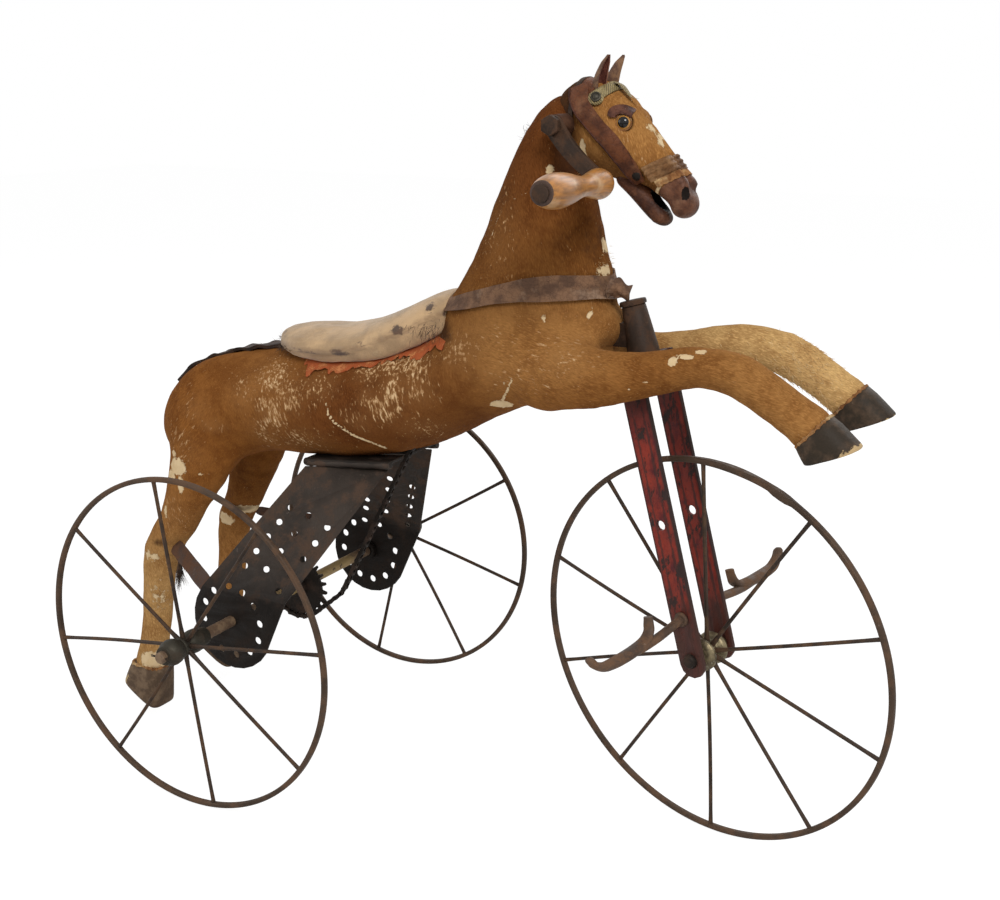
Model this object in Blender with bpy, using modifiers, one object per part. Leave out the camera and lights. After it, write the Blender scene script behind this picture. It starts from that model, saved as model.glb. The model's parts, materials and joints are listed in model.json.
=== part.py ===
"""Hand-cranked horse tricycle: a hide-covered toy horse carried on three spoked iron wheels.

A crank through the neck drives the rear axle by a chain that runs inside the neck and body,
and the rider's feet steer the front fork.
Metres, +Z up, the horse faces +X and its left side is +Y. The pieces are laid out from the
floor under the middle of the rear axle, and the whole is then moved so that the origin is the
middle of its box on the floor.
"""
import math

import bmesh
import bpy
import numpy as np
from mathutils import Matrix, Vector

# Clearance between touching pieces
GAP = 0.0003

# Wheels
REAR_WHEEL_RADIUS = 0.219
FRONT_WHEEL_RADIUS = 0.243
TRACK = 0.504
RIM_WIDTH = 0.009
RIM_DEPTH = 0.008
RIM_FLAT = 0.00495
SPOKE_RADIUS = 0.0025
REAR_SPOKES = 8
FRONT_SPOKES = 10
RIM_STEPS = 40
HUB_STEPS = 16
REAR_HUB_LENGTH = 0.076
RIGHT_SPOKE_PHASE = math.radians(8.75)
LEFT_SPOKE_PHASE = math.radians(31.2)
FRONT_SPOKE_PHASE = math.radians(5.5)

# Rear axle and its carrier plates
AXLE_RADIUS = 0.0075
PLATE_Y = 0.160
PLATE_TOP_Y = 0.056
PLATE_THICKNESS = 0.0026
PLATE_LOBE_RADIUS = 0.0628
PLATE_LOBE_OFFSET = (0.0005, -0.0030)
PLATE_BEND_HEIGHT = 0.041
PLATE_HOLE_RADIUS = 0.0053
PLATE_HOLE_SIDES = 12
PLATE_HOLE_RING = 0.0467
# Rows of holes up the plate: first hole's x and height over the bend, steps in eighths of the
# rise, and count
PLATE_HOLE_ROWS = (
    (0.0097, 0.031, 0.53, 0.92, 5),
    (0.0447, 0.032, 0.64, 1.12, 4),
    (0.0735, 0.012, 0.54, 0.98, 5),
)
BELLY_PLATE_THICKNESS = 0.004
BELLY_PLATE_X = (0.050, 0.186)
BELLY_SLOPE = math.radians(6.0)
BELLY_ROLL_RADIUS = 0.005
STAY_HEIGHT = 0.017
STAY_THICKNESS = 0.003

# Chain drive
CHAIN_PITCH = 0.0127
CHAIN_Y = -0.015
LINK_HALF_HEIGHT = 0.0038
LINK_INSIDE = 0.003
LINK_OUTSIDE = 0.0046
ROLLER_HALF_LENGTH = 0.0022
AXLE_TEETH = 22
CRANK_TEETH = 11
SPROCKET_THICKNESS = 0.004
TUNNEL_HALF_WIDTH = 0.009
TUNNEL_MARGIN = 0.010
GUIDE_BAR_RADIUS = 0.006
GUIDE_X = 0.289
GUIDE_HEIGHT = 0.215
MOUTH_X = 0.183

# Hand crank, placed from the horse's datum
CRANK_X = 0.416
CRANK_HEIGHT = 0.4267
CRANK_AXLE_RADIUS = 0.006
CRANK_ARM_LENGTH = 0.088
CRANK_ARM_Y = 0.0635
CRANK_ARM_THICKNESS = 0.007
CRANK_ARM_HALF_WIDTHS = (0.0110, 0.0080)
CRANK_ARM_BOW = 0.011
CRANK_BUSH_RADIUS = 0.012
RIGHT_ARM_ANGLE = math.radians(-43.0)
LEFT_ARM_ANGLE = math.radians(-133.0)
GRIP_LENGTH = 0.149
GRIP_PIN_RADIUS = 0.0045

# Steering
STEER_X = 0.505
STEER_HEIGHT = 0.1666
STEER_RAKE = math.radians(14.7)
REST_STEER = math.radians(13.2)
FORK_CLEARANCE = 0.1225
HEAD_TUBE_LENGTH = 0.058
HEAD_TUBE_RADII = (0.0190, 0.0140)
STEM_RADIUS = 0.008
BLADE_OFFSET = 0.0317
BLADE_THICKNESS = 0.0055
BLADE_WIDTH = 0.034
FRONT_AXLE_RADIUS = 0.005
FOOT_REST_REACH = (0.086, 0.200)
FOOT_REST_HEIGHT = 0.0485
FOOT_REST_RADIUS = 0.0055

# Horse
FORE_LEG_Y = 0.070
HIND_LEG_Y = 0.081
EYE_PLACE = (0.4855, 0.0290, 0.4290)
EYE_RADIUS = 0.0078
TORSO_SIDES = 20
NECK_SIDES = 18
LIMB_SIDES = 12

# Worked out from the driving dimensions
REAR_AXLE_Z = REAR_WHEEL_RADIUS
FORK_LENGTH = FRONT_WHEEL_RADIUS + FORK_CLEARANCE
# Steering on a raked axis leans the front wheel, which then stands on one edge of its flat
FRONT_WHEEL_LEAN = math.sin(REST_STEER) * math.sin(STEER_RAKE)
FRONT_AXLE_Z = (FRONT_WHEEL_RADIUS * math.sqrt(1 - FRONT_WHEEL_LEAN ** 2)
                + RIM_FLAT / 2 * FRONT_WHEEL_LEAN)
FRONT_AXLE_X = STEER_X + FORK_LENGTH * math.sin(STEER_RAKE)
HORSE_Z = FRONT_AXLE_Z + FORK_LENGTH * math.cos(STEER_RAKE) - STEER_HEIGHT
CRANK_Z = HORSE_Z + CRANK_HEIGHT
BEND_Z = REAR_AXLE_Z + PLATE_BEND_HEIGHT
PLATE_TOP_Z = HORSE_Z - BELLY_PLATE_THICKNESS - BELLY_ROLL_RADIUS - 0.0022
AXLE_SPROCKET_RADIUS = AXLE_TEETH * CHAIN_PITCH / math.tau
CRANK_SPROCKET_RADIUS = CRANK_TEETH * CHAIN_PITCH / math.tau

# The torso: x, top, underside and half width, heights above the horse's datum
TORSO_STATIONS = (
    (-0.216, 0.012, -0.010, 0.012),
    (-0.211, 0.033, -0.028, 0.030),
    (-0.198, 0.057, -0.042, 0.050),
    (-0.178, 0.077, -0.047, 0.064),
    (-0.146, 0.095, -0.041, 0.077),
    (-0.100, 0.110, -0.030, 0.085),
    (-0.040, 0.123, -0.019, 0.087),
    (0.030, 0.130, -0.014, 0.087),
    (0.110, 0.137, -0.008, 0.085),
    (0.180, 0.150, 0.006, 0.083),
    (0.240, 0.173, 0.030, 0.080),
    (0.300, 0.202, 0.062, 0.078),
    (0.360, 0.215, 0.090, 0.077),
    (0.410, 0.210, 0.101, 0.072),
    (0.440, 0.196, 0.112, 0.058),
    (0.456, 0.174, 0.130, 0.035),
    (0.460, 0.160, 0.145, 0.015),
)
# Neck and head: x, height, half depth, half width and tilt of the section
NECK_STATIONS = (
    (0.352, 0.150, 0.114, 0.070, 0),
    (0.352, 0.195, 0.115, 0.071, 0),
    (0.364, 0.240, 0.098, 0.066, 3),
    (0.371, 0.294, 0.077, 0.056, 3),
    (0.376, 0.337, 0.063, 0.049, 2),
    (0.382, 0.381, 0.0475, 0.043, 1),
    (0.391, 0.414, 0.036, 0.039, -6),
    (0.410, 0.438, 0.026, 0.033, -18),
)
HEAD_STATIONS = (
    (0.404, 0.450, 0.021, 0.023, 76),
    (0.431, 0.441, 0.040, 0.034, 72),
    (0.453, 0.422, 0.047, 0.040, 69),
    (0.477, 0.402, 0.039, 0.040, 68),
    (0.500, 0.387, 0.026, 0.032, 61),
    (0.521, 0.372, 0.0186, 0.0255, 57),
    (0.539, 0.354, 0.016, 0.0215, 56),
    (0.551, 0.341, 0.0155, 0.0205, 54),
    (0.5585, 0.335, 0.008, 0.012, 52),
)
JAW_STATIONS = (
    (0.476, 0.370, 0.013, 0.021, 42),
    (0.493, 0.356, 0.0125, 0.019, 40),
    (0.510, 0.339, 0.013, 0.016, 42),
    (0.522, 0.325, 0.0115, 0.014, 48),
    (0.531, 0.3205, 0.007, 0.009, 60),
)
# Legs: x, distance from the middle, height, half depth and half width
HIND_LEG_STATIONS = (
    (-0.098, 0.038, 0.040, 0.056, 0.034),
    (-0.117, 0.057, -0.012, 0.051, 0.036),
    (-0.137, 0.067, -0.069, 0.036, 0.033),
    (-0.162, 0.073, -0.125, 0.0265, 0.027),
    (-0.189, HIND_LEG_Y - 0.002, -0.168, 0.0255, 0.024),
    (-0.198, HIND_LEG_Y, -0.220, 0.0235, 0.022),
    (-0.206, HIND_LEG_Y, -0.275, 0.0225, 0.021),
    (-0.214, HIND_LEG_Y, -0.316, 0.023, 0.021),
    (-0.220, HIND_LEG_Y, -0.350, 0.026, 0.024),
)
FORE_LEG_STATIONS = (
    (0.405, 0.046, 0.140, 0.042, 0.034),
    (0.450, 0.061, 0.146, 0.038, 0.030),
    (0.490, 0.068, 0.149, 0.031, 0.026),
    (0.542, FORE_LEG_Y, 0.159, 0.0235, 0.022),
    (0.598, FORE_LEG_Y, 0.174, 0.0225, 0.021),
    (0.647, FORE_LEG_Y, 0.167, 0.0245, 0.022),
    (0.699, FORE_LEG_Y, 0.1355, 0.021, 0.020),
    (0.730, FORE_LEG_Y, 0.1185, 0.0245, 0.0215),
)

parts = None
cutters = None
materials = {}


# Scene and material helpers
def clear_scene():
    for item in list(bpy.data.objects):
        bpy.data.objects.remove(item, do_unlink=True)


def new_collection(name):
    collection = bpy.data.collections.new(name)
    bpy.context.scene.collection.children.link(collection)
    return collection


def material(name, colour, roughness, metallic=0.0):
    """One Principled material for each finish."""
    if name not in materials:
        made = bpy.data.materials.new(name)
        made.use_nodes = True
        shader = made.node_tree.nodes["Principled BSDF"]
        shader.inputs["Base Color"].default_value = (*colour, 1.0)
        shader.inputs["Roughness"].default_value = roughness
        shader.inputs["Metallic"].default_value = metallic
        materials[name] = made
    return materials[name]


def hide():
    return material("golden_brown_hide", (0.36, 0.21, 0.09), 0.85)


def hoof_black():
    return material("dark_hoof", (0.06, 0.05, 0.04), 0.5)


def dark_leather():
    return material("brown_leather", (0.16, 0.07, 0.04), 0.6)


def rusty_iron():
    return material("rusty_iron", (0.10, 0.07, 0.055), 0.65, 0.7)


def red_paint():
    return material("worn_red_paint", (0.32, 0.04, 0.03), 0.45)


def brass():
    return material("dull_brass", (0.35, 0.30, 0.16), 0.4, 0.9)


def varnished_wood():
    return material("varnished_wood", (0.45, 0.22, 0.08), 0.3)


def suede():
    return material("tan_suede", (0.50, 0.36, 0.22), 0.9)


def red_cloth():
    return material("red_cloth", (0.45, 0.10, 0.05), 0.9)


def woven_gold():
    return material("woven_braid", (0.36, 0.30, 0.14), 0.7)


def glass():
    return material("glass_eye", (0.02, 0.015, 0.01), 0.1)


def black_hair():
    return material("black_horsehair", (0.02, 0.018, 0.015), 0.8)


# Geometry helpers
def add_object(name, mesh, finish=None):
    """A cutter when it has no finish, otherwise a part."""
    item = bpy.data.objects.new(name, mesh)
    if finish is None:
        cutters.objects.link(item)
        item.hide_render = True
        item.display_type = "WIRE"
    else:
        parts.objects.link(item)
        item.data.materials.append(finish)
        shade(item)
    return item


def shade(item):
    item.data.shade_smooth()
    item.data.set_sharp_from_angle(angle=math.radians(35))


def face_outward(work):
    bmesh.ops.recalc_face_normals(work, faces=work.faces)
    if work.calc_volume(signed=True) < 0:
        bmesh.ops.reverse_faces(work, faces=work.faces)


def mesh_from_bmesh(name, work):
    face_outward(work)
    mesh = bpy.data.meshes.new(name)
    work.to_mesh(mesh)
    work.free()
    return mesh


def loft(name, rings, finish=None):
    """Skin of triangles between rings of equal point counts, with a fan on each end.

    A grown copy of the form has the same diagonals, so the two keep an even distance.
    """
    work = bmesh.new()
    rows = [[work.verts.new(point) for point in ring] for ring in rings]
    count = len(rows[0])
    for lower, upper in zip(rows[:-1], rows[1:]):
        for i in range(count):
            j = (i + 1) % count
            work.faces.new((lower[i], lower[j], upper[j]))
            work.faces.new((lower[i], upper[j], upper[i]))
    for row in (rows[0], rows[-1]):
        centre = sum((vert.co for vert in row), Vector()) / count
        middle = work.verts.new(centre)
        for i in range(count):
            work.faces.new((row[i], row[(i + 1) % count], middle))
    return add_object(name, mesh_from_bmesh(name, work), finish)


def smooth_rows(stations, steps):
    """Catmull-Rom rows through the stations, with steps rows to each span."""
    rows = np.array(stations, dtype=float)
    padded = np.vstack((2 * rows[0] - rows[1], rows, 2 * rows[-1] - rows[-2]))
    out = []
    for k in range(1, len(padded) - 2):
        before, start, end, after = padded[k - 1:k + 3]
        for step in range(steps):
            t = step / steps
            out.append(0.5 * (2 * start + (end - before) * t
                              + (2 * before - 5 * start + 4 * end - after) * t * t
                              + (3 * start - before - 3 * end + after) * t ** 3))
    out.append(rows[-1])
    return out


def oval(centre, along, across, depth, width, sides, power=1.0):
    """Ring of an oval in the plane of two unit vectors. power under 1 squares it."""
    ring = []
    for i in range(sides):
        turn = math.tau * i / sides
        c = math.cos(turn)
        s = math.sin(turn)
        a = math.copysign(abs(c) ** power, c) * depth
        b = math.copysign(abs(s) ** power, s) * width
        ring.append(Vector(centre) + Vector(along) * a + Vector(across) * b)
    return ring


def box(name, low, high, finish=None, matrix=None):
    bpy.ops.mesh.primitive_cube_add(size=1.0)
    item = bpy.context.object
    mesh = item.data
    bpy.data.objects.remove(item)
    centre = [(a + b) / 2 for a, b in zip(low, high)]
    size = [b - a for a, b in zip(low, high)]
    mesh.transform(Matrix.Translation(centre) @ Matrix.Diagonal((*size, 1.0)))
    if matrix is not None:
        mesh.transform(matrix)
    return add_object(name, mesh, finish)


def rod(name, start, end, radius, sides=12, finish=None, end_radius=None):
    """Round bar from start to end, tapered when end_radius is given."""
    start = Vector(start)
    end = Vector(end)
    work = bmesh.new()
    bmesh.ops.create_cone(work, cap_ends=True, segments=sides, radius1=radius,
                          radius2=radius if end_radius is None else end_radius,
                          depth=(end - start).length)
    turn = (end - start).to_track_quat("Z", "Y").to_matrix().to_4x4()
    bmesh.ops.transform(work, matrix=Matrix.Translation((start + end) / 2) @ turn, verts=work.verts)
    return add_object(name, mesh_from_bmesh(name, work), finish)


def turned(name, profile, steps, matrix, finish=None, closed=False, phase=0.0):
    """Profile of (radius, height) spun about Z by a Screw modifier, then placed by matrix.

    An open profile starts and ends on the axis. A closed one is a ring's section.
    """
    mesh = bpy.data.meshes.new(name)
    points = [(radius, 0.0, height) for radius, height in profile]
    edges = [(i, i + 1) for i in range(len(points) - 1)]
    if closed:
        edges.append((len(points) - 1, 0))
    mesh.from_pydata(points, edges, [])
    item = bpy.data.objects.new(name, mesh)
    cutters.objects.link(item)
    screw = item.modifiers.new("Screw", "SCREW")
    screw.axis = "Z"
    screw.angle = math.tau
    screw.steps = steps
    screw.render_steps = steps
    screw.use_merge_vertices = True
    screw.merge_threshold = 0.00005
    solid = baked(item)
    solid.data.transform(matrix @ Matrix.Rotation(phase, 4, "Z"))
    return take_finish(solid, finish)


def baked(item):
    """The object with its modifiers applied, as a plain mesh object in the cutters' collection."""
    graph = bpy.context.evaluated_depsgraph_get()
    mesh = bpy.data.meshes.new_from_object(item.evaluated_get(graph))
    mesh.transform(item.matrix_world)
    name = item.name
    bpy.data.objects.remove(item)
    work = bmesh.new()
    work.from_mesh(mesh)
    bmesh.ops.remove_doubles(work, verts=work.verts, dist=0.00002)
    clean = mesh_from_bmesh(name, work)
    bpy.data.meshes.remove(mesh)
    return add_object(name, clean)


def take_finish(item, finish):
    """Move a plain solid from the cutters to the parts."""
    if finish is None:
        return item
    cutters.objects.unlink(item)
    parts.objects.link(item)
    item.hide_render = False
    item.display_type = "TEXTURED"
    item.data.materials.clear()
    item.data.materials.append(finish)
    shade(item)
    return item


def outline(name, loops, thickness, matrix, finish=None):
    """Flat plate from closed 2D loops: the first is the edge, the others are holes."""
    curve = bpy.data.curves.new(name, "CURVE")
    curve.dimensions = "2D"
    curve.fill_mode = "BOTH"
    curve.extrude = thickness / 2
    for loop in loops:
        spline = curve.splines.new("POLY")
        spline.points.add(len(loop) - 1)
        for point, (a, b) in zip(spline.points, loop):
            point.co = (a, b, 0.0, 1.0)
        spline.use_cyclic_u = True
    item = bpy.data.objects.new(name, curve)
    cutters.objects.link(item)
    bpy.context.view_layer.update()
    solid = baked(item)
    solid.data.transform(matrix)
    return take_finish(solid, finish)


def tube(name, points, radius, finish=None, radii=None):
    """Round wire through points, with filled ends."""
    curve = bpy.data.curves.new(name, "CURVE")
    curve.dimensions = "3D"
    curve.bevel_depth = radius
    curve.bevel_resolution = 1
    curve.use_fill_caps = True
    spline = curve.splines.new("POLY")
    spline.points.add(len(points) - 1)
    for i, (point, place) in enumerate(zip(spline.points, points)):
        point.co = (*place, 1.0)
        point.radius = 1.0 if radii is None else radii[i]
    item = bpy.data.objects.new(name, curve)
    cutters.objects.link(item)
    bpy.context.view_layer.update()
    return take_finish(baked(item), finish)


def combine(item, others, operation="DIFFERENCE"):
    """Exact Boolean modifiers on item. The other solids stay in the cutters' collection."""
    for other in others:
        modifier = item.modifiers.new(other.name, "BOOLEAN")
        modifier.operation = operation
        modifier.solver = "EXACT"
        modifier.object = other
    return item


def join(item, others):
    return combine(item, others, "UNION")


def circle(centre, radius, sides, phase=0.0):
    return [(centre[0] + radius * math.cos(phase + math.tau * i / sides),
             centre[1] + radius * math.sin(phase + math.tau * i / sides)) for i in range(sides)]


def bore_radius(shaft, sides):
    """Vertex radius of a faceted bore whose flats clear a shaft by GAP."""
    return (shaft + GAP) / math.cos(math.pi / sides)


def outward_frame(x, y, z, side):
    """Frame whose local Z points out to the right side (-1) or the left side (1)."""
    return Matrix.Translation((x, y, z)) @ Matrix.Rotation(-side * math.pi / 2, 4, "X")


def horse_point(x, y, height):
    return Vector((x, y, HORSE_Z + height))


# Lofted horse forms. grow adds a skin, for the clearance that a neighbour keeps.
def torso_rings(grow=0.0):
    rings = []
    rows = smooth_rows(TORSO_STATIONS, 1)
    for k, (x, top, bottom, width) in enumerate(rows):
        if k == 0:
            x -= grow
        if k == len(rows) - 1:
            x += grow
        centre = horse_point(x, 0, (top + bottom) / 2)
        rings.append(oval(centre, (0, 0, 1), (0, 1, 0), (top - bottom) / 2 + grow, width + grow,
                          TORSO_SIDES, 0.94))
    return rings


def section_rings(stations, sides, grow=0.0, power=1.0, steps=1):
    """Rings of the neck, head and jaw, each with its own tilt in the XZ plane."""
    rings = []
    for x, height, depth, width, tilt in smooth_rows(stations, steps):
        angle = math.radians(tilt)
        direction = (math.cos(angle), 0, math.sin(angle))
        rings.append(oval(horse_point(x, 0, height), direction, (0, 1, 0), depth + grow,
                          width + grow, sides, power))
    return rings


def limb_rings(stations, side, grow=0.0):
    """Rings square to the limb's run, in the XZ plane."""
    rows = [np.array(row, dtype=float) for row in stations]
    rings = []
    for k, (x, y, height, depth, width) in enumerate(rows):
        before = rows[max(k - 1, 0)]
        after = rows[min(k + 1, len(rows) - 1)]
        run = Vector((after[0] - before[0], 0, after[2] - before[2])).normalized()
        across = Vector((-run.z, 0, run.x))
        past_end = run * grow * ((k == len(rows) - 1) - (k == 0))
        rings.append(oval(horse_point(x, side * y, height) + past_end, across, (0, side, 0),
                          depth + grow, width + grow, LIMB_SIDES, 0.96))
    return rings


def torso_skin(name, grow):
    return loft(name, torso_rings(grow))


def neck_skin(name, grow):
    return loft(name, section_rings(NECK_STATIONS, NECK_SIDES, grow))


def head_skin(name, grow):
    return loft(name, section_rings(HEAD_STATIONS, NECK_SIDES, grow, 0.92))


# Chain route in the XZ plane
def tangent_point(outside, centre, radius, turn):
    """Where a straight run from a point outside meets a circle. turn is +1 or -1 for its side."""
    offset = outside - centre
    base = math.atan2(offset.y, offset.x)
    swing = math.acos(radius / offset.length)
    angle = base + turn * swing
    return centre + radius * Vector((math.cos(angle), math.sin(angle)))


def arc_points(centre, radius, first, last, count):
    return [centre + radius * Vector((math.cos(a), math.sin(a))) for a in np.linspace(first, last, count)]


def rounded_corner(before, corner, after, radius, count=5):
    """Arc that rounds a corner between two straight runs, and the arc's centre."""
    one = (before - corner).normalized()
    two = (after - corner).normalized()
    half = one.angle(two) / 2
    reach = radius / math.tan(half)
    start = corner + one * reach
    end = corner + two * reach
    centre = corner + (one + two).normalized() * (radius / math.sin(half))
    a = math.atan2(*(start - centre).yx)
    b = math.atan2(*(end - centre).yx)
    b = a + (b - a + math.pi) % math.tau - math.pi
    return arc_points(centre, radius, a, b, count), centre


def chain_corners():
    """Both sprocket centres, the mouth under the belly, the guide and the three tangent points."""
    rear = Vector((0.0, REAR_AXLE_Z))
    top = Vector((CRANK_X, CRANK_Z))
    mouth = Vector((MOUTH_X, HORSE_Z))
    guide = Vector((GUIDE_X, HORSE_Z + GUIDE_HEIGHT))
    front = tangent_point(mouth, top, CRANK_SPROCKET_RADIUS, 1)
    back = tangent_point(guide, top, CRANK_SPROCKET_RADIUS, -1)
    heel = tangent_point(guide, rear, AXLE_SPROCKET_RADIUS, 1)
    return rear, top, mouth, guide, front, back, heel


def chain_route(slack):
    """Closed route of the chain's middle line, and the guide bar's centre.

    slack is how far the chain hangs on from the rear sprocket before it bends upward.
    """
    rear, top, mouth, guide, front, back, heel = chain_corners()
    leave = math.radians(-50)
    low = rear + AXLE_SPROCKET_RADIUS * Vector((math.cos(leave), math.sin(leave)))
    hang = low + slack * Vector((-math.sin(leave), math.cos(leave)))
    hang_arc, _ = rounded_corner(low, hang, mouth, 0.022)
    mouth_arc, _ = rounded_corner(hang, mouth, front, 0.10, 3)
    guide_arc, bar = rounded_corner(back, guide, heel, GUIDE_BAR_RADIUS + LINK_HALF_HEIGHT + 2 * GAP, 3)
    front_angle = math.atan2(*(front - top).yx)
    back_angle = math.atan2(*(back - top).yx)
    over = arc_points(top, CRANK_SPROCKET_RADIUS, front_angle,
                      front_angle + (back_angle - front_angle) % math.tau, 16)
    heel_angle = math.atan2(*(heel - rear).yx)
    under = arc_points(rear, AXLE_SPROCKET_RADIUS, heel_angle,
                       heel_angle + (leave - heel_angle) % math.tau, 24)
    return hang_arc + mouth_arc + over + guide_arc + under, bar


def route_length(points):
    return sum((b - a).length for a, b in zip(points, points[1:] + points[:1]))


def fitted_chain():
    """Route whose length is a whole number of links, taken up by the slack run."""
    links = round(route_length(chain_route(0.088)[0]) / CHAIN_PITCH)
    low = 0.060
    high = 0.120
    for _ in range(40):
        slack = (low + high) / 2
        if route_length(chain_route(slack)[0]) < links * CHAIN_PITCH:
            low = slack
        else:
            high = slack
    points, bar = chain_route(slack)
    return points, bar, links


def sampled(points, distances):
    """Places and headings at distances along a closed route."""
    loop = np.array([list(point) for point in points + points[:1]])
    steps = np.linalg.norm(np.diff(loop, axis=0), axis=1)
    reach = np.concatenate(([0.0], np.cumsum(steps)))
    total = reach[-1]
    out = []
    for distance in distances:
        here = distance % total
        k = min(int(np.searchsorted(reach, here, side="right")) - 1, len(steps) - 1)
        part = (here - reach[k]) / steps[k]
        place = loop[k] + part * (loop[k + 1] - loop[k])
        out.append((Vector(place), Vector((loop[k + 1] - loop[k]) / steps[k])))
    return out


def inside_horse(place):
    """True on the chain's hidden straight runs, clear of the mouth, guide bar and sprocket."""
    bends = (Vector((CRANK_X, CRANK_Z)), Vector((GUIDE_X, HORSE_Z + GUIDE_HEIGHT)))
    return place.y > HORSE_Z + 0.03 and all((place - bend).length > 0.035 for bend in bends)


def drive_chain():
    """Ladder chain as one solid: two side strips joined by a roller bar at each link.

    The rings come in pairs, one at each end of a roller bar, and the bar's faces bridge the
    strips' inner edges. Inside the closed body only every eighth bar is made.
    """
    points, _, links = fitted_chain()
    step = route_length(points) / links
    distances = []
    for k in range(links):
        place, _ = sampled(points, [k * step])[0]
        if not inside_horse(place) or k % 8 == 0:
            distances.extend((k * step - ROLLER_HALF_LENGTH, k * step + ROLLER_HALF_LENGTH))
    work = bmesh.new()
    corners = ((-LINK_OUTSIDE, -1), (-LINK_OUTSIDE, 1), (-LINK_INSIDE, 1), (-LINK_INSIDE, -1),
               (LINK_INSIDE, -1), (LINK_INSIDE, 1), (LINK_OUTSIDE, 1), (LINK_OUTSIDE, -1))
    rings = []
    for place, heading in sampled(points, distances):
        outward = Vector((heading.y, -heading.x)) * LINK_HALF_HEIGHT
        rings.append([work.verts.new((place.x + outward.x * up, CHAIN_Y + across, place.y + outward.y * up))
                      for across, up in corners])
    for k, here in enumerate(rings):
        after = rings[(k + 1) % len(rings)]
        bar = k % 2 == 0
        for start in (0, 4):
            for i in range(4):
                j = start + (i + 1) % 4
                i += start
                if bar and (i, j) in ((2, 3), (4, 5)):
                    continue
                work.faces.new((here[i], here[j], after[j], after[i]))
        if bar:
            work.faces.new((here[2], here[5], after[5], after[2]))
            work.faces.new((here[3], after[3], after[4], here[4]))
            work.faces.new((here[2], here[3], here[4], here[5]))
            work.faces.new((after[2], after[5], after[4], after[3]))
    add_object("drive_chain", mesh_from_bmesh("drive_chain", work), rusty_iron())


def sprocket(name, teeth, radius, centre, shaft, boss, boss_half):
    """Toothed disc joined to a bored boss. Its gullets line up with the chain's roller bars."""
    points, _, links = fitted_chain()
    step = route_length(points) / links
    middle = Vector((centre[0], centre[1]))
    phase = None
    for place, _ in sampled(points, [k * step for k in range(links)]):
        if phase is None and abs((place - middle).length - radius) < 0.0002:
            phase = math.atan2(*(place - middle).yx)
    loop = []
    pitch_angle = math.tau / teeth
    gullet = radius - LINK_HALF_HEIGHT - 0.0008
    tip = radius + 0.0030
    for k in range(teeth):
        angle = phase + k * pitch_angle
        for reach, across in ((gullet, -0.0030), (gullet, 0.0030),
                              (tip, CHAIN_PITCH / 2 - 0.0016), (tip, CHAIN_PITCH / 2 + 0.0016)):
            turn = angle + across / radius
            loop.append((reach * math.cos(turn), reach * math.sin(turn)))
    place = Matrix.Translation((centre[0], CHAIN_Y, centre[1])) @ Matrix.Rotation(math.pi / 2, 4, "X")
    bore = bore_radius(shaft, 12)
    inside_boss = circle((0, 0), (bore + boss) / 2, 12)
    disc = outline(name, [loop, inside_boss], SPROCKET_THICKNESS, place, rusty_iron())
    section = [(bore, -boss_half), (boss, -boss_half), (boss, boss_half), (bore, boss_half)]
    join(disc, [turned(name + "_boss", section, 12, place, closed=True)])


def chain_tunnel():
    """Slot through body, neck and poll that the chain runs in, with the crank sprocket's chamber."""
    _, bar, _ = fitted_chain()
    _, _, mouth, guide, front, back, heel = chain_corners()
    below = HORSE_Z - 0.03

    def at_height(one, two, height):
        part = (height - one.y) / (two.y - one.y)
        return one + (two - one) * part

    shift = Vector((TUNNEL_MARGIN, 0))
    loop = [at_height(mouth, front, below) + shift, front + shift, back - shift,
            Vector((bar.x - GUIDE_BAR_RADIUS - 0.004, bar.y)), at_height(heel, guide, below) - shift]
    place = Matrix.Translation((0, CHAIN_Y, 0)) @ Matrix.Rotation(math.pi / 2, 4, "X")
    slot = outline("tunnel_slot", [[(p.x, p.y) for p in loop]], 2 * TUNNEL_HALF_WIDTH, place)
    chamber = rod("tunnel_chamber", (CRANK_X, CHAIN_Y - TUNNEL_HALF_WIDTH - 0.0001, CRANK_Z),
                  (CRANK_X, CHAIN_Y + TUNNEL_HALF_WIDTH + 0.0001, CRANK_Z),
                  CRANK_SPROCKET_RADIUS + TUNNEL_MARGIN, 24)
    join(slot, [chamber])
    return slot, bar


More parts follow.
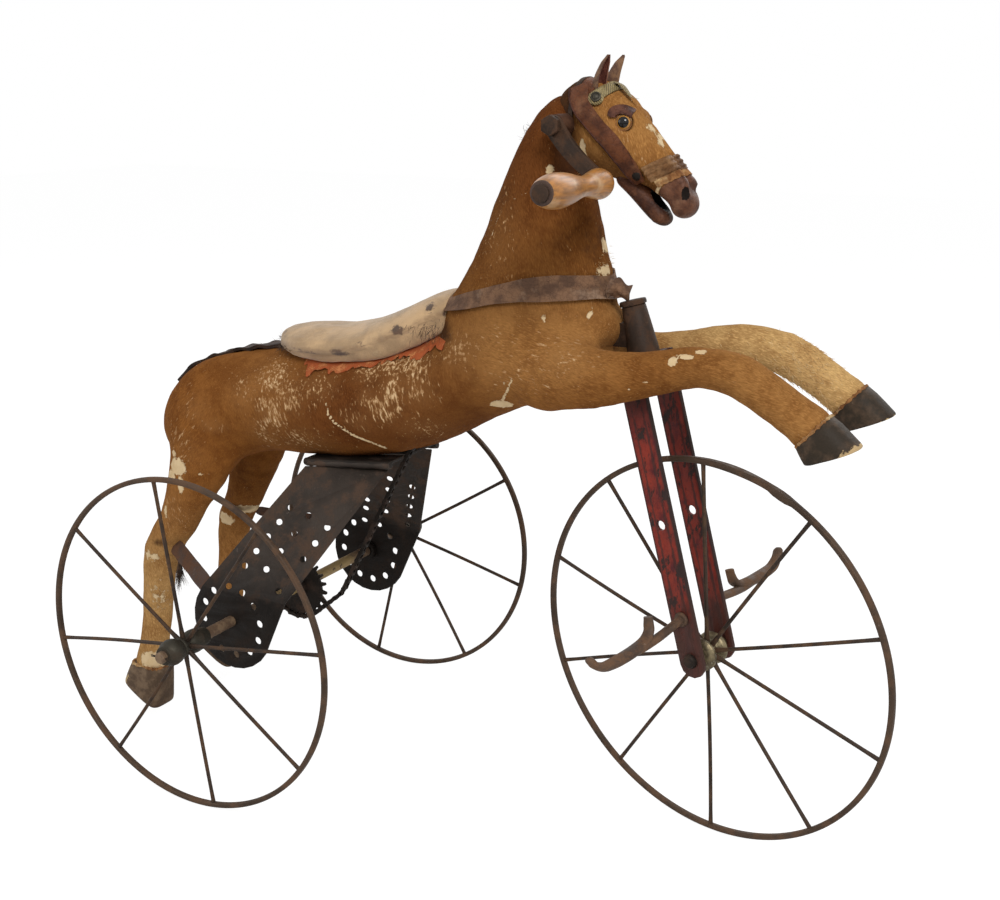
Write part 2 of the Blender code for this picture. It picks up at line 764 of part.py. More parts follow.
# Horse
def horse():
    slot, bar = chain_tunnel()
    torso = loft("torso", torso_rings(), hide())
    seat_turn = Matrix.Translation((0, 0, HORSE_Z)) @ Matrix.Rotation(-BELLY_SLOPE, 4, "Y")
    middle = sum(BELLY_PLATE_X) / 2
    seat = box("belly_seat", (BELLY_PLATE_X[0] - middle - 0.003, -PLATE_TOP_Y - 0.006, -0.06),
               (BELLY_PLATE_X[1] - middle + 0.003, PLATE_TOP_Y + 0.006, 0.0),
               matrix=Matrix.Translation((middle, 0, 0)) @ seat_turn)
    combine(torso, [slot, seat])

    neck = loft("neck", section_rings(NECK_STATIONS, NECK_SIDES), hide())
    crank_bore = rod("crank_bore", (CRANK_X, -0.1, CRANK_Z), (CRANK_X, 0.1, CRANK_Z),
                     bore_radius(CRANK_BUSH_RADIUS, 16), 16)
    combine(neck, [torso_skin("torso_for_neck", GAP), head_skin("head_for_neck", GAP), slot, crank_bore])

    head = loft("head", section_rings(HEAD_STATIONS, NECK_SIDES, 0.0, 0.92), hide())
    sockets = []
    for side, word in ((-1, "right"), (1, "left")):
        place = horse_point(EYE_PLACE[0], side * EYE_PLACE[1], EYE_PLACE[2])
        sockets.append(sphere(f"{word}_socket", place, EYE_RADIUS + GAP))
        sphere(f"{word}_eye", place, EYE_RADIUS, glass())
    combine(head, [slot, crank_bore] + sockets)

    jaw = loft("lower_jaw", section_rings(JAW_STATIONS, 12), dark_leather())
    combine(jaw, [head_skin("head_for_jaw", GAP)])

    for side, word in ((-1, "right"), (1, "left")):
        ear(word, side)
        leg(f"{word}_fore", FORE_LEG_STATIONS, side, FORE_HOOF)
        leg(f"{word}_hind", HIND_LEG_STATIONS, side, HIND_HOOF)
    tail()
    bar_half = TUNNEL_HALF_WIDTH - GAP
    rod("chain_guide_bar", (bar.x, CHAIN_Y - bar_half, bar.y), (bar.x, CHAIN_Y + bar_half, bar.y),
        GUIDE_BAR_RADIUS, 12, rusty_iron())


def sphere(name, place, radius, finish=None):
    work = bmesh.new()
    bmesh.ops.create_uvsphere(work, u_segments=10, v_segments=6, radius=radius)
    bmesh.ops.transform(work, matrix=Matrix.Translation(place), verts=work.verts)
    return add_object(name, mesh_from_bmesh(name, work), finish)


def ear(word, side):
    """Pricked ear, its tip bent forward."""
    rings = []
    for x, y, height, along, across in ((0.4470, 0.0185, 0.452, 0.0100, 0.0065),
                                        (0.4465, 0.0190, 0.468, 0.0115, 0.0070),
                                        (0.4510, 0.0200, 0.483, 0.0090, 0.0055),
                                        (0.4570, 0.0205, 0.494, 0.0050, 0.0035),
                                        (0.4610, 0.0210, 0.5005, 0.0012, 0.0012)):
        rings.append(oval(horse_point(x, side * y, height), (1, 0, 0), (0, side, 0), along, across, 8))
    item = loft(f"{word}_ear", rings, hide())
    combine(item, [head_skin(f"head_for_{word}_ear", GAP)])


# Hoof: top section and sole, each x, height, half length, half width and tilt
FORE_HOOF = ((0.7307, 0.1180, 0.0255, 0.0225, 48), (0.7535, 0.0950, 0.0320, 0.0260, 23))
HIND_HOOF = ((-0.2200, -0.3470, 0.0270, 0.0250, -10), (-0.2270, -0.3915, 0.0360, 0.0280, -25))


def hoof_rings(sections, side, y, grow=0.0):
    rings = []
    for x, height, length, width, tilt in sections:
        angle = math.radians(tilt)
        rings.append(oval(horse_point(x, side * y, height), (math.cos(angle), 0, math.sin(angle)),
                          (0, side, 0), length + grow, width + grow, LIMB_SIDES))
    return rings


def leg(word, stations, side, hoof):
    """Leg cut to the torso, with its hoof cut to the leg."""
    limb = loft(f"{word}_leg", limb_rings(stations, side), hide())
    combine(limb, [torso_skin(f"torso_for_{word}_leg", GAP)])
    y = stations[-1][1]
    foot = loft(f"{word}_hoof", hoof_rings(hoof, side, y), hoof_black())
    combine(foot, [loft(f"{word}_leg_skin", limb_rings(stations, side, GAP))])


def tail():
    """Remains of the horsehair tail, which hang between the hocks."""
    rings = []
    for x, y, height, depth, width in ((-0.2020, 0.000, 0.000, 0.005, 0.006),
                                       (-0.2060, 0.000, -0.050, 0.006, 0.008),
                                       (-0.2100, -0.004, -0.100, 0.007, 0.009),
                                       (-0.2140, -0.012, -0.170, 0.007, 0.010),
                                       (-0.2160, -0.018, -0.212, 0.007, 0.011),
                                       (-0.2170, -0.020, -0.232, 0.004, 0.007)):
        rings.append(oval(horse_point(x, y, height), (1, 0, 0), (0, 1, 0), depth, width, 8))
    item = loft("tail", rings, black_hair())
    combine(item, [torso_skin("torso_for_tail", GAP)])


# Saddle and straps
def wrap(name, skin, low, high, thickness, finish, matrix=None, keep_off=()):
    """Strip of a skin: the grown form, less the form, kept inside a box."""
    strap = skin(name, GAP + thickness)
    take_finish(strap, finish)
    limit = box(name + "_limit", low, high, matrix=matrix)
    combine(strap, [limit], "INTERSECT")
    combine(strap, [skin(name + "_inside", GAP)] + list(keep_off))
    return strap


SADDLE_STATIONS = (
    (-0.011, 0.151, 0.144, 0.014),
    (0.004, 0.158, 0.145, 0.036),
    (0.030, 0.163, 0.145, 0.054),
    (0.060, 0.165, 0.144, 0.064),
    (0.092, 0.166, 0.143, 0.067),
    (0.135, 0.176, 0.149, 0.068),
    (0.185, 0.197, 0.167, 0.066),
    (0.230, 0.218, 0.190, 0.060),
    (0.262, 0.2265, 0.211, 0.046),
)
CLOTH_THICKNESS = 0.002
CLOTH_EDGE = 0.087
CLOTH_SLOPE = math.radians(16.6)
COLLAR_HEIGHT = 0.027
COLLAR_THICKNESS = 0.0025
COLLAR_RISE = 0.017


def saddle():
    """Padded seat with its crown, drawn-in rims and swept-up front."""
    rings = []
    half = 9
    for x, top, rim, width in smooth_rows(SADDLE_STATIONS, 1):
        upper = []
        lower = []
        for k in range(half):
            across = -1 + 2 * k / (half - 1)
            crown = rim + (top - rim) * (1 - abs(across) ** 2.2)
            thick = 0.010 + 0.030 * (1 - across * across)
            upper.append(horse_point(x, width * across, crown))
            lower.append(horse_point(x, width * across * 0.97, crown - thick))
        rings.append(upper + lower[::-1])
    seat = loft("saddle", rings, suede())
    combine(seat, [torso_skin("torso_for_saddle", 2 * GAP + CLOTH_THICKNESS),
                   neck_skin("neck_for_saddle", 2 * GAP + COLLAR_THICKNESS)])
    wrap("saddle_cloth", torso_skin, (0.050, -0.12, CLOTH_EDGE), (0.305, 0.12, 0.30), CLOTH_THICKNESS,
         red_cloth(), Matrix.Translation((0, 0, HORSE_Z)) @ Matrix.Rotation(-CLOTH_SLOPE, 4, "Y"),
         [neck_skin("neck_for_cloth", GAP)])
    wrap("croup_strip", torso_skin, (-0.190, -0.018, HORSE_Z + 0.02), (-0.020, 0.018, HORSE_Z + 0.3),
         0.003, dark_leather())


def breast_collar():
    """Leather band round the foot of the neck, lowest at the chest."""
    edges = []
    for across in (-0.09, -0.06, -0.03, 0.0, 0.03, 0.06, 0.09):
        edges.append((across, COLLAR_RISE * (across / 0.07) ** 2))
    half = COLLAR_HEIGHT / 2
    loop = [(y, z - half) for y, z in edges] + [(y, z + half) for y, z in reversed(edges)]
    upright = Matrix(((0, 0, 1, 0), (1, 0, 0, 0), (0, 1, 0, 0), (0, 0, 0, 1)))
    place = (Matrix.Translation(horse_point(0.365, 0, 0.2220))
             @ Matrix.Rotation(-math.radians(7), 4, "Y") @ upright)
    collar = neck_skin("breast_collar", GAP + COLLAR_THICKNESS)
    take_finish(collar, dark_leather())
    combine(collar, [outline("collar_limit", [loop], 0.34, place)], "INTERSECT")
    combine(collar, [neck_skin("neck_for_collar", GAP), torso_skin("torso_for_collar", GAP)])


def bridle():
    """Noseband, browband and cheek straps, cut from skins of the head."""
    def head_frame(x, height, tilt):
        return (Matrix.Translation(horse_point(x, 0, height))
                @ Matrix.Rotation(-math.radians(tilt), 4, "Y"))

    ears = [rod(f"ear_keep_off_{side}", horse_point(0.449, side * 0.0185, 0.44),
                horse_point(0.449, side * 0.0185, 0.49), 0.0115, 10) for side in (-1, 1)]
    nose_frame = head_frame(0.5225, 0.3815, -52)
    wrap("noseband", head_skin, (-0.008, -0.06, -0.026), (0.008, 0.06, 0.05), 0.0025,
         dark_leather(), nose_frame, [loft("jaw_for_noseband", section_rings(JAW_STATIONS, 12, GAP))])
    brow_frame = head_frame(0.457, 0.457, -49)
    band = wrap("browband", head_skin, (-0.0055, -0.06, -0.010), (0.0055, 0.06, 0.05), 0.0022,
                woven_gold(), brow_frame, ears)
    rosettes = []
    for side in (-1, 1):
        start = horse_point(0.4475, side * 0.020, 0.4545)
        end = horse_point(0.4475, side * 0.0345, 0.4600)
        rosettes.append(rod(f"rosette_{side}", start, end, 0.0065, 10))
    join(band, rosettes)
    combine(band, [head_skin("head_for_rosettes", GAP)])
    strap_frame = head_frame(0.4825, 0.3985, -47)
    for side, word in ((-1, "right"), (1, "left")):
        low = (-0.062, 0.012, -0.009)
        high = (0.035, 0.06, 0.007)
        if side < 0:
            low, high = (low[0], -high[1], low[2]), (high[0], -low[1], high[2])
        eye = horse_point(EYE_PLACE[0], side * EYE_PLACE[1], EYE_PLACE[2])
        keep_off = [box(f"brow_keep_off_{word}", (-0.0058, -0.07, -0.0103), (0.0058, 0.07, 0.09),
                        matrix=brow_frame),
                    box(f"nose_keep_off_{word}", (-0.0083, -0.07, -0.05), (0.03, 0.07, 0.09),
                        matrix=nose_frame),
                    rod(f"rosette_keep_off_{word}", horse_point(0.4475, side * 0.015, 0.4525),
                        horse_point(0.4475, side * 0.045, 0.464), 0.0068, 10),
                    rod(f"bush_keep_off_{word}", (CRANK_X, -0.1, CRANK_Z), (CRANK_X, 0.1, CRANK_Z),
                        CRANK_BUSH_RADIUS + 0.004, 14),
                    neck_skin(f"neck_for_{word}_strap", GAP),
                    sphere(f"eye_keep_off_{word}", eye, EYE_RADIUS + 0.002)]
        wrap(f"{word}_cheek_strap", head_skin, low, high, 0.0022, dark_leather(), strap_frame, keep_off)


# Rear frame
def plate_outline():
    """Edge and holes of the side plate, unrolled flat: x, and distance up from the bend line."""
    stretch = math.hypot(1.0, (PLATE_Y - PLATE_TOP_Y) / (PLATE_TOP_Z - BEND_Z))

    def unrolled(x, z):
        rise = z - BEND_Z
        return (x, rise * stretch if rise > 0 else rise)

    edge = []
    for k in range(15):
        angle = math.radians(-17 - 201 * k / 14)
        edge.append(unrolled(PLATE_LOBE_OFFSET[0] + PLATE_LOBE_RADIUS * math.cos(angle),
                             REAR_AXLE_Z + PLATE_LOBE_OFFSET[1] + PLATE_LOBE_RADIUS * math.sin(angle)))
    mid_x = sum(BELLY_PLATE_X) / 2
    for x in (BELLY_PLATE_X[0] + 0.003, BELLY_PLATE_X[1] - 0.006):
        edge.append(unrolled(x, PLATE_TOP_Z + math.tan(BELLY_SLOPE) * (x - mid_x)))
    loops = [edge, circle(unrolled(0, REAR_AXLE_Z), bore_radius(AXLE_RADIUS, 12), 12)]
    for k in range(12):
        angle = math.tau * k / 12 + math.radians(6)
        loops.append(circle(unrolled(PLATE_HOLE_RING * math.cos(angle),
                                     REAR_AXLE_Z + PLATE_HOLE_RING * math.sin(angle)),
                            PLATE_HOLE_RADIUS, PLATE_HOLE_SIDES))
    rise = (PLATE_TOP_Z - BEND_Z) / 8
    for start_x, start_z, step_x, step_z, count in PLATE_HOLE_ROWS:
        for k in range(count):
            x = start_x + k * step_x * rise
            place = unrolled(x, BEND_Z + start_z + k * step_z * rise)
            loops.append(circle(place, PLATE_HOLE_RADIUS, PLATE_HOLE_SIDES))
    return loops


def side_plate(word, side):
    """Perforated iron plate: upright round the axle, then flared in and up to the belly.

    The flat plate is cut along the bend line, and the part above it is turned by the flare.
    """
    flat = outline(f"{word}_side_plate", plate_outline(), PLATE_THICKNESS, Matrix.Identity(4))
    work = bmesh.new()
    work.from_mesh(flat.data)
    bmesh.ops.bisect_plane(work, geom=work.verts[:] + work.edges[:] + work.faces[:],
                           plane_co=(0, 0, 0), plane_no=(0, 1, 0), dist=0.00001)
    flare = math.atan2(PLATE_Y - PLATE_TOP_Y, PLATE_TOP_Z - BEND_Z)
    half = math.tan(flare / 2)
    for vert in work.verts:
        x, rise, depth = vert.co
        if abs(rise) < 0.00002:
            vert.co = (x, PLATE_Y + depth, BEND_Z - depth * half)
        elif rise < 0:
            vert.co = (x, PLATE_Y + depth, BEND_Z + rise)
        else:
            vert.co = (x, PLATE_Y + depth * math.cos(flare) - rise * math.sin(flare),
                       BEND_Z + rise * math.cos(flare) - depth * math.sin(flare))
    if side < 0:
        bmesh.ops.transform(work, matrix=Matrix.Diagonal((1, -1, 1, 1)), verts=work.verts)
    face_outward(work)
    work.to_mesh(flat.data)
    work.free()
    take_finish(flat, rusty_iron())


def hind_leg_x(z):
    """Middle of the hind leg at height z, read between its two nearest stations."""
    rows = HIND_LEG_STATIONS
    for above, below in zip(rows, rows[1:]):
        if above[2] >= z - HORSE_Z >= below[2]:
            part = (above[2] - z + HORSE_Z) / (above[2] - below[2])
            return above[0] + part * (below[0] - above[0])
    raise ValueError("the hock stay would miss the hind leg")


def hock_stay(word, side):
    """Flat strut that ties the hock to the side plate."""
    inner = PLATE_Y - PLATE_THICKNESS / 2 - GAP - STAY_THICKNESS / 2
    route = [Vector((hind_leg_x(BEND_Z), HIND_LEG_Y - 0.006)), Vector((-0.062, inner)),
             Vector((-0.030, inner))]
    left = []
    right = []
    for k, point in enumerate(route):
        before = route[max(k - 1, 0)]
        after = route[min(k + 1, len(route) - 1)]
        one = (point - before).normalized() if k else (after - point).normalized()
        two = (after - point).normalized() if k < len(route) - 1 else one
        normal = Vector((-(one + two).y, (one + two).x)).normalized()
        width = STAY_THICKNESS / 2 / max(normal.dot(Vector((-one.y, one.x))), 0.5)
        left.append(point + normal * width)
        right.append(point - normal * width)
    loop = [(p.x, side * p.y) for p in left + right[::-1]]
    place = (Matrix.Translation((-0.045, 0, BEND_Z - 0.011)) @ Matrix.Rotation(math.radians(8), 4, "Y")
             @ Matrix.Translation((0.045, 0, 0)))
    stay = outline(f"{word}_hock_stay", [loop], STAY_HEIGHT, place, rusty_iron())
    combine(stay, [loft(f"{word}_leg_for_stay", limb_rings(HIND_LEG_STATIONS, side, GAP))])


def belly_plate():
    """Iron plate under the belly with a rolled rim along each side and a slot for the chain."""
    middle = sum(BELLY_PLATE_X) / 2
    half = (BELLY_PLATE_X[1] - BELLY_PLATE_X[0]) / 2
    place = (Matrix.Translation((middle, 0, HORSE_Z - GAP))
             @ Matrix.Rotation(-BELLY_SLOPE, 4, "Y"))
    plate = box("belly_plate", (-half, -PLATE_TOP_Y, -BELLY_PLATE_THICKNESS), (half, PLATE_TOP_Y, 0.0),
                rusty_iron(), place)
    rolls = []
    for side in (-1, 1):
        start = place @ Vector((-half, side * PLATE_TOP_Y, -BELLY_PLATE_THICKNESS - 0.0005))
        end = place @ Vector((half, side * PLATE_TOP_Y, -BELLY_PLATE_THICKNESS - 0.0005))
        rolls.append(rod(f"belly_roll_{side}", start, end, BELLY_ROLL_RADIUS, 10))
    join(plate, rolls)
    slot = box("belly_slot", (0.085, CHAIN_Y - TUNNEL_HALF_WIDTH, HORSE_Z - 0.05),
               (0.30, CHAIN_Y + TUNNEL_HALF_WIDTH, HORSE_Z + 0.05))
    combine(plate, [slot])


def rear_frame():
    belly_plate()
    for side, word in ((-1, "right"), (1, "left")):
        side_plate(word, side)
        hock_stay(word, side)
        inner = side * (PLATE_Y - PLATE_THICKNESS / 2 - GAP)
        ring = rod(f"{word}_axle_bush", (0, inner, REAR_AXLE_Z), (0, inner - side * 0.009, REAR_AXLE_Z),
                   0.0135, 14, rusty_iron())
        bore = rod(f"{word}_bush_bore", (0, inner - side * 0.02, REAR_AXLE_Z),
                   (0, inner + side * 0.02, REAR_AXLE_Z), bore_radius(AXLE_RADIUS, 12), 12)
        combine(ring, [bore])


# Wheels
def rim(name, radius, matrix, phase):
    """Rounded iron tyre whose lowest flat lies on the floor."""
    outer = radius / math.cos(math.pi / RIM_STEPS)
    inner = outer - RIM_DEPTH
    half = RIM_WIDTH / 2
    profile = [(inner, half * 0.6), (outer - 0.002, half), (outer, RIM_FLAT / 2), (outer, -RIM_FLAT / 2),
               (outer - 0.002, -half), (inner, -half * 0.6)]
    turned(name, profile, RIM_STEPS, matrix, rusty_iron(), True, phase)
    return inner * math.cos(math.pi / RIM_STEPS)


def spoked_hub(name, profile, shaft, rim_inside, spokes, phase, matrix, finish):
    """Turned hub with its spokes, bored for the shaft."""
    hub = turned(name, profile, HUB_STEPS, matrix, finish)
    length = 0.1
    arms = []
    for k in range(spokes):
        angle = phase + math.tau * k / spokes
        direction = Vector((math.cos(angle), math.sin(angle), 0))
        arms.append(rod(f"{name}_spoke_{k}", matrix @ (direction * (shaft + 0.003)),
                        matrix @ (direction * (rim_inside - GAP)), SPOKE_RADIUS, 6))
    join(hub, arms)
    bore = rod(name + "_bore", matrix @ Vector((0, 0, -length)), matrix @ Vector((0, 0, length)),
               bore_radius(shaft, 12), 12)
    combine(hub, [bore])


def hub_profile(length):
    """Two turned bulges with a waist, from the top of the axis down."""
    half = length / 2
    return [(0.0, half), (0.012, half), (0.0165, half * 0.72), (0.0165, half * 0.45),
            (0.011, half * 0.16), (0.011, -half * 0.10), (0.0150, -half * 0.36),
            (0.0150, -half * 0.62), (0.0115, -half * 0.74), (0.0115, -half), (0.0, -half)]


def rear_wheels():
    """The larger bulge of each hub is on its outer side."""
    for side, word, phase in ((-1, "right", RIGHT_SPOKE_PHASE), (1, "left", LEFT_SPOKE_PHASE)):
        place = outward_frame(0, side * TRACK / 2, REAR_AXLE_Z, side)
        inside = rim(f"{word}_rear_rim", REAR_WHEEL_RADIUS, place, math.pi / RIM_STEPS)
        spoked_hub(f"{word}_rear_hub", hub_profile(REAR_HUB_LENGTH), AXLE_RADIUS, inside, REAR_SPOKES,
                   -side * phase, place, rusty_iron())


def rear_axle():
    end = TRACK / 2 + REAR_HUB_LENGTH / 2 + 0.008
    pin_y = -(TRACK / 2 + REAR_HUB_LENGTH / 2 + 0.004)
    axle = rod("rear_axle", (0, -end, REAR_AXLE_Z), (0, end, REAR_AXLE_Z), AXLE_RADIUS, 12,
               rusty_iron())
    hole = rod("split_pin_hole", (-0.02, pin_y, REAR_AXLE_Z), (0.02, pin_y, REAR_AXLE_Z), 0.0019, 8)
    combine(axle, [hole])
    rod("split_pin", (-0.017, pin_y, REAR_AXLE_Z), (0.014, pin_y, REAR_AXLE_Z), 0.0015, 8, rusty_iron())
    sprocket("rear_sprocket", AXLE_TEETH, AXLE_SPROCKET_RADIUS, (0.0, REAR_AXLE_Z), AXLE_RADIUS,
             0.015, 0.009)


# Hand crank
# Grip from the arm outward: radius and distance
GRIP_PROFILE = (
    (0.0, 0.0), (0.0100, 0.0), (0.0150, 0.006), (0.0165, 0.016), (0.0150, 0.028), (0.0120, 0.042),
    (0.0112, 0.055), (0.0135, 0.074), (0.0172, 0.095), (0.0187, 0.115), (0.0172, 0.133),
    (0.0125, GRIP_LENGTH), (0.0, GRIP_LENGTH),
)


def crank_arm(word, side, angle):
    """Arm with its fixed grip pin. The pin's head holds the grip on."""
    inner = CRANK_ARM_Y - CRANK_ARM_THICKNESS / 2
    outer = CRANK_ARM_Y + CRANK_ARM_THICKNESS / 2
    upper = []
    lower = []
    for k in range(9):
        t = k / 8
        middle = Vector((CRANK_ARM_LENGTH * t, -2 * CRANK_ARM_BOW * t * (1 - t)))
        heading = Vector((CRANK_ARM_LENGTH, -2 * CRANK_ARM_BOW * (1 - 2 * t))).normalized()
        width = CRANK_ARM_HALF_WIDTHS[0] + (CRANK_ARM_HALF_WIDTHS[1] - CRANK_ARM_HALF_WIDTHS[0]) * t
        normal = Vector((-heading.y, heading.x)) * width
        upper.append(middle + normal)
        lower.append(middle - normal)
    loop = []
    for side_points, end, width in ((upper[::-1], Vector((0, 0)), CRANK_ARM_HALF_WIDTHS[0]),
                                    (lower, Vector((CRANK_ARM_LENGTH, 0)), CRANK_ARM_HALF_WIDTHS[1])):
        loop.extend(tuple(point) for point in side_points)
        from_angle = math.atan2(*(side_points[-1] - end).yx)
        for k in range(1, 6):
            turn = from_angle + math.pi * k / 6
            loop.append((end.x + width * math.cos(turn), end.y + width * math.sin(turn)))
    place = (Matrix.Translation((CRANK_X, side * CRANK_ARM_Y, CRANK_Z))
             @ Matrix.Rotation(-angle, 4, "Y") @ Matrix.Rotation(math.pi / 2, 4, "X"))
    hole = circle((0, 0), bore_radius(CRANK_AXLE_RADIUS, 12), 12)
    arm = outline(f"{word}_crank_arm", [loop, hole], CRANK_ARM_THICKNESS, place, rusty_iron())
    pin_x = CRANK_X + CRANK_ARM_LENGTH * math.cos(angle)
    pin_z = CRANK_Z + CRANK_ARM_LENGTH * math.sin(angle)
    tip = outer + GAP + GRIP_LENGTH

    def at_pin(y):
        return (pin_x, side * y, pin_z)

    pin = rod(f"{word}_grip_pin", at_pin(inner + 0.001), at_pin(tip + 0.002), GRIP_PIN_RADIUS, 10)
    cap = rod(f"{word}_grip_cap", at_pin(tip + GAP), at_pin(tip + 0.0035), 0.0095, 12)
    join(arm, [pin, cap])
    facing = outward_frame(pin_x, side * (outer + GAP), pin_z, side)
    grip = turned(f"{word}_grip", GRIP_PROFILE[::-1], 14, facing, varnished_wood())
    bore = rod(f"{word}_grip_bore", at_pin(outer - 0.01), at_pin(tip + 0.01),
               bore_radius(GRIP_PIN_RADIUS, 10), 10)
    combine(grip, [bore])


def crank():
    outer = CRANK_ARM_Y + CRANK_ARM_THICKNESS / 2
    axle = rod("crank_axle", (CRANK_X, -outer - 0.003, CRANK_Z), (CRANK_X, outer + 0.003, CRANK_Z),
               CRANK_AXLE_RADIUS, 12, rusty_iron())
    nuts = []
    for side in (-1, 1):
        nuts.append(rod(f"crank_nut_{side}", (CRANK_X, side * (outer + GAP), CRANK_Z),
                        (CRANK_X, side * (outer + 0.0075), CRANK_Z), 0.0118, 6))
    join(axle, nuts)
    sprocket("crank_sprocket", CRANK_TEETH, CRANK_SPROCKET_RADIUS, (CRANK_X, CRANK_Z),
             CRANK_AXLE_RADIUS, 0.0105, 0.006)
    inner = CRANK_ARM_Y - CRANK_ARM_THICKNESS / 2 - GAP
    for side, word in ((-1, "right"), (1, "left")):
        start = CHAIN_Y + side * TUNNEL_HALF_WIDTH
        bush = rod(f"{word}_crank_bush", (CRANK_X, start, CRANK_Z), (CRANK_X, side * inner, CRANK_Z),
                   CRANK_BUSH_RADIUS, 16, rusty_iron())
        bore = rod(f"{word}_crank_bush_bore", (CRANK_X, -0.1, CRANK_Z), (CRANK_X, 0.1, CRANK_Z),
                   bore_radius(CRANK_AXLE_RADIUS, 12), 12)
        combine(bush, [bore])
    crank_arm("right", -1, RIGHT_ARM_ANGLE)
    crank_arm("left", 1, LEFT_ARM_ANGLE)


# Steering
def steer_frame():
    """Frame on the steering axis at the front axle: X forward, Y to the left, Z up the axis."""
    lean = Matrix.Rotation(-STEER_RAKE, 4, "Y")
    return (Matrix.Translation((FRONT_AXLE_X, 0, FRONT_AXLE_Z)) @ lean
            @ Matrix.Rotation(-REST_STEER, 4, "Z"))


def head_tube():
    """Tapered steering socket with the lug that fastens it to the chest."""
    frame = steer_frame()
    bottom = frame @ Vector((0, 0, FORK_LENGTH))
    top = frame @ Vector((0, 0, FORK_LENGTH + HEAD_TUBE_LENGTH))
    socket = rod("head_tube", bottom, top, HEAD_TUBE_RADII[0], 18, rusty_iron(), HEAD_TUBE_RADII[1])
    lug = box("head_tube_lug", (0.425, -0.011, HORSE_Z + STEER_HEIGHT + 0.008),
              (STEER_X - 0.008, 0.011, HORSE_Z + STEER_HEIGHT + 0.036))
    join(socket, [lug])
    bore = rod("head_tube_bore", frame @ Vector((0, 0, FORK_LENGTH - 0.03)),
               frame @ Vector((0, 0, FORK_LENGTH + HEAD_TUBE_LENGTH + 0.03)),
               bore_radius(STEM_RADIUS, 14), 14)
    combine(socket, [bore, torso_skin("torso_for_head_tube", GAP), neck_skin("neck_for_head_tube", GAP)])


def fork():
    frame = steer_frame()
    inner = BLADE_OFFSET - BLADE_THICKNESS / 2
    crown_top = FORK_LENGTH - GAP
    crown = box("fork_stem", (-0.014, -inner + GAP, crown_top - 0.015), (0.014, inner - GAP, crown_top),
                rusty_iron(), frame)
    stem = rod("fork_stem_rod", frame @ Vector((0, 0, crown_top - 0.004)),
               frame @ Vector((0, 0, FORK_LENGTH + HEAD_TUBE_LENGTH + 0.006)), STEM_RADIUS, 14)
    join(crown, [stem])
    washer_low = FORK_LENGTH + HEAD_TUBE_LENGTH + GAP
    nut = rod("fork_top_nut", frame @ Vector((0, 0, washer_low)),
              frame @ Vector((0, 0, washer_low + 0.006)), 0.0155, 16, rusty_iron())
    combine(nut, [rod("fork_top_nut_bore", frame @ Vector((0, 0, washer_low - 0.02)),
                      frame @ Vector((0, 0, washer_low + 0.02)), bore_radius(STEM_RADIUS, 14), 14)])
    for side, word in ((-1, "right"), (1, "left")):
        blade(word, side, frame, crown_top)
        foot_rest(word, side, frame)
    front_wheel(frame)


def blade(word, side, frame, top):
    """Flat fork blade with a rounded foot, an axle hole and a lightening hole."""
    half = BLADE_WIDTH / 2
    loop = [(half, top), (-half, top)]
    for k in range(7):
        turn = math.pi + math.pi * k / 6
        loop.append((half * math.cos(turn), -0.005 + half * math.sin(turn)))
    holes = [circle((0, 0), bore_radius(FRONT_AXLE_RADIUS, 12), 12),
             circle((-0.002, FORK_LENGTH * 0.458), 0.0062, 10)]
    place = (frame @ Matrix.Translation((0, side * BLADE_OFFSET, 0)) @ Matrix.Rotation(math.pi / 2, 4, "X"))
    outline(f"{word}_fork_blade", [loop] + holes, BLADE_THICKNESS, place, red_paint())


def foot_rest(word, side, frame):
    """Forged cradle for the foot on a stub that leaves the blade."""
    outside = BLADE_OFFSET + BLADE_THICKNESS / 2 + GAP
    near, far = FOOT_REST_REACH
    base = FOOT_REST_HEIGHT
    span = far - near
    cradle = [(near, base + 0.025), (near + 0.003, base + 0.008), (near + 0.02, base),
              (near + 0.5 * span, base - 0.004), (near + 0.8 * span, base - 0.001),
              (near + 0.95 * span, base + 0.006), (far, base + 0.017)]
    points = [frame @ Vector((-0.007, side * y, z)) for y, z in cradle]
    rest = tube(f"{word}_foot_rest", points, FOOT_REST_RADIUS, rusty_iron(),
                radii=(0.8, 0.9, 1.1, 1.2, 1.1, 0.9, 0.8))
    stub_points = [frame @ Vector((0, side * y, z)) for y, z in
                   ((outside, base + 0.004), (outside + 0.045, base + 0.001))]
    stub_points.append(frame @ Vector((-0.007, side * (near + 0.45 * span), base - 0.003)))
    stub = tube(f"{word}_foot_rest_stub", stub_points, FOOT_REST_RADIUS * 0.95)
    boss = rod(f"{word}_foot_rest_boss", frame @ Vector((0, side * outside, base + 0.004)),
               frame @ Vector((0, side * (outside + 0.004), base + 0.004)), 0.009, 12)
    join(rest, [stub, boss])


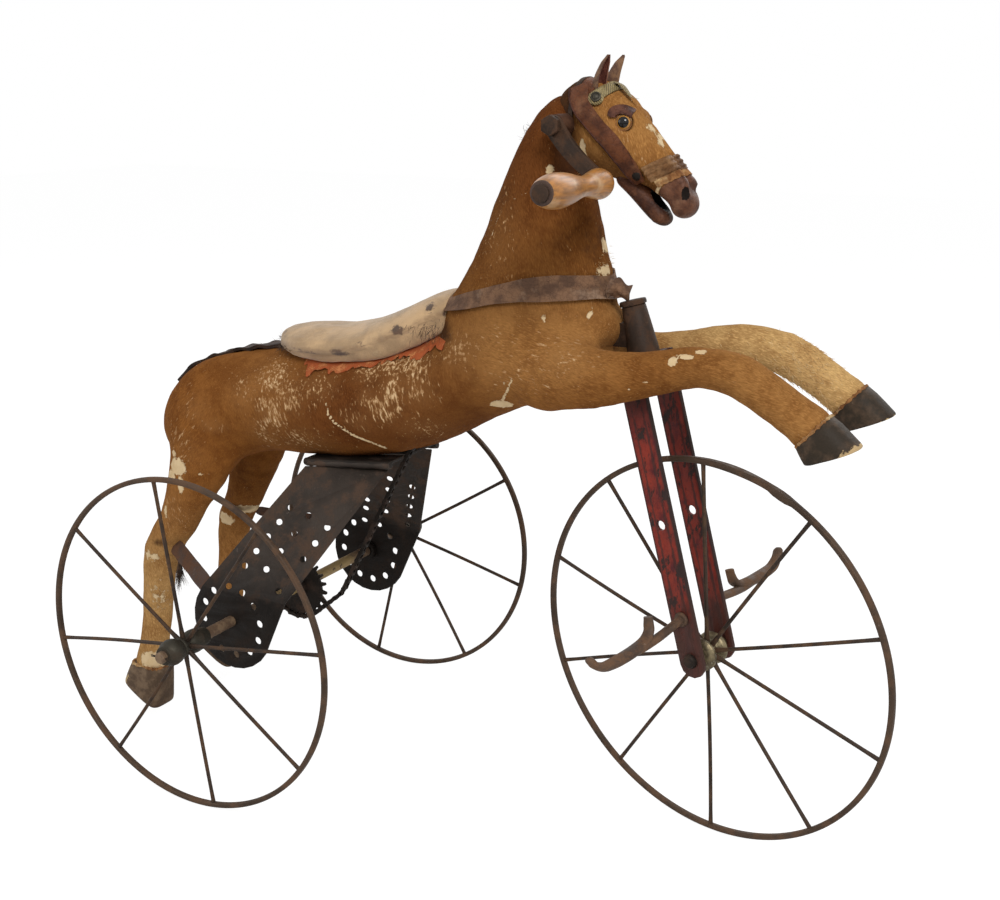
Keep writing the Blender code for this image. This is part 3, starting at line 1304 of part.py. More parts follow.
def front_wheel(frame):
    """Wheel frame of the fork: local X forward, local Y up the rake, local Z to the right."""
    place = frame @ Matrix.Rotation(math.pi / 2, 4, "X")
    lowest = math.atan2(-math.cos(STEER_RAKE), -math.cos(REST_STEER) * math.sin(STEER_RAKE))
    inside = rim("front_rim", FRONT_WHEEL_RADIUS, place, lowest + math.pi / RIM_STEPS)
    inner = BLADE_OFFSET - BLADE_THICKNESS / 2
    half = inner - 0.001
    profile = [(0.0, half), (0.010, half), (0.0105, half * 0.62), (0.0165, half * 0.52),
               (0.0175, half * 0.34), (0.012, half * 0.12), (0.012, -half * 0.12), (0.0175, -half * 0.34),
               (0.0165, -half * 0.52), (0.0105, -half * 0.62), (0.010, -half), (0.0, -half)]
    spoked_hub("front_hub", profile, FRONT_AXLE_RADIUS, inside, FRONT_SPOKES, FRONT_SPOKE_PHASE,
               place, brass())
    outside = BLADE_OFFSET + BLADE_THICKNESS / 2
    axle = rod("front_axle", place @ Vector((0, 0, -outside - 0.002)),
               place @ Vector((0, 0, outside + 0.002)), FRONT_AXLE_RADIUS, 12, rusty_iron())
    heads = []
    for side in (-1, 1):
        heads.append(rod(f"front_axle_head_{side}", place @ Vector((0, 0, side * (outside + GAP))),
                         place @ Vector((0, 0, side * (outside + 0.006))), 0.0095, 12, end_radius=0.007))
    join(axle, heads)


def pivot(name, place, parent=None):
    empty = bpy.data.objects.new(name, None)
    empty.empty_display_size = 0.03
    parts.objects.link(empty)
    empty.location = place
    attach(empty, parent)
    return empty


def attach(item, parent):
    """Parent that keeps the item where it stands."""
    if parent is not None:
        bpy.context.view_layer.update()
        item.parent = parent
        item.matrix_parent_inverse = parent.matrix_world.inverted()


def rig():
    """Empties on the joint axes, with the moving pieces under them."""
    frame = steer_frame()
    axle = pivot("rear_axle_pivot", (0, 0, REAR_AXLE_Z))
    wheel = pivot("right_rear_wheel_pivot", (0, -TRACK / 2, REAR_AXLE_Z), axle)
    crank_pivot = pivot("crank_pivot", (CRANK_X, 0, CRANK_Z))
    fork_pivot = pivot("fork_pivot", frame @ Vector((0, 0, FORK_LENGTH)))
    front = pivot("front_wheel_pivot", frame @ Vector((0, 0, 0)), fork_pivot)
    groups = {
        axle: ("rear_axle", "split_pin", "rear_sprocket", "left_rear_hub", "left_rear_rim"),
        wheel: ("right_rear_hub", "right_rear_rim"),
        crank_pivot: ("crank_axle", "crank_sprocket", "right_crank_arm", "left_crank_arm"),
        fork_pivot: ("fork_stem", "fork_top_nut", "right_fork_blade", "left_fork_blade",
                     "right_foot_rest", "left_foot_rest", "front_axle"),
        front: ("front_hub", "front_rim"),
    }
    for word, side, angle in (("right", -1, RIGHT_ARM_ANGLE), ("left", 1, LEFT_ARM_ANGLE)):
        pin = (CRANK_X + CRANK_ARM_LENGTH * math.cos(angle), side * (CRANK_ARM_Y + GRIP_LENGTH / 2),
               CRANK_Z + CRANK_ARM_LENGTH * math.sin(angle))
        groups[pivot(f"{word}_grip_pivot", pin, crank_pivot)] = (f"{word}_grip",)
    for parent, names in groups.items():
        for name in names:
            attach(parts.objects[name], parent)


def stand_on_origin():
    """Move everything, cutters too, until the origin is the middle of the box's base."""
    bpy.context.view_layer.update()
    graph = bpy.context.evaluated_depsgraph_get()
    corners = []
    for item in parts.objects:
        if item.type == "MESH":
            seen = item.evaluated_get(graph)
            corners.extend(item.matrix_world @ vert.co for vert in seen.data.vertices)
    low = [min(corner[k] for corner in corners) for k in range(3)]
    high = [max(corner[k] for corner in corners) for k in range(3)]
    shift = Vector((-(low[0] + high[0]) / 2, -(low[1] + high[1]) / 2, -low[2]))
    for item in list(parts.objects) + list(cutters.objects):
        if item.parent is None:
            item.location = item.location + shift


def build():
    global parts, cutters
    clear_scene()
    parts = new_collection("horse_tricycle")
    cutters = new_collection("cutters")
    horse()
    saddle()
    breast_collar()
    bridle()
    rear_frame()
    rear_wheels()
    rear_axle()
    drive_chain()
    crank()
    head_tube()
    fork()
    rig()
    stand_on_origin()


build()
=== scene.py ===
"""Looks of the hand-cranked horse tricycle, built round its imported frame.

The horse's pieces are laid out from the rear axle: x forward, y to the left, and the height
above the datum on which the horse stands on its plates.
"""
import json
import math

import bmesh
import bpy
import numpy as np
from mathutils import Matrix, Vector


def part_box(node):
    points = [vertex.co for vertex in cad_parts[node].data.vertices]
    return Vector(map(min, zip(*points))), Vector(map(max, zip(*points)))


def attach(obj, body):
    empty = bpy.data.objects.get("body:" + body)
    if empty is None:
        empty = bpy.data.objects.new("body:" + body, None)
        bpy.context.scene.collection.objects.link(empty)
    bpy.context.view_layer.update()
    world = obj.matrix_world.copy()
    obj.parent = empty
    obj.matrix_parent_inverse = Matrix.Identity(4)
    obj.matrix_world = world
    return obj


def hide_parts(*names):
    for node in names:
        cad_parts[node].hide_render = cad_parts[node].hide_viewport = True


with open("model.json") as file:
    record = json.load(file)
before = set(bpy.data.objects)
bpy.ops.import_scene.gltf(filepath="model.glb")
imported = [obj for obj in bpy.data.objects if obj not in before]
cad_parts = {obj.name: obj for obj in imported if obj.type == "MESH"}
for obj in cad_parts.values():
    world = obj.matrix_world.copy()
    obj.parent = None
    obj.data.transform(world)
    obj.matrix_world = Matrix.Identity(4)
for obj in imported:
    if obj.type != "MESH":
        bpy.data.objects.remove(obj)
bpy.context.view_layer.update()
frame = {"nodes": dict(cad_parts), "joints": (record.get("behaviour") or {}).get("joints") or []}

bl_info = {
    "name": "Horse Tricycle",
    "version": (1, 0, 0),
    "blender": (4, 5, 0),
    "location": "View3D > Sidebar > Horse Tricycle",
    "description": "Builds the visible pieces and finishes of a hand-cranked horse tricycle",
    "category": "Object",
}

JOINTS = {joint["name"]: joint for joint in frame["joints"]}


def joint_place(name):
    """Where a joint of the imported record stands."""
    return np.array(JOINTS[name]["pos_m"], float)


def joint_axis(name):
    """Unit direction of a joint's axis."""
    axis = np.array(JOINTS[name]["axis"], float)
    return axis / np.linalg.norm(axis)


AXLE = joint_place("rear_axle_spin")
CRANK = joint_place("crank_spin")
WHEEL = joint_place("front_wheel_spin")
STEER_UP = joint_axis("fork_steer")
STEER_LEFT = joint_axis("front_wheel_spin")
STEER_AHEAD = np.cross(STEER_LEFT, STEER_UP)
CRANK_HEIGHT = 0.4267
DATUM = np.array((AXLE[0], 0.0, CRANK[2] - CRANK_HEIGHT))
CRANK_X = CRANK[0] - AXLE[0]
REAR_TRACK = 0.504
REAR_RADIUS = 0.219
FRONT_RADIUS = 0.2428
SIDES = (("right", -1), ("left", 1))

# Right flat stay: its end at the hock, its end at the side plate, and the way across it
STAY_TOP = np.array((-0.1570, -0.0885, -0.1540))
STAY_FOOT = np.array((-0.0400, -0.1545, -0.1750))
STAY_ACROSS = np.array((0.42, 0.48, 0.77))
# Height of the fork's blades over the front axle, along the steering axis
FORK_RISE = 0.3655

# Camera of the photograph
CAMERA_PLACE = (0.8307, -1.4547, 0.9171)
CAMERA_YAW = math.radians(-28.97)
CAMERA_PITCH = math.radians(-15.54)
CAMERA_LENS = 49.43

# The torso: x, top, underside and half width, heights over the datum
TORSO = (
    (-0.2165, 0.003, -0.001, 0.002),
    (-0.216, 0.012, -0.010, 0.012),
    (-0.211, 0.033, -0.028, 0.030),
    (-0.198, 0.057, -0.042, 0.050),
    (-0.178, 0.077, -0.047, 0.064),
    (-0.146, 0.095, -0.041, 0.077),
    (-0.100, 0.110, -0.030, 0.085),
    (-0.040, 0.123, -0.019, 0.087),
    (0.030, 0.130, -0.014, 0.087),
    (0.110, 0.137, -0.008, 0.085),
    (0.180, 0.150, 0.006, 0.083),
    (0.240, 0.173, 0.030, 0.080),
    (0.300, 0.202, 0.062, 0.078),
    (0.360, 0.215, 0.090, 0.077),
    (0.410, 0.210, 0.101, 0.072),
    (0.440, 0.197, 0.112, 0.060),
    (0.456, 0.176, 0.130, 0.037),
    (0.4605, 0.159, 0.148, 0.007),
)
# The neck: x, height, half depth, half width and the section's tilt
NECK = (
    (0.352, 0.150, 0.114, 0.070, 0),
    (0.352, 0.195, 0.115, 0.071, 0),
    (0.364, 0.240, 0.098, 0.066, 3),
    (0.371, 0.294, 0.077, 0.056, 3),
    (0.376, 0.337, 0.063, 0.049, 2),
    (0.382, 0.381, 0.0475, 0.043, 1),
    (0.391, 0.414, 0.036, 0.039, -6),
    (0.410, 0.440, 0.022, 0.031, -18),
    (0.414, 0.447, 0.006, 0.010, -18),
)
# Legs, head and jaw: x, distance from the middle, height, half depth and half width
HIND_LEG = (
    (-0.098, 0.038, 0.040, 0.056, 0.034),
    (-0.117, 0.057, -0.012, 0.051, 0.036),
    (-0.137, 0.067, -0.069, 0.036, 0.033),
    (-0.162, 0.073, -0.125, 0.0265, 0.027),
    (-0.189, 0.079, -0.168, 0.0255, 0.024),
    (-0.198, 0.081, -0.220, 0.0225, 0.021),
    (-0.206, 0.081, -0.275, 0.0215, 0.020),
    (-0.214, 0.081, -0.316, 0.022, 0.020),
    (-0.219, 0.081, -0.344, 0.025, 0.0235),
)
FORE_LEG = (
    (0.405, 0.046, 0.140, 0.042, 0.034),
    (0.450, 0.061, 0.146, 0.038, 0.030),
    (0.490, 0.068, 0.1494, 0.0318, 0.026),
    (0.542, 0.070, 0.1599, 0.0253, 0.0215),
    (0.598, 0.070, 0.174, 0.0225, 0.021),
    (0.648, 0.070, 0.168, 0.0245, 0.0215),
    (0.701, 0.070, 0.1380, 0.0235, 0.0205),
    (0.726, 0.070, 0.1215, 0.0245, 0.021),
)
HEAD = (
    (0.414, 0, 0.443, 0.022, 0.025),
    (0.431, 0, 0.441, 0.0355, 0.034),
    (0.453, 0, 0.422, 0.045, 0.039),
    (0.477, 0, 0.402, 0.037, 0.038),
    (0.500, 0, 0.387, 0.0255, 0.031),
    (0.521, 0, 0.372, 0.0185, 0.0245),
    (0.539, 0, 0.354, 0.0158, 0.0205),
    (0.548, 0, 0.343, 0.0150, 0.0190),
)
JAW = (
    (0.480, 0, 0.368, 0.0125, 0.020),
    (0.493, 0, 0.356, 0.0120, 0.0185),
    (0.510, 0, 0.340, 0.0128, 0.0165),
    (0.520, 0, 0.3290, 0.0112, 0.0160),
    (0.5255, 0, 0.3245, 0.0085, 0.0145),
)
# The left foreleg sits this much higher than the right
FAR_LIFT = 0.0042
# Flat bridge of the nose, given for one side
BRIDGE = (
    (0.5000, 0.0100, 0.4175, 0.0070, 0.0090),
    (0.5128, 0.0105, 0.4040, 0.0074, 0.0090),
    (0.5235, 0.0105, 0.3915, 0.0078, 0.0085),
    (0.5345, 0.0105, 0.3775, 0.0080, 0.0085),
    (0.5480, 0.0100, 0.3650, 0.0080, 0.0085),
)
FACE_HAIR = (0.345, 0.162, 0.047)
FACE_SHADOW = np.array((0.110, 0.044, 0.012))
EYE = (0.4850, 0.0270, 0.4295)
EYE_RADIUS = 0.0092
# Hoof: x, height, half length, half width and tilt of the top and of the sole
FORE_SPREAD = 0.070
HIND_SPREAD = 0.081
FORE_HOOF = ((0.7307, 0.1180, 0.0255, 0.0225, 48), (0.7535, 0.0950, 0.0320, 0.0260, 23))
HIND_HOOF = ((-0.2215, -0.3480, 0.0262, 0.0232, -4), (-0.2325, -0.3945, 0.0352, 0.0272, -32))

HIDE_STEP = 0.0036
HEAD_STEP = 0.0015


# Sizes and colours
def size_field(name, default, text):
    """A length that the user can change."""
    return bpy.props.FloatProperty(name=name, default=default, description=text, unit="LENGTH",
                                   min=0.0001, precision=4)


def colour_field(name, default, text):
    """A colour that the user can change."""
    return bpy.props.FloatVectorProperty(name=name, default=default, description=text,
                                         subtype="COLOR", size=3, min=0.0, max=1.0)


class TricycleSizes(bpy.types.PropertyGroup):
    """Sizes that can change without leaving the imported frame."""

    spoke_radius: size_field("Spoke radius", 0.0024, "Radius of the wheel spokes")
    strap_thickness: size_field("Strap thickness", 0.0020, "Thickness of the bridle's leather")
    saddle_edge: size_field("Saddle edge", 0.0075, "Thickness of the saddle's edge")
    hair_length: size_field("Hair length", 0.011, "Length of the loose hairs at the saddle")


class TricycleColours(bpy.types.PropertyGroup):
    """Main colours of the finishes. The coat runs from dark bay to straw in five steps."""

    dark_bay: colour_field("Dark bay", (0.125, 0.040, 0.010), "Darkest hair, on the barrel")
    bay: colour_field("Bay", (0.160, 0.060, 0.014), "Dark brown hair")
    chestnut: colour_field("Chestnut", (0.225, 0.083, 0.018), "Red brown hair")
    tan: colour_field("Tan", (0.320, 0.150, 0.045), "Light brown hair")
    straw: colour_field("Straw", (0.560, 0.350, 0.140), "Palest hair, on the left foreleg")
    worn: colour_field("Worn hair", (0.62, 0.43, 0.24), "Hair rubbed down to pale streaks")
    iron: colour_field("Iron", (0.041, 0.030, 0.023), "Dark rusty iron of the plates")
    rust: colour_field("Rust", (0.120, 0.068, 0.040), "Rust on the iron")
    paint: colour_field("Paint", (0.190, 0.019, 0.011), "Red paint of the fork")
    brass: colour_field("Brass", (0.230, 0.185, 0.105), "Dull brass of the front hub")
    wood: colour_field("Wood", (0.430, 0.175, 0.032), "Varnished wood of the grips")
    suede: colour_field("Suede", (0.560, 0.370, 0.200), "Suede of the saddle")
    cloth: colour_field("Cloth", (0.430, 0.110, 0.040), "Cloth under the saddle")
    leather: colour_field("Leather", (0.125, 0.041, 0.016), "Leather of the bridle")
    braid: colour_field("Braid", (0.290, 0.215, 0.090), "Woven band on the brow")


def sizes():
    """The user's sizes."""
    return bpy.context.scene.tricycle_sizes


def colours():
    """The user's colours."""
    return bpy.context.scene.tricycle_colours


# Shader nodes
class Wire:
    """A shader value that takes part in Python sums. Each operator adds its Math node."""

    def __init__(self, finish, socket):
        self.finish = finish
        self.socket = socket

    def math(self, operation, first, second=0.0):
        """One Math node."""
        settings = {"operation": operation}
        return self.finish.node("ShaderNodeMath", settings, {0: first, 1: second})

    def __add__(self, other):
        return self.math("ADD", self, other)

    __radd__ = __add__

    def __sub__(self, other):
        return self.math("SUBTRACT", self, other)

    def __rsub__(self, other):
        return self.math("SUBTRACT", other, self)

    def __mul__(self, other):
        return self.math("MULTIPLY", self, other)

    __rmul__ = __mul__

    def __abs__(self):
        return self.math("ABSOLUTE", self)

    def larger(self, other):
        """The larger of two values."""
        return self.math("MAXIMUM", self, other)

    def step(self, low, high):
        """Smooth rise from 0 at low to 1 at high. High may lie under low."""
        return self.finish.node("ShaderNodeMapRange", {"interpolation_type": "SMOOTHSTEP"},
                                {"Value": self, "From Min": low, "From Max": high})


class Finish:
    """One Principled material, with short calls that add its nodes."""

    def __init__(self, name, **constants):
        self.material = bpy.data.materials.new(name)
        self.material.use_nodes = True
        self.tree = self.material.node_tree
        self.shader = self.tree.nodes["Principled BSDF"]
        for word, value in constants.items():
            self.feed(self.shader.inputs[word.replace("_", " ")], value)
        self.place = Wire(self, self.tree.nodes.new("ShaderNodeTexCoord").outputs["Object"])

    def feed(self, socket, value):
        """Link a wire to a socket, or store a plain value there."""
        if isinstance(value, Wire):
            self.tree.links.new(value.socket, socket)
        else:
            socket.default_value = value

    def node(self, kind, settings=None, inputs=None, output=0):
        """Any node: its settings first, then its inputs. Gives one of its outputs."""
        made = self.tree.nodes.new(kind)
        for word, value in (settings or {}).items():
            setattr(made, word, value)
        for word, value in (inputs or {}).items():
            self.feed(made.inputs[word], value)
        return Wire(self, made.outputs[output])

    def mapped(self, scale, turn=(0, 0, 0)):
        """Coordinates turned back and then stretched."""
        settled = self.node("ShaderNodeMapping", {"vector_type": "TEXTURE"},
                            {"Vector": self.place, "Rotation": turn})
        return self.node("ShaderNodeMapping", {"vector_type": "POINT"},
                         {"Vector": settled, "Scale": scale})

    def noise(self, scale, detail=4.0, rough=0.55, source=None, warp=0.0):
        """Noise in object space, or along other coordinates."""
        return self.node("ShaderNodeTexNoise", None,
                         {"Vector": source or self.place, "Scale": scale, "Detail": detail,
                          "Roughness": rough, "Distortion": warp})

    def cells(self, scale, feature="F1"):
        """Distances in a pattern of cells: to the nearest middle, or to the nearest edge."""
        return self.node("ShaderNodeTexVoronoi", {"feature": feature},
                         {"Vector": self.place, "Scale": scale})

    def axis(self, letter):
        """One coordinate as a value."""
        return self.node("ShaderNodeSeparateXYZ", None, {0: self.place}, "XYZ".index(letter))

    def mark(self, name):
        """A value that the mesh stores at its points."""
        return self.node("ShaderNodeAttribute", {"attribute_name": name}, None, 2)

    def tint(self, name):
        """A colour that the mesh stores at its points."""
        return self.node("ShaderNodeAttribute", {"attribute_name": name}, None, 0)

    def mix(self, part, first, second, how="MIX"):
        """Colour mix. Plain colours may be given as three numbers."""
        ends = [value if isinstance(value, Wire) else (*value, 1.0) for value in (first, second)]
        return self.node("ShaderNodeMix", {"data_type": "RGBA", "blend_type": how},
                         {0: part, 6: ends[0], 7: ends[1]}, 2)

    def bump(self, height, distance):
        """Relief whose height of 1 stands for the distance in metres."""
        normal = self.node("ShaderNodeBump", None,
                           {"Height": height, "Distance": distance, "Strength": 1.0})
        self.feed(self.shader.inputs["Normal"], normal)

    def set(self, **values):
        """Feed the shader's sockets and give the material."""
        for word, value in values.items():
            if not isinstance(value, (Wire, float, int)):
                value = (*value, 1.0)
            self.feed(self.shader.inputs[word.replace("_", " ")], value)
        return self.material


FINISHES = {}


def finish(build, *args):
    """Each finish is made once."""
    key = (build.__name__, *args)
    if key not in FINISHES:
        FINISHES[key] = build(*args)
    return FINISHES[key]


# Angles of the hair's run in the XZ plane: rump, barrel with neck and thighs, chest with forelegs
HAIR_ANGLES = (52, 108, 168)


def shade(colour, factor):
    """A colour made darker or lighter."""
    return tuple(min(channel * factor, 1.0) for channel in colour)


def hide_hair():
    """Short hair: streaks along the hair's run, pale flecks where worn, bare cream where gone."""
    made = Finish("short_hair_hide", Specular_IOR_Level=0.04)
    part = made.tint("flow")
    weights = [made.node("ShaderNodeSeparateColor", None, {0: part}, k) for k in range(3)]

    def stream(along, across, detail):
        total = 0.0
        for weight, angle in zip(weights, HAIR_ANGLES):
            place = made.mapped((along, across, across), (0, -math.radians(angle), 0))
            total = weight * made.noise(1.0, detail, 0.6, place) + total
        return total

    fine = stream(160, 800, 3)
    flecks = stream(85, 300, 4)
    cloud = made.noise(24, 4, 0.6)
    blot = made.noise(75, 4, 0.6)
    coat = made.tint("coat")
    worn = made.mark("worn")
    light = tuple(colours().worn)

    def toned(factors):
        return made.mix(1.0, coat, factors, "MULTIPLY")

    colour = made.mix((cloud * 0.6 + blot * 0.4).step(0.40, 0.64), coat, toned((0.66, 0.58, 0.52)))
    colour = made.mix(fine.step(0.50, 0.66) * 0.6, colour, toned((1.40, 1.42, 1.46)))
    colour = made.mix(fine.step(0.48, 0.34) * 0.5, colour, toned((0.55, 0.46, 0.40)))
    colour = made.mix(worn * (blot * 0.55 + 0.05), colour, (0.300, 0.150, 0.058))
    spread = flecks + worn * 0.22 + (blot - 0.5) * 0.30 + (cloud - 0.5) * 0.20
    colour = made.mix(spread.step(0.67, 0.73) * 0.70, colour, (0.440, 0.250, 0.110))
    colour = made.mix((spread * 0.8 + fine * 0.2).step(0.715, 0.755) * 0.9, colour, shade(light, 1.05))
    # Bare cream hide; on the head the same mark also lays the painted highlight along the ridge of the nose
    bare = (made.mark("bare") + (made.noise(150, 4, 0.7) - 0.5) * 1.1).step(0.50, 0.62)
    colour = made.mix(bare, colour, made.mix(blot, (0.55, 0.36, 0.17), (0.76, 0.61, 0.39)))
    # Dark dirt and painted shade: under the saddle's edges, under the head, along the belly, in the creases
    # where parts meet and at the back of the head
    grime = (made.mark("grime") + (made.noise(80, 4, 0.6) - 0.5) * 0.9).step(0.25, 0.95)
    colour = made.mix(grime * 0.85, colour, (0.040, 0.018, 0.010))
    made.bump(fine * 0.5 + flecks * 0.5 + blot * 0.4 - bare * 0.5, 0.0012)
    return made.set(Base_Color=colour, Roughness=0.88 - bare * 0.15)


# Leathers: finish, base colour or the name of a user's colour, dark, light and gloss
LEATHERS = {
    "muzzle": ("dark_muzzle_leather", (0.135, 0.054, 0.028), (0.060, 0.022, 0.012),
               (0.21, 0.105, 0.06), 0.42),
    "jaw": ("dark_jaw_leather", (0.090, 0.030, 0.013), (0.042, 0.014, 0.007),
            (0.15, 0.06, 0.028), 0.45),
    "bridle": ("brown_bridle_leather", "leather", (0.062, 0.020, 0.009),
               (0.20, 0.085, 0.038), 0.45),
    "collar": ("mauve_collar_leather", (0.190, 0.100, 0.054), (0.095, 0.050, 0.030),
               (0.31, 0.205, 0.135), 0.60),
    "strip": ("black_croup_leather", (0.045, 0.025, 0.016), (0.018, 0.011, 0.008),
              (0.135, 0.075, 0.042), 0.62),
    "brow": ("ragged_brow_leather", (0.072, 0.024, 0.014), (0.030, 0.010, 0.007),
             (0.15, 0.06, 0.035), 0.55),
    "pleat": ("pleated_band_leather", (0.155, 0.070, 0.025), (0.075, 0.031, 0.011),
              (0.28, 0.155, 0.07), 0.55),
    "edge": ("torn_hide_edge", (0.330, 0.155, 0.055), (0.150, 0.058, 0.020),
             (0.62, 0.44, 0.22), 0.8),
}
# Irons: finish, base, rust, rubbed colour, rustiness, metallic, and the heights between which it darkens
IRONS = {
    "plate": ("dark_plate_iron", "iron", (0.078, 0.046, 0.030),
              (0.17, 0.13, 0.11), 0.35, 0.3, 0.305, 0.245),
    "rim": ("rusty_rim_iron", (0.080, 0.052, 0.035), "rust",
            (0.24, 0.19, 0.15), 0.45, 0.4),
    "hub": ("dark_hub_iron", (0.052, 0.046, 0.035), (0.060, 0.042, 0.028),
            (0.19, 0.17, 0.14), 0.2, 0.7),
    "spoke": ("dark_spoke_iron", (0.050, 0.034, 0.025), (0.10, 0.055, 0.03),
              (0.16, 0.12, 0.09), 0.5, 0.4),
    "black": ("black_iron", (0.026, 0.020, 0.016), (0.050, 0.030, 0.021),
              (0.15, 0.11, 0.09), 0.25, 0.5),
    "tube": ("brown_socket_iron", (0.039, 0.023, 0.015), (0.075, 0.038, 0.021),
             (0.14, 0.09, 0.055), 0.5, 0.2),
    "rest": ("brown_forged_iron", (0.115, 0.074, 0.052), (0.165, 0.090, 0.050),
             (0.32, 0.25, 0.19), 0.6, 0.2),
    "stay": ("brown_stay_iron", (0.062, 0.031, 0.019), (0.105, 0.048, 0.025),
             (0.16, 0.10, 0.06), 0.5, 0.1),
    "roll": ("rubbed_roll_iron", (0.050, 0.038, 0.030), (0.075, 0.045, 0.030),
             (0.20, 0.16, 0.13), 0.4, 0.3),
    "bush": ("red_brown_bush_iron", (0.062, 0.027, 0.015), (0.090, 0.040, 0.021),
             (0.16, 0.09, 0.06), 0.4, 0.1),
}


def picked(colour):
    """A colour given as three numbers or by the name of a user's colour."""
    return tuple(getattr(colours(), colour)) if isinstance(colour, str) else colour


def leather(kind):
    """Old leather: fine grain, cracks, rubbed high spots and darker stains."""
    name, base, dark, light, gloss = LEATHERS[kind]
    made = Finish(name, Specular_IOR_Level=0.16)
    cloud = made.noise(55, 5, 0.6)
    grain = made.cells(900)
    crack = made.cells(160, "DISTANCE_TO_EDGE").step(0.05, 0.0)
    colour = made.mix(cloud.step(0.38, 0.62), picked(base), dark)
    colour = made.mix(made.noise(21, 4, 0.7).step(0.52, 0.70) * 0.8, colour, light)
    colour = made.mix(crack * 0.35, colour, shade(dark, 0.5))
    made.bump(grain * 0.35 + cloud * 0.8 - crack * 0.3, 0.0007)
    return made.set(Base_Color=colour, Roughness=cloud * 0.3 + (gloss - 0.12))


def iron(kind):
    """Old iron: mottled scale, rust in patches, pale rubbed places, and a shadow low down."""
    name, base, rust, light, rustiness, metallic, *heights = IRONS[kind]
    base = picked(base)
    made = Finish(name, Specular_IOR_Level=0.18)
    cloud = made.noise(38, 5, 0.62)
    fine = made.noise(420, 4, 0.6)
    patch = (cloud + fine * 0.25).step(0.66 - 0.22 * rustiness, 0.86 - 0.22 * rustiness)
    colour = made.mix(made.noise(13, 3, 0.6).step(0.35, 0.7), base, shade(base, 0.62))
    colour = made.mix(patch * 0.85, colour, picked(rust))
    rub = (made.noise(90, 5, 0.7) + fine * 0.2).step(0.74, 0.86)
    colour = made.mix(rub * 0.6, colour, light)
    if heights:
        shadow = (made.axis("Z") + (cloud - 0.5) * 0.06).step(*heights)
        colour = made.mix(shadow * 0.85, colour, shade(base, 0.16))
    made.bump(fine * 0.5 + cloud * 0.7, 0.0008)
    return made.set(Base_Color=colour, Metallic=metallic * (1 - patch * 0.75),
                    Roughness=0.46 + patch * 0.3 + fine * 0.12)


def axle_iron():
    """Round bar with a rubbed, ochre stretch in its middle and dark scale patches."""
    made = Finish("worn_axle_iron", Specular_IOR_Level=0.4)
    across = made.axis("Y")
    patch = made.noise(60, 5, 0.7)
    middle = (abs(across) + (patch - 0.5) * 0.05).step(0.125, 0.095)
    scale_marks = patch.step(0.56, 0.62)
    ochre = made.mix(scale_marks, (0.36, 0.25, 0.11), (0.075, 0.05, 0.032))
    brown = made.mix(patch.step(0.45, 0.6), (0.115, 0.07, 0.042), (0.2, 0.13, 0.075))
    made.bump(patch, 0.0008)
    return made.set(Base_Color=made.mix(middle, brown, ochre), Metallic=0.2, Roughness=0.6)


def fork_paint():
    """Red paint on the blades, worn black at the edges, with two dark lines down each side."""
    made = Finish("worn_red_paint", Specular_IOR_Level=0.22)
    forward = made.mark("forward")
    along = made.mark("along")
    chip = made.noise(1.0, 6, 0.70, made.mapped((95, 95, 38)))
    fine = made.noise(340, 3, 0.6)
    wide = made.noise(26, 4, 0.6)
    edge = (abs(forward) + (chip - 0.5) * 0.5).step(0.74, 0.98)
    lines = (abs(abs(forward) - 0.45) + (chip - 0.5) * 0.5).step(0.11, 0.05)
    chips = (chip * 0.8 + wide * 0.45).step(0.66, 0.72)
    foot = (along + (chip - 0.5) * 0.35).step(0.27, 0.08)
    crown = (along + (chip - 0.5) * 0.20).step(0.74, 0.92) * 0.85
    paint = made.mix(wide.step(0.40, 0.60), tuple(colours().paint), (0.070, 0.009, 0.011))
    paint = made.mix((chip + fine * 0.2).step(0.46, 0.62) * 0.5, paint, (0.270, 0.034, 0.016))
    black = made.mix(fine, (0.012, 0.008, 0.008), (0.045, 0.022, 0.018))
    gone = edge.larger(lines * 0.7).larger(chips).larger(crown)
    colour = made.mix(gone, paint, black)
    colour = made.mix(foot * 0.9, colour, made.mix(chip, (0.022, 0.011, 0.009), (0.085, 0.030, 0.020)))
    made.bump(fine * 0.3 + chip * 0.3 - gone * 0.6, 0.0007)
    return made.set(Base_Color=colour, Roughness=0.36 + gone * 0.2 + fine * 0.1)


def hub_brass():
    """Dull brass with dark clouds, pits and rubbed places."""
    made = Finish("dull_brass", Metallic=0.75)
    cloud = made.noise(85, 5, 0.65)
    pit = made.noise(500, 3, 0.6)
    colour = made.mix(cloud.step(0.36, 0.66), tuple(colours().brass), (0.085, 0.065, 0.040))
    colour = made.mix((cloud + pit * 0.2).step(0.70, 0.80) * 0.7, colour, (0.36, 0.33, 0.23))
    made.bump(pit * 0.6 + cloud, 0.0005)
    return made.set(Base_Color=colour, Roughness=0.34 + cloud * 0.2)


def grip_wood():
    """Varnished turned wood: long grain, amber mottling, and a dark worn end."""
    made = Finish("varnished_grip_wood", Specular_IOR_Level=0.5, Coat_Roughness=0.12)
    grain = made.noise(1.0, 4, 0.6, made.mapped((260, 22, 260)), 0.4)
    cloud = made.noise(34, 4, 0.6)
    colour = made.mix(grain.step(0.35, 0.7), tuple(colours().wood), shade(colours().wood, 0.52))
    colour = made.mix(cloud.step(0.52, 0.68) * 0.7, colour, (0.52, 0.33, 0.17))
    colour = made.mix(made.noise(70, 4, 0.6).step(0.66, 0.72), colour, (0.10, 0.04, 0.018))
    end = made.mark("end")
    dark_end = made.mix(made.noise(240, 4, 0.7), (0.018, 0.010, 0.007), (0.095, 0.05, 0.032))
    made.bump(grain * 0.4 + cloud * 0.4, 0.0004)
    return made.set(Base_Color=made.mix(end, colour, dark_end), Coat_Weight=0.25 * (1 - end),
                    Roughness=0.34 + end * 0.4 + cloud * 0.1)


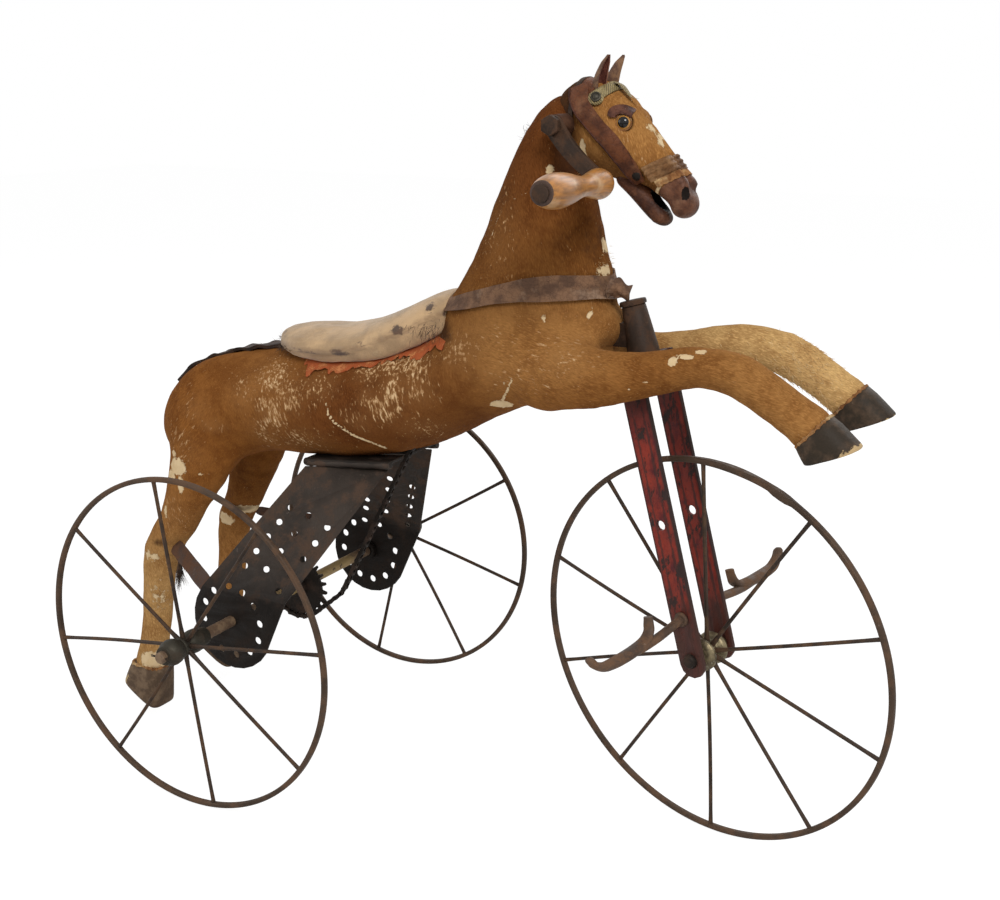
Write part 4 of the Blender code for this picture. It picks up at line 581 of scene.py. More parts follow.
def hoof_horn(name, base, dark):
    """Worn paint with brown scuffs and a pale chipped toe."""
    made = Finish(name, Specular_IOR_Level=0.16)
    cloud = made.noise(48, 5, 0.65)
    fine = made.noise(260, 4, 0.6)
    colour = made.mix(cloud.step(0.42, 0.66), base, dark)
    colour = made.mix((cloud + fine * 0.3).step(0.78, 0.88) * 0.7, colour, (0.19, 0.14, 0.09))
    chipped = (made.mark("chip") + (made.noise(110, 4, 0.7) - 0.5) * 0.9).step(0.62, 0.70)
    colour = made.mix(chipped, colour, (0.50, 0.35, 0.18))
    made.bump(cloud + fine * 0.4 - chipped * 0.6, 0.0011)
    return made.set(Base_Color=colour, Roughness=0.5 + cloud * 0.2)


def saddle_suede():
    """Rubbed suede: soft mottling, dark stains along the side and at the front."""
    made = Finish("mottled_suede", Specular_IOR_Level=0.2, Sheen_Weight=0.3)
    cloud = made.noise(24, 5, 0.62)
    nap = made.noise(520, 4, 0.6)
    scuff = made.noise(1.0, 4, 0.65, made.mapped((30, 85, 85)))
    base = tuple(colours().suede)
    colour = made.mix(cloud.step(0.35, 0.65), base, shade(base, 0.66))
    colour = made.mix(scuff.step(0.54, 0.72) * 0.6, colour, (0.62, 0.46, 0.28))
    colour = made.mix((nap - 0.5).step(0.08, 0.20) * 0.3, colour, shade(base, 0.5))
    stain = (made.mark("stain") + (made.noise(85, 5, 0.7) - 0.5) * 1.1).step(0.48, 0.72)
    colour = made.mix(stain * 0.9, colour, made.mix(nap, (0.020, 0.013, 0.012), (0.10, 0.06, 0.05)))
    rim = (made.mark("rim") + (scuff - 0.5) * 0.8).step(0.60, 0.9)
    colour = made.mix(rim * 0.55, colour, (0.15, 0.08, 0.045))
    made.bump(nap * 0.5 + cloud * 1.1 + scuff * 0.6, 0.0012)
    return made.set(Base_Color=colour, Roughness=0.9)


def red_weave():
    """Coarse faded cloth."""
    made = Finish("frayed_red_cloth", Specular_IOR_Level=0.04)
    cloud = made.noise(60, 5, 0.65)
    run = made.node("ShaderNodeUVMap", {"uv_map": "threads"})
    warp = made.node("ShaderNodeTexWave", {"bands_direction": "X"}, {"Vector": run, "Scale": 160.0}, 1)
    weft = made.node("ShaderNodeTexWave", {"bands_direction": "Y"}, {"Vector": run, "Scale": 160.0}, 1)
    colour = made.mix(cloud.step(0.45, 0.75), tuple(colours().cloth), (0.150, 0.026, 0.010))
    colour = made.mix((cloud + warp * 0.12).step(0.60, 0.72), colour, (0.640, 0.250, 0.095))
    made.bump(warp * 0.5 + weft * 0.5 + cloud, 0.0007)
    return made.set(Base_Color=colour, Roughness=0.92)


def woven_band():
    """Woven braid: diagonal threads of dull gold and olive."""
    made = Finish("woven_gold_braid", Specular_IOR_Level=0.4)
    run = made.node("ShaderNodeUVMap", {"uv_map": "threads"})
    one = made.node("ShaderNodeTexWave", {"bands_direction": "DIAGONAL"},
                    {"Vector": run, "Scale": 210.0}, 1)
    two = made.node("ShaderNodeTexWave", {"bands_direction": "X"}, {"Vector": run, "Scale": 300.0}, 1)
    cloud = made.noise(90, 4, 0.6)
    base = tuple(colours().braid)
    colour = made.mix(one.step(0.3, 0.7), shade(base, 0.42), base)
    colour = made.mix(cloud.step(0.5, 0.68) * 0.6, colour, (0.47, 0.38, 0.19))
    made.bump(one * 0.6 + two * 0.5, 0.0007)
    return made.set(Base_Color=colour, Roughness=0.6, Metallic=0.15)


def eye_glass():
    """Amber glass with a round dark pupil."""
    made = Finish("amber_glass_eye", Specular_IOR_Level=0.35)
    ring = made.mark("ring")
    amber = made.mix(made.noise(700, 3, 0.5), (0.30, 0.13, 0.025), (0.52, 0.26, 0.06))
    colour = made.mix(ring.step(0.71, 0.67), amber, (0.003, 0.002, 0.002))
    colour = made.mix(ring.step(0.88, 1.0), colour, (0.03, 0.015, 0.008))
    return made.set(Base_Color=colour, Roughness=0.04)


def dark_hair():
    """Black brown hair."""
    made = Finish("dark_loose_hair", Specular_IOR_Level=0.3)
    part = made.noise(90, 2, 0.5)
    return made.set(Base_Color=made.mix(part.step(0.35, 0.7), (0.020, 0.013, 0.010), (0.105, 0.058, 0.032)),
                    Roughness=0.6)


def pale_hair():
    """Straw coloured hair."""
    made = Finish("pale_loose_hair", Specular_IOR_Level=0.25)
    part = made.noise(120, 2, 0.5)
    return made.set(Base_Color=made.mix(part.step(0.35, 0.7), (0.50, 0.29, 0.11), (0.74, 0.56, 0.30)),
                    Roughness=0.75)


def black_inside():
    """Dark inside of the mouth and nostrils."""
    made = Finish("black_mouth", Specular_IOR_Level=0.1)
    part = made.noise(200, 3, 0.6)
    return made.set(Base_Color=made.mix(part, (0.004, 0.003, 0.002), (0.016, 0.010, 0.008)), Roughness=0.8)


def ear_leather():
    """Brown outside and dull red inside."""
    made = Finish("ear_leather", Specular_IOR_Level=0.3)
    cloud = made.noise(90, 5, 0.65)
    outside = made.mix(cloud.step(0.4, 0.6), (0.185, 0.095, 0.045), (0.080, 0.036, 0.020))
    inside = made.mix(cloud.step(0.4, 0.65), (0.155, 0.050, 0.032), (0.075, 0.022, 0.016))
    made.bump(cloud, 0.0009)
    return made.set(Base_Color=made.mix(made.mark("inside"), outside, inside), Roughness=0.62)


# Meshes
def grid_faces(rows, columns, round_trip=False):
    """Quads of a grid of rows x columns. round_trip joins the last column to the first."""
    i = np.arange(rows - 1)[:, None]
    j = np.arange(columns - 1 + round_trip)[None, :]
    k = (j + 1) % columns
    quads = np.stack((i * columns + j, i * columns + k, (i + 1) * columns + k, (i + 1) * columns + j), -1)
    return quads.reshape(-1, 4)


def loft(rings):
    """Closed skin through rings (rows, points, 3), with a fan on each end."""
    rings = np.asarray(rings, float)
    rows, count, _ = rings.shape
    points = np.concatenate((rings.reshape(-1, 3), rings[[0, -1]].mean(1)))
    i = np.arange(count)
    j = (i + 1) % count
    low = np.stack((j, i, np.full(count, rows * count)), -1)
    base = (rows - 1) * count
    high = np.stack((base + i, base + j, np.full(count, rows * count + 1)), -1)
    faces = grid_faces(rows, count, True).tolist() + low.tolist() + high.tolist()
    return points, faces


def merged(*solids):
    """Several (points, faces) as one."""
    points = []
    faces = []
    start = 0
    for some, theirs in solids:
        points.append(some)
        faces.extend([[index + start for index in face] for face in theirs])
        start += len(some)
    return np.concatenate(points), faces


def unit(vectors):
    """Vectors of length 1."""
    vectors = np.asarray(vectors, float)
    return vectors / np.maximum(np.linalg.norm(vectors, axis=-1, keepdims=True), 1e-12)


def crosswise(axis, start):
    """The unit axis and two unit directions at right angles to it, the first nearest to start."""
    axis = unit(axis)
    side = unit(np.asarray(start, float) - np.dot(start, axis) * axis)
    return axis, side, np.cross(axis, side)


def squared(turn, power):
    """Cosine and sine with their sizes raised to a power: under 1 it makes a round section squarer."""
    return tuple(np.sign(wave) * np.abs(wave) ** power for wave in (np.cos(turn), np.sin(turn)))


def spun(profile, steps, centre, axis, start=(1, 0, 0)):
    """Profile rows (radius, distance) turned about an axis through centre."""
    profile = np.asarray(profile, float)
    axis, side, other = crosswise(axis, start)
    turn = np.linspace(0, math.tau, steps, endpoint=False)
    spoke = np.cos(turn)[:, None] * side + np.sin(turn)[:, None] * other
    rings = centre + profile[:, 1, None, None] * axis + profile[:, 0, None, None] * spoke
    return loft(rings)


def smoothed(rows, steps):
    """Catmull-Rom rows through the given rows."""
    rows = np.asarray(rows, float)
    padded = np.vstack((2 * rows[0] - rows[1], rows, 2 * rows[-1] - rows[-2]))
    t = (np.arange(steps) / steps)[None, :, None]
    a, b, c, d = (padded[k:len(padded) - 3 + k, None, :] for k in range(4))
    body = 0.5 * (2 * b + (c - a) * t + (2 * a - 5 * b + 4 * c - d) * t ** 2
                  + (3 * b - a - 3 * c + d) * t ** 3)
    return np.vstack((body.reshape(-1, rows.shape[1]), rows[-1]))


def swept(path, radii, sides, up=(0, 0, 1), flat=1.0):
    """Oval section carried along a path: radii across, radii x flat along up."""
    path = np.asarray(path, float)
    run = unit(np.gradient(path, axis=0))
    rise = unit(np.asarray(up, float) - (run @ np.asarray(up, float))[:, None] * run)
    across = np.cross(run, rise)
    turn = np.linspace(0, math.tau, sides, endpoint=False)
    radii = np.broadcast_to(np.asarray(radii, float), (len(path),))[:, None, None]
    return path[:, None] + radii * (np.cos(turn)[None, :, None] * across[:, None]
                                    + flat * np.sin(turn)[None, :, None] * rise[:, None])


def hoop(path, radii, sides, up):
    """Rod carried round a closed path."""
    path = np.asarray(path, float)
    count = len(path)
    radii = np.broadcast_to(radii, (count,))
    path = np.vstack((path[-1:], path, path[:1]))
    radii = np.concatenate((radii[-1:], radii, radii[:1]))
    rings = swept(path, radii, sides, up)
    faces = grid_faces(count + 1, sides, True) % (count * sides)
    return rings[1:-1].reshape(-1, 3), faces.tolist()


def slab(grid, normals, thickness):
    """Closed sheet: a grid (rows, columns, 3) and its copy set off along the normals."""
    outer = grid + normals * thickness
    rings = np.concatenate((outer, grid[:, ::-1]), axis=1)
    return loft(rings)


def lumps(points, size, seed):
    """Smooth random values from -1 to 1: a seeded lattice, blended between its corners."""
    lattice = np.random.default_rng(seed).uniform(-1, 1, (32, 32, 32))
    at = np.asarray(points, float) / size + 100.0
    base = np.floor(at).astype(int)
    part = at - base
    part = part * part * (3 - 2 * part)
    total = np.zeros(len(at))
    for corner in np.ndindex(2, 2, 2):
        weight = np.prod(np.where(corner, part, 1 - part), axis=1)
        index = (base + corner) % 32
        total += weight * lattice[index[:, 0], index[:, 1], index[:, 2]]
    return total


def piece(name, solid, material, body, nodes=(), marks=None, threads=None, soft=60.0):
    """Mesh object in place, riding on its body, standing for the nodes that it replaces."""
    points, faces = solid
    mesh = bpy.data.meshes.new(name)
    mesh.from_pydata(np.asarray(points).tolist(), [], faces)
    mesh.update()
    for word, values in (marks or {}).items():
        values = np.asarray(values, float)
        if values.ndim == 2:
            layer = mesh.attributes.new(word, "FLOAT_COLOR", "POINT")
            layer.data.foreach_set("color", np.hstack((values, np.ones((len(values), 1)))).ravel())
        else:
            layer = mesh.attributes.new(word, "FLOAT", "POINT")
            layer.data.foreach_set("value", values)
    if threads is not None:
        corner = np.empty(len(mesh.loops), int)
        mesh.loops.foreach_get("vertex_index", corner)
        mesh.uv_layers.new(name="threads").data.foreach_set("uv", np.asarray(threads, float)[corner].ravel())
    work = bmesh.new()
    work.from_mesh(mesh)
    bmesh.ops.recalc_face_normals(work, faces=work.faces)
    work.to_mesh(mesh)
    work.free()
    mesh.shade_smooth()
    mesh.set_sharp_from_angle(angle=math.radians(soft))
    mesh.materials.append(material)
    item = bpy.data.objects.new(name, mesh)
    bpy.context.scene.collection.objects.link(item)
    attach(item, body)
    if nodes:
        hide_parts(*nodes)
    return item


def rounded_copy(name, node, width, material, body):
    """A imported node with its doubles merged, its flats joined and its edges rounded."""
    mesh = frame["nodes"][node].data.copy()
    work = bmesh.new()
    work.from_mesh(mesh)
    bmesh.ops.remove_doubles(work, verts=work.verts, dist=0.00001)
    bmesh.ops.dissolve_limit(work, angle_limit=math.radians(1.0), verts=work.verts, edges=work.edges)
    bmesh.ops.recalc_face_normals(work, faces=work.faces)
    for face in work.faces:
        face.smooth = True
    work.to_mesh(mesh)
    work.free()
    mesh.materials.clear()
    mesh.materials.append(material)
    item = bpy.data.objects.new(name, mesh)
    bpy.context.scene.collection.objects.link(item)
    bevel = item.modifiers.new("rounded", "BEVEL")
    bevel.width = width
    bevel.segments = 2
    bevel.limit_method = "ANGLE"
    bevel.angle_limit = math.radians(32)
    bevel.harden_normals = True
    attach(item, body)
    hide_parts(node)
    return item


# Rounded solids from measures
def horse(points):
    """Layout places (x, y, height over the datum) as places in the frame."""
    return np.asarray(points, float) + DATUM


def limb(points, rows):
    """Measure that is negative inside a limb.

    The limb is a chain of tapered ovals. Between two rows the measure is the distance in the XZ
    plane over the half depth, joined at right angles with y over the half width, less one.
    """
    x, y, z = points[..., 0], points[..., 1], points[..., 2]
    best = np.full(x.shape, 9.0, points.dtype)
    for a, b in zip(rows[:-1], rows[1:]):
        run = (b[0] - a[0], b[2] - a[2])
        t = np.clip(((x - a[0]) * run[0] + (z - a[2]) * run[1]) / (run[0] ** 2 + run[1] ** 2), 0, 1)
        dx = x - a[0] - t * run[0]
        dz = z - a[2] - t * run[1]
        depth = a[3] + t * (b[3] - a[3])
        width = a[4] + t * (b[4] - a[4])
        dy = y - a[1] - t * (b[1] - a[1])
        value = (np.sqrt((dx * dx + dz * dz) / depth ** 2 + (dy / width) ** 2) - 1) * np.minimum(depth, width)
        best = np.minimum(best, value)
    return best


def ball(points, centre, radii):
    """Measure that is negative inside an ellipsoid."""
    offset = (points - np.asarray(centre, points.dtype)) / np.asarray(radii, points.dtype)
    return (np.sqrt((offset ** 2).sum(-1)) - 1) * min(radii)


def joined(a, b, reach):
    """Union whose corner is filled over a reach."""
    h = np.clip(0.5 + 0.5 * (b - a) / reach, 0, 1)
    return b + (a - b) * h - reach * h * (1 - h)


def carved(a, b, reach):
    """a with b taken out, the edge rounded over a reach."""
    return -joined(-a, b, reach)


def mirrored(points):
    """Places folded over to the left side."""
    return np.stack((points[..., 0], np.abs(points[..., 1]), points[..., 2]), -1)


def surface(field, low, high, step):
    """Skin where a field is zero, on a grid of cells.

    Each crossed cell gets one point, the mean of the crossings on its edges, and each crossed
    edge one quad between the points of the four cells round it.
    """
    axes = [np.arange(a, b + step, step, dtype=np.float32) for a, b in zip(low, high)]
    grid = np.stack(np.meshgrid(*axes, indexing="ij"), -1)
    value = field(grid)
    cells = tuple(n - 1 for n in value.shape)
    total = np.zeros((*cells, 3), np.float32)
    count = np.zeros(cells, np.float32)
    crossings = []
    for axis in range(3):
        one = [slice(None)] * 3
        two = [slice(None)] * 3
        one[axis] = slice(None, -1)
        two[axis] = slice(1, None)
        a, b = value[tuple(one)], value[tuple(two)]
        crossed = (a < 0) != (b < 0)
        part = np.where(crossed, a / np.where(crossed, a - b, 1), 0)
        place = grid[tuple(one)].copy()
        place[..., axis] += part * step
        place *= crossed[..., None]
        others = [k for k in range(3) if k != axis]
        for shift in np.ndindex(2, 2):
            pick = [slice(None)] * 3
            for k, offset in zip(others, shift):
                pick[k] = slice(offset, cells[k] + offset)
            total += place[tuple(pick)]
            count += crossed[tuple(pick)]
        crossings.append((crossed, a < 0, others))
    used = count > 0
    number = np.full(cells, -1)
    number[used] = np.arange(used.sum())
    points = total[used] / count[used][:, None]
    faces = []
    for axis, (crossed, first_inside, others) in enumerate(crossings):
        pick = [slice(None)] * 3
        for k in others:
            pick[k] = slice(1, -1)
        hit = np.argwhere(crossed[tuple(pick)])
        inner = first_inside[tuple(pick)][crossed[tuple(pick)]]
        hit[:, others] += 1
        corners = []
        for down in ((1, 1), (0, 1), (0, 0), (1, 0)):
            at = hit.copy()
            at[:, others[0]] -= down[0]
            at[:, others[1]] -= down[1]
            corners.append(number[at[:, 0], at[:, 1], at[:, 2]])
        quads = np.stack(corners, -1)
        flip = inner if axis != 1 else ~inner
        quads[~flip] = quads[~flip][:, ::-1]
        faces.append(quads)
    return points.astype(float), np.concatenate(faces)


def relaxed(points, quads, rounds, weight=0.5):
    """Each point moves towards the mean of its neighbours."""
    edges = np.concatenate((quads[:, [0, 1]], quads[:, [1, 2]], quads[:, [2, 3]], quads[:, [3, 0]]))
    for _ in range(rounds):
        total = np.zeros_like(points)
        for k in range(3):
            total[:, k] = np.bincount(edges[:, 0], points[edges[:, 1], k], len(points))
        degree = np.bincount(edges[:, 0], minlength=len(points))[:, None]
        points = points + weight * (total / degree - points)
    return points


def slope(field, points, reach=0.0004):
    """Gradient of a field by central differences."""
    steps = np.eye(3) * reach
    return np.stack([(field(points + step) - field(points - step)) / (2 * reach) for step in steps], -1)


def laid(points, field, offset):
    """Points moved along the field's gradient until the field there is the offset, and the normals."""
    shape = points.shape
    points = points.reshape(-1, 3).astype(float)
    offset = np.broadcast_to(offset, shape[:-1]).reshape(-1)
    for _ in range(8):
        gradient = slope(field, points)
        value = field(points) - offset
        points = points - (value / np.maximum((gradient ** 2).sum(-1), 1e-6))[:, None] * gradient
    return points.reshape(shape), unit(slope(field, points)).reshape(shape)


def cast(inner, outer, field, offset):
    """Where the lines from inner to outer points reach the offset, found by halving, and the normals."""
    shape = inner.shape
    inner, outer = inner.reshape(-1, 3), outer.reshape(-1, 3)
    offset = np.broadcast_to(offset, shape[:-1]).reshape(-1)
    low, high = np.zeros((len(inner), 1)), np.ones((len(inner), 1))
    for _ in range(14):
        half = (low + high) / 2
        inside = (field(inner + (outer - inner) * half) < offset)[:, None]
        low, high = np.where(inside, half, low), np.where(inside, high, half)
    points = inner + (outer - inner) * high
    return points.reshape(shape), unit(slope(field, points)).reshape(shape)


def patch(points, rows):
    """Largest of several soft spots. A row is x, side, height, half length, half height, strength."""
    best = np.zeros(len(points))
    for x, side, height, length, rise, strength in rows:
        near = ((points[:, 0] - x) / length) ** 2 + ((points[:, 2] - height) / rise) ** 2
        best = np.maximum(best, strength * np.exp(-near) * (side * points[:, 1] > -0.004))
    return best


def line_mark(points, route, side, width):
    """1 on a route (x, height) drawn on one side, falling to 0 at its width."""
    best = np.full(len(points), 9.0)
    flat = points[:, [0, 2]]
    for a, b in zip(route[:-1], route[1:]):
        a = np.array(a)
        run = np.array(b) - a
        t = np.clip((flat - a) @ run / (run @ run), 0, 1)
        best = np.minimum(best, np.linalg.norm(flat - a - t[:, None] * run, axis=1))
    return np.clip(1 - best / width, 0, 1) * (side * points[:, 1] > 0)


# Horse
def torso_field(points):
    """Ovals across x, read between the stations."""
    x, y, z = points[..., 0], points[..., 1], points[..., 2]
    rows = smoothed(TORSO, 4)
    top, low, width = (np.interp(x, rows[:, 0], rows[:, k]) for k in (1, 2, 3))
    depth = (top - low) / 2
    oval = (np.sqrt(((z - (top + low) / 2) / depth) ** 2 + (y / width) ** 2) - 1) * np.minimum(depth, width)
    return np.maximum(oval, np.maximum(rows[0, 0] - x, x - rows[-1, 0]))


def neck_field(points):
    """Ovals across the height, each tilted a little, read between the stations."""
    x, y, z = points[..., 0], points[..., 1], points[..., 2]
    rows = smoothed(NECK, 4)
    tilt = np.tan(np.radians(np.interp(z, rows[:, 1], rows[:, 4])))
    level = z - (x - np.interp(z, rows[:, 1], rows[:, 0])) * tilt
    middle, depth, width = (np.interp(level, rows[:, 1], rows[:, k]) for k in (0, 2, 3))
    oval = (np.sqrt(((x - middle) / depth) ** 2 + (y / width) ** 2) - 1) * np.minimum(depth, width)
    oval = np.maximum(oval, np.maximum(rows[0, 1] - level, level - rows[-1, 1]))
    return joined(oval, ball(points, (0.3990, 0.0, 0.4405), (0.0190, 0.0260, 0.0170)), 0.010)


def body_field(points):
    """Torso and neck, then the thighs and forelegs, each joined with a filled corner."""
    lift = FAR_LIFT * (points[..., 1] > 0) * np.clip((points[..., 0] - 0.50) / 0.05, 0, 1)
    points = mirrored(points)
    value = joined(torso_field(points), neck_field(points), 0.014)
    value = joined(value, ball(points, (0.4550, 0.0, 0.1955), (0.0255, 0.0430, 0.0228)), 0.010)
    value = joined(value, limb(points, smoothed(HIND_LEG, 2)), 0.028)
    fore = points.copy()
    fore[..., 2] -= lift * (1 - 0.6 * np.exp(-((points[..., 0] - 0.62) / 0.03) ** 2))
    return joined(value, limb(fore, smoothed(FORE_LEG, 2)), 0.022)


def hide_field(points):
    """The body, less the slot under the belly that the chain goes through."""
    value = body_field(points)
    x, y, z = points[..., 0], points[..., 1], points[..., 2]
    slot = np.maximum(np.maximum(np.abs(x - 0.160) - 0.062, np.abs(y + 0.015) - 0.009), z - 0.035)
    return np.maximum(value, -slot)


def head_field(points):
    """Head with its brows, cheeks, nostrils and upper lip, less the eye sockets and the mouth."""
    side = mirrored(points)
    value = limb(side, smoothed(HEAD, 2))
    value = joined(value, ball(side, (0.5500, 0.0, 0.3390), (0.0120, 0.0165, 0.0120)), 0.008)
    value = joined(value, limb(side, BRIDGE), 0.006)
    value = joined(value, ball(side, (0.4790, 0.0240, 0.4365), (0.0130, 0.0080, 0.0058)), 0.008)
    value = joined(value, ball(side, (0.4560, 0.0260, 0.4080), (0.0230, 0.0140, 0.0230)), 0.012)
    value = joined(value, ball(side, (0.5525, 0.0140, 0.3550), (0.0070, 0.0068, 0.0110)), 0.004)
    value = carved(value, ball(side, (0.5570, 0.0190, 0.3550), (0.0040, 0.0085, 0.0072)), 0.0010)
    value = carved(value, ball(side, EYE, (EYE_RADIUS + 0.0006,) * 3), 0.0025)
    return carved(value, ball(side, (0.520, 0.0, 0.3405), (0.034, 0.0135, 0.0120)), 0.004)


def jaw_field(points):
    """Lower jaw, less the inside of the mouth."""
    side = mirrored(points)
    value = limb(side, smoothed(JAW, 2))
    return carved(value, ball(side, (0.524, 0.0, 0.345), (0.026, 0.0105, 0.0115)), 0.003)


# Worn places, bare places, and dark places of dirt and painted shade: x, side (-1 right, 1 left), height,
# half length, half rise and strength
WORN = (
    (0.014, -1, 0.098, 0.030, 0.024, 0.95), (0.024, -1, 0.057, 0.024, 0.026, 1.10),
    (0.045, -1, 0.080, 0.030, 0.026, 0.85), (0.005, -1, 0.025, 0.024, 0.022, 0.80),
    (0.061, -1, 0.022, 0.040, 0.020, 0.75), (0.090, -1, 0.098, 0.030, 0.020, 0.70),
    (0.158, -1, 0.125, 0.026, 0.018, 0.90), (0.190, -1, 0.135, 0.026, 0.018, 1.00),
    (0.228, -1, 0.140, 0.030, 0.022, 0.95), (0.205, -1, 0.108, 0.026, 0.026, 0.95),
    (0.194, -1, 0.084, 0.026, 0.022, 0.95), (0.170, -1, 0.091, 0.018, 0.018, 0.70),
    (0.240, -1, 0.112, 0.026, 0.026, 0.85), (0.236, -1, 0.061, 0.030, 0.020, 0.60),
    (0.155, -1, 0.062, 0.026, 0.018, 0.55), (0.298, -1, 0.165, 0.030, 0.022, 0.80),
    (0.330, -1, 0.185, 0.040, 0.022, 0.45), (0.440, -1, 0.172, 0.040, 0.024, 0.55),
    (0.370, -1, 0.140, 0.060, 0.026, 0.40), (-0.078, -1, 0.028, 0.022, 0.010, 0.85),
    (-0.106, -1, 0.046, 0.026, 0.020, 0.60), (-0.023, -1, 0.077, 0.026, 0.022, 0.70),
    (-0.130, -1, -0.010, 0.040, 0.030, 0.45), (-0.150, -1, -0.100, 0.024, 0.030, 0.65),
    (0.380, -1, 0.215, 0.080, 0.030, 0.30), (0.340, -1, 0.300, 0.030, 0.050, 0.42),
    (0.018, 1, 0.080, 0.040, 0.040, 0.95), (0.190, 1, 0.115, 0.050, 0.045, 0.95),
    (0.110, 1, 0.045, 0.070, 0.030, 0.60), (-0.080, 1, 0.060, 0.060, 0.040, 0.55),
    (0.350, 1, 0.160, 0.080, 0.050, 0.45), (0.360, 1, 0.300, 0.060, 0.060, 0.35),
)
BARE = (
    (-0.136, -1, -0.036, 0.018, 0.014, 1.15), (-0.149, -1, -0.052, 0.012, 0.012, 1.05),
    (-0.130, -1, -0.058, 0.007, 0.018, 0.95), (-0.098, -1, -0.043, 0.009, 0.004, 0.62),
    (-0.160, -1, -0.102, 0.006, 0.016, 0.80), (-0.146, -1, -0.020, 0.008, 0.008, 0.80),
    (0.576, -1, 0.181, 0.007, 0.006, 1.10), (0.590, -1, 0.1875, 0.012, 0.0030, 1.15),
    (0.605, -1, 0.1930, 0.008, 0.0022, 1.10), (0.343, -1, 0.098, 0.012, 0.006, 1.35),
    (0.547, -1, 0.156, 0.006, 0.0025, 0.75), (0.527, -1, 0.145, 0.004, 0.002, 0.7),
    (-0.190, -1, -0.172, 0.020, 0.012, 0.75), (-0.188, -1, -0.235, 0.024, 0.050, 0.52),
    (-0.203, -1, -0.335, 0.026, 0.016, 1.05), (-0.187, 1, -0.162, 0.022, 0.012, 0.95),
    (-0.150, 1, -0.142, 0.016, 0.010, 1.00), (-0.212, 1, -0.325, 0.030, 0.022, 0.90),
    (0.405, -1, 0.210, 0.003, 0.010, 0.75), (0.400, -1, 0.376, 0.006, 0.007, 1.00),
    (0.452, -1, 0.215, 0.006, 0.016, 0.60), (0.360, -1, 0.130, 0.005, 0.006, 0.55),
    (0.456, -1, 0.262, 0.006, 0.012, 0.75), (0.450, 1, 0.290, 0.006, 0.016, 0.75),
)
# Dirt and painted shade: painted shadow in a band under each edge of the saddle, and painted shade at the
# throat under the head, along the belly and in the creases where parts meet
DIRT_AND_SHADE = (
    (0.150, -1, 0.150, 0.160, 0.016, 0.55), (0.262, -1, 0.178, 0.020, 0.022, 0.95),
    (0.415, -1, 0.290, 0.035, 0.035, 0.40), (0.418, -1, 0.390, 0.020, 0.045, 0.85),
    (0.418, 1, 0.390, 0.020, 0.045, 0.85), (0.415, 1, 0.330, 0.050, 0.080, 0.45),
    (0.150, 1, 0.150, 0.160, 0.016, 0.55), (-0.172, -1, -0.150, 0.016, 0.008, 0.80),
    (0.330, -1, 0.350, 0.030, 0.030, 0.45), (-0.160, 1, -0.140, 0.024, 0.008, 0.95),
    (0.470, -1, 0.150, 0.016, 0.030, 0.35), (-0.140, 1, -0.070, 0.040, 0.060, 0.45),
    (0.110, -1, 0.005, 0.120, 0.014, 0.30), (0.445, -1, 0.300, 0.012, 0.060, 0.55),
)
# Coat: middle of the place, its half sizes, and its step from 0, dark bay, to 4, straw. Most steps are the
# hair's own tones; the belly's lighter step is painted light from below
COAT = (
    ((-0.10, 0.0, 0.03), (0.12, 0.2, 0.08), 2),
    ((-0.02, 0.0, 0.09), (0.05, 0.2, 0.04), 2.5),
    ((0.11, 0.0, 0.06), (0.10, 0.2, 0.04), 0),
    # Belly: painted light from below
    ((0.12, 0.0, 0.00), (0.12, 0.2, 0.02), 1.5),
    ((0.24, 0.0, 0.08), (0.06, 0.2, 0.06), 0.5),
    ((0.29, 0.0, 0.12), (0.04, 0.2, 0.04), 0.5),
    ((0.36, 0.0, 0.17), (0.07, 0.2, 0.05), 3),
    ((0.45, 0.0, 0.17), (0.07, 0.2, 0.04), 3),
    ((0.45, 0.0, 0.11), (0.10, 0.2, 0.03), 2),
    ((0.36, 0.0, 0.28), (0.07, 0.2, 0.06), 1),
    ((0.30, 0.0, 0.28), (0.03, 0.2, 0.08), 1),
    ((0.38, 0.0, 0.38), (0.06, 0.2, 0.05), 0),
    ((0.56, -0.08, 0.16), (0.07, 0.06, 0.04), 1.5),
    ((0.64, -0.08, 0.17), (0.05, 0.06, 0.04), 3),
    ((0.70, -0.08, 0.13), (0.05, 0.06, 0.04), 3),
    ((0.54, 0.08, 0.17), (0.06, 0.05, 0.04), 4),
    ((0.66, 0.08, 0.15), (0.10, 0.05, 0.06), 4),
    ((-0.16, -0.08, -0.08), (0.05, 0.06, 0.05), 2.5),
    ((-0.20, -0.08, -0.25), (0.05, 0.06, 0.09), 3.5),
    ((-0.17, 0.08, -0.08), (0.07, 0.06, 0.08), 1),
    ((-0.20, 0.08, -0.25), (0.05, 0.06, 0.09), 3),
)
# Seams and the tear on the right side: x and height
SEAM = ((0.109, 0.079), (0.112, 0.066), (0.119, 0.057), (0.129, 0.050), (0.141, 0.041), (0.153, 0.036),
        (0.165, 0.031), (0.178, 0.023))
TEAR = ((0.373, 0.138), (0.366, 0.127), (0.359, 0.118), (0.352, 0.110), (0.346, 0.104))
NECK_SEAM = ((0.318, 0.275), (0.333, 0.315), (0.343, 0.335), (0.362, 0.345), (0.380, 0.352))


def coat_shades(points):
    """Weighted mean of the coat's colours, each place weighing more near its middle."""
    hair = colours()
    scale = np.array([tuple(step) for step in (hair.dark_bay, hair.bay, hair.chestnut, hair.tan, hair.straw)])
    total = np.zeros((len(points), 3))
    weight = np.full(len(points), 1e-6)
    for centre, half, step in COAT:
        near = np.exp(-(((points - centre) / half) ** 2).sum(-1) * 0.7) + 1e-5
        total += near[:, None] * [np.interp(step, range(len(scale)), channel) for channel in scale.T]
        weight += near
    return total / weight[:, None]


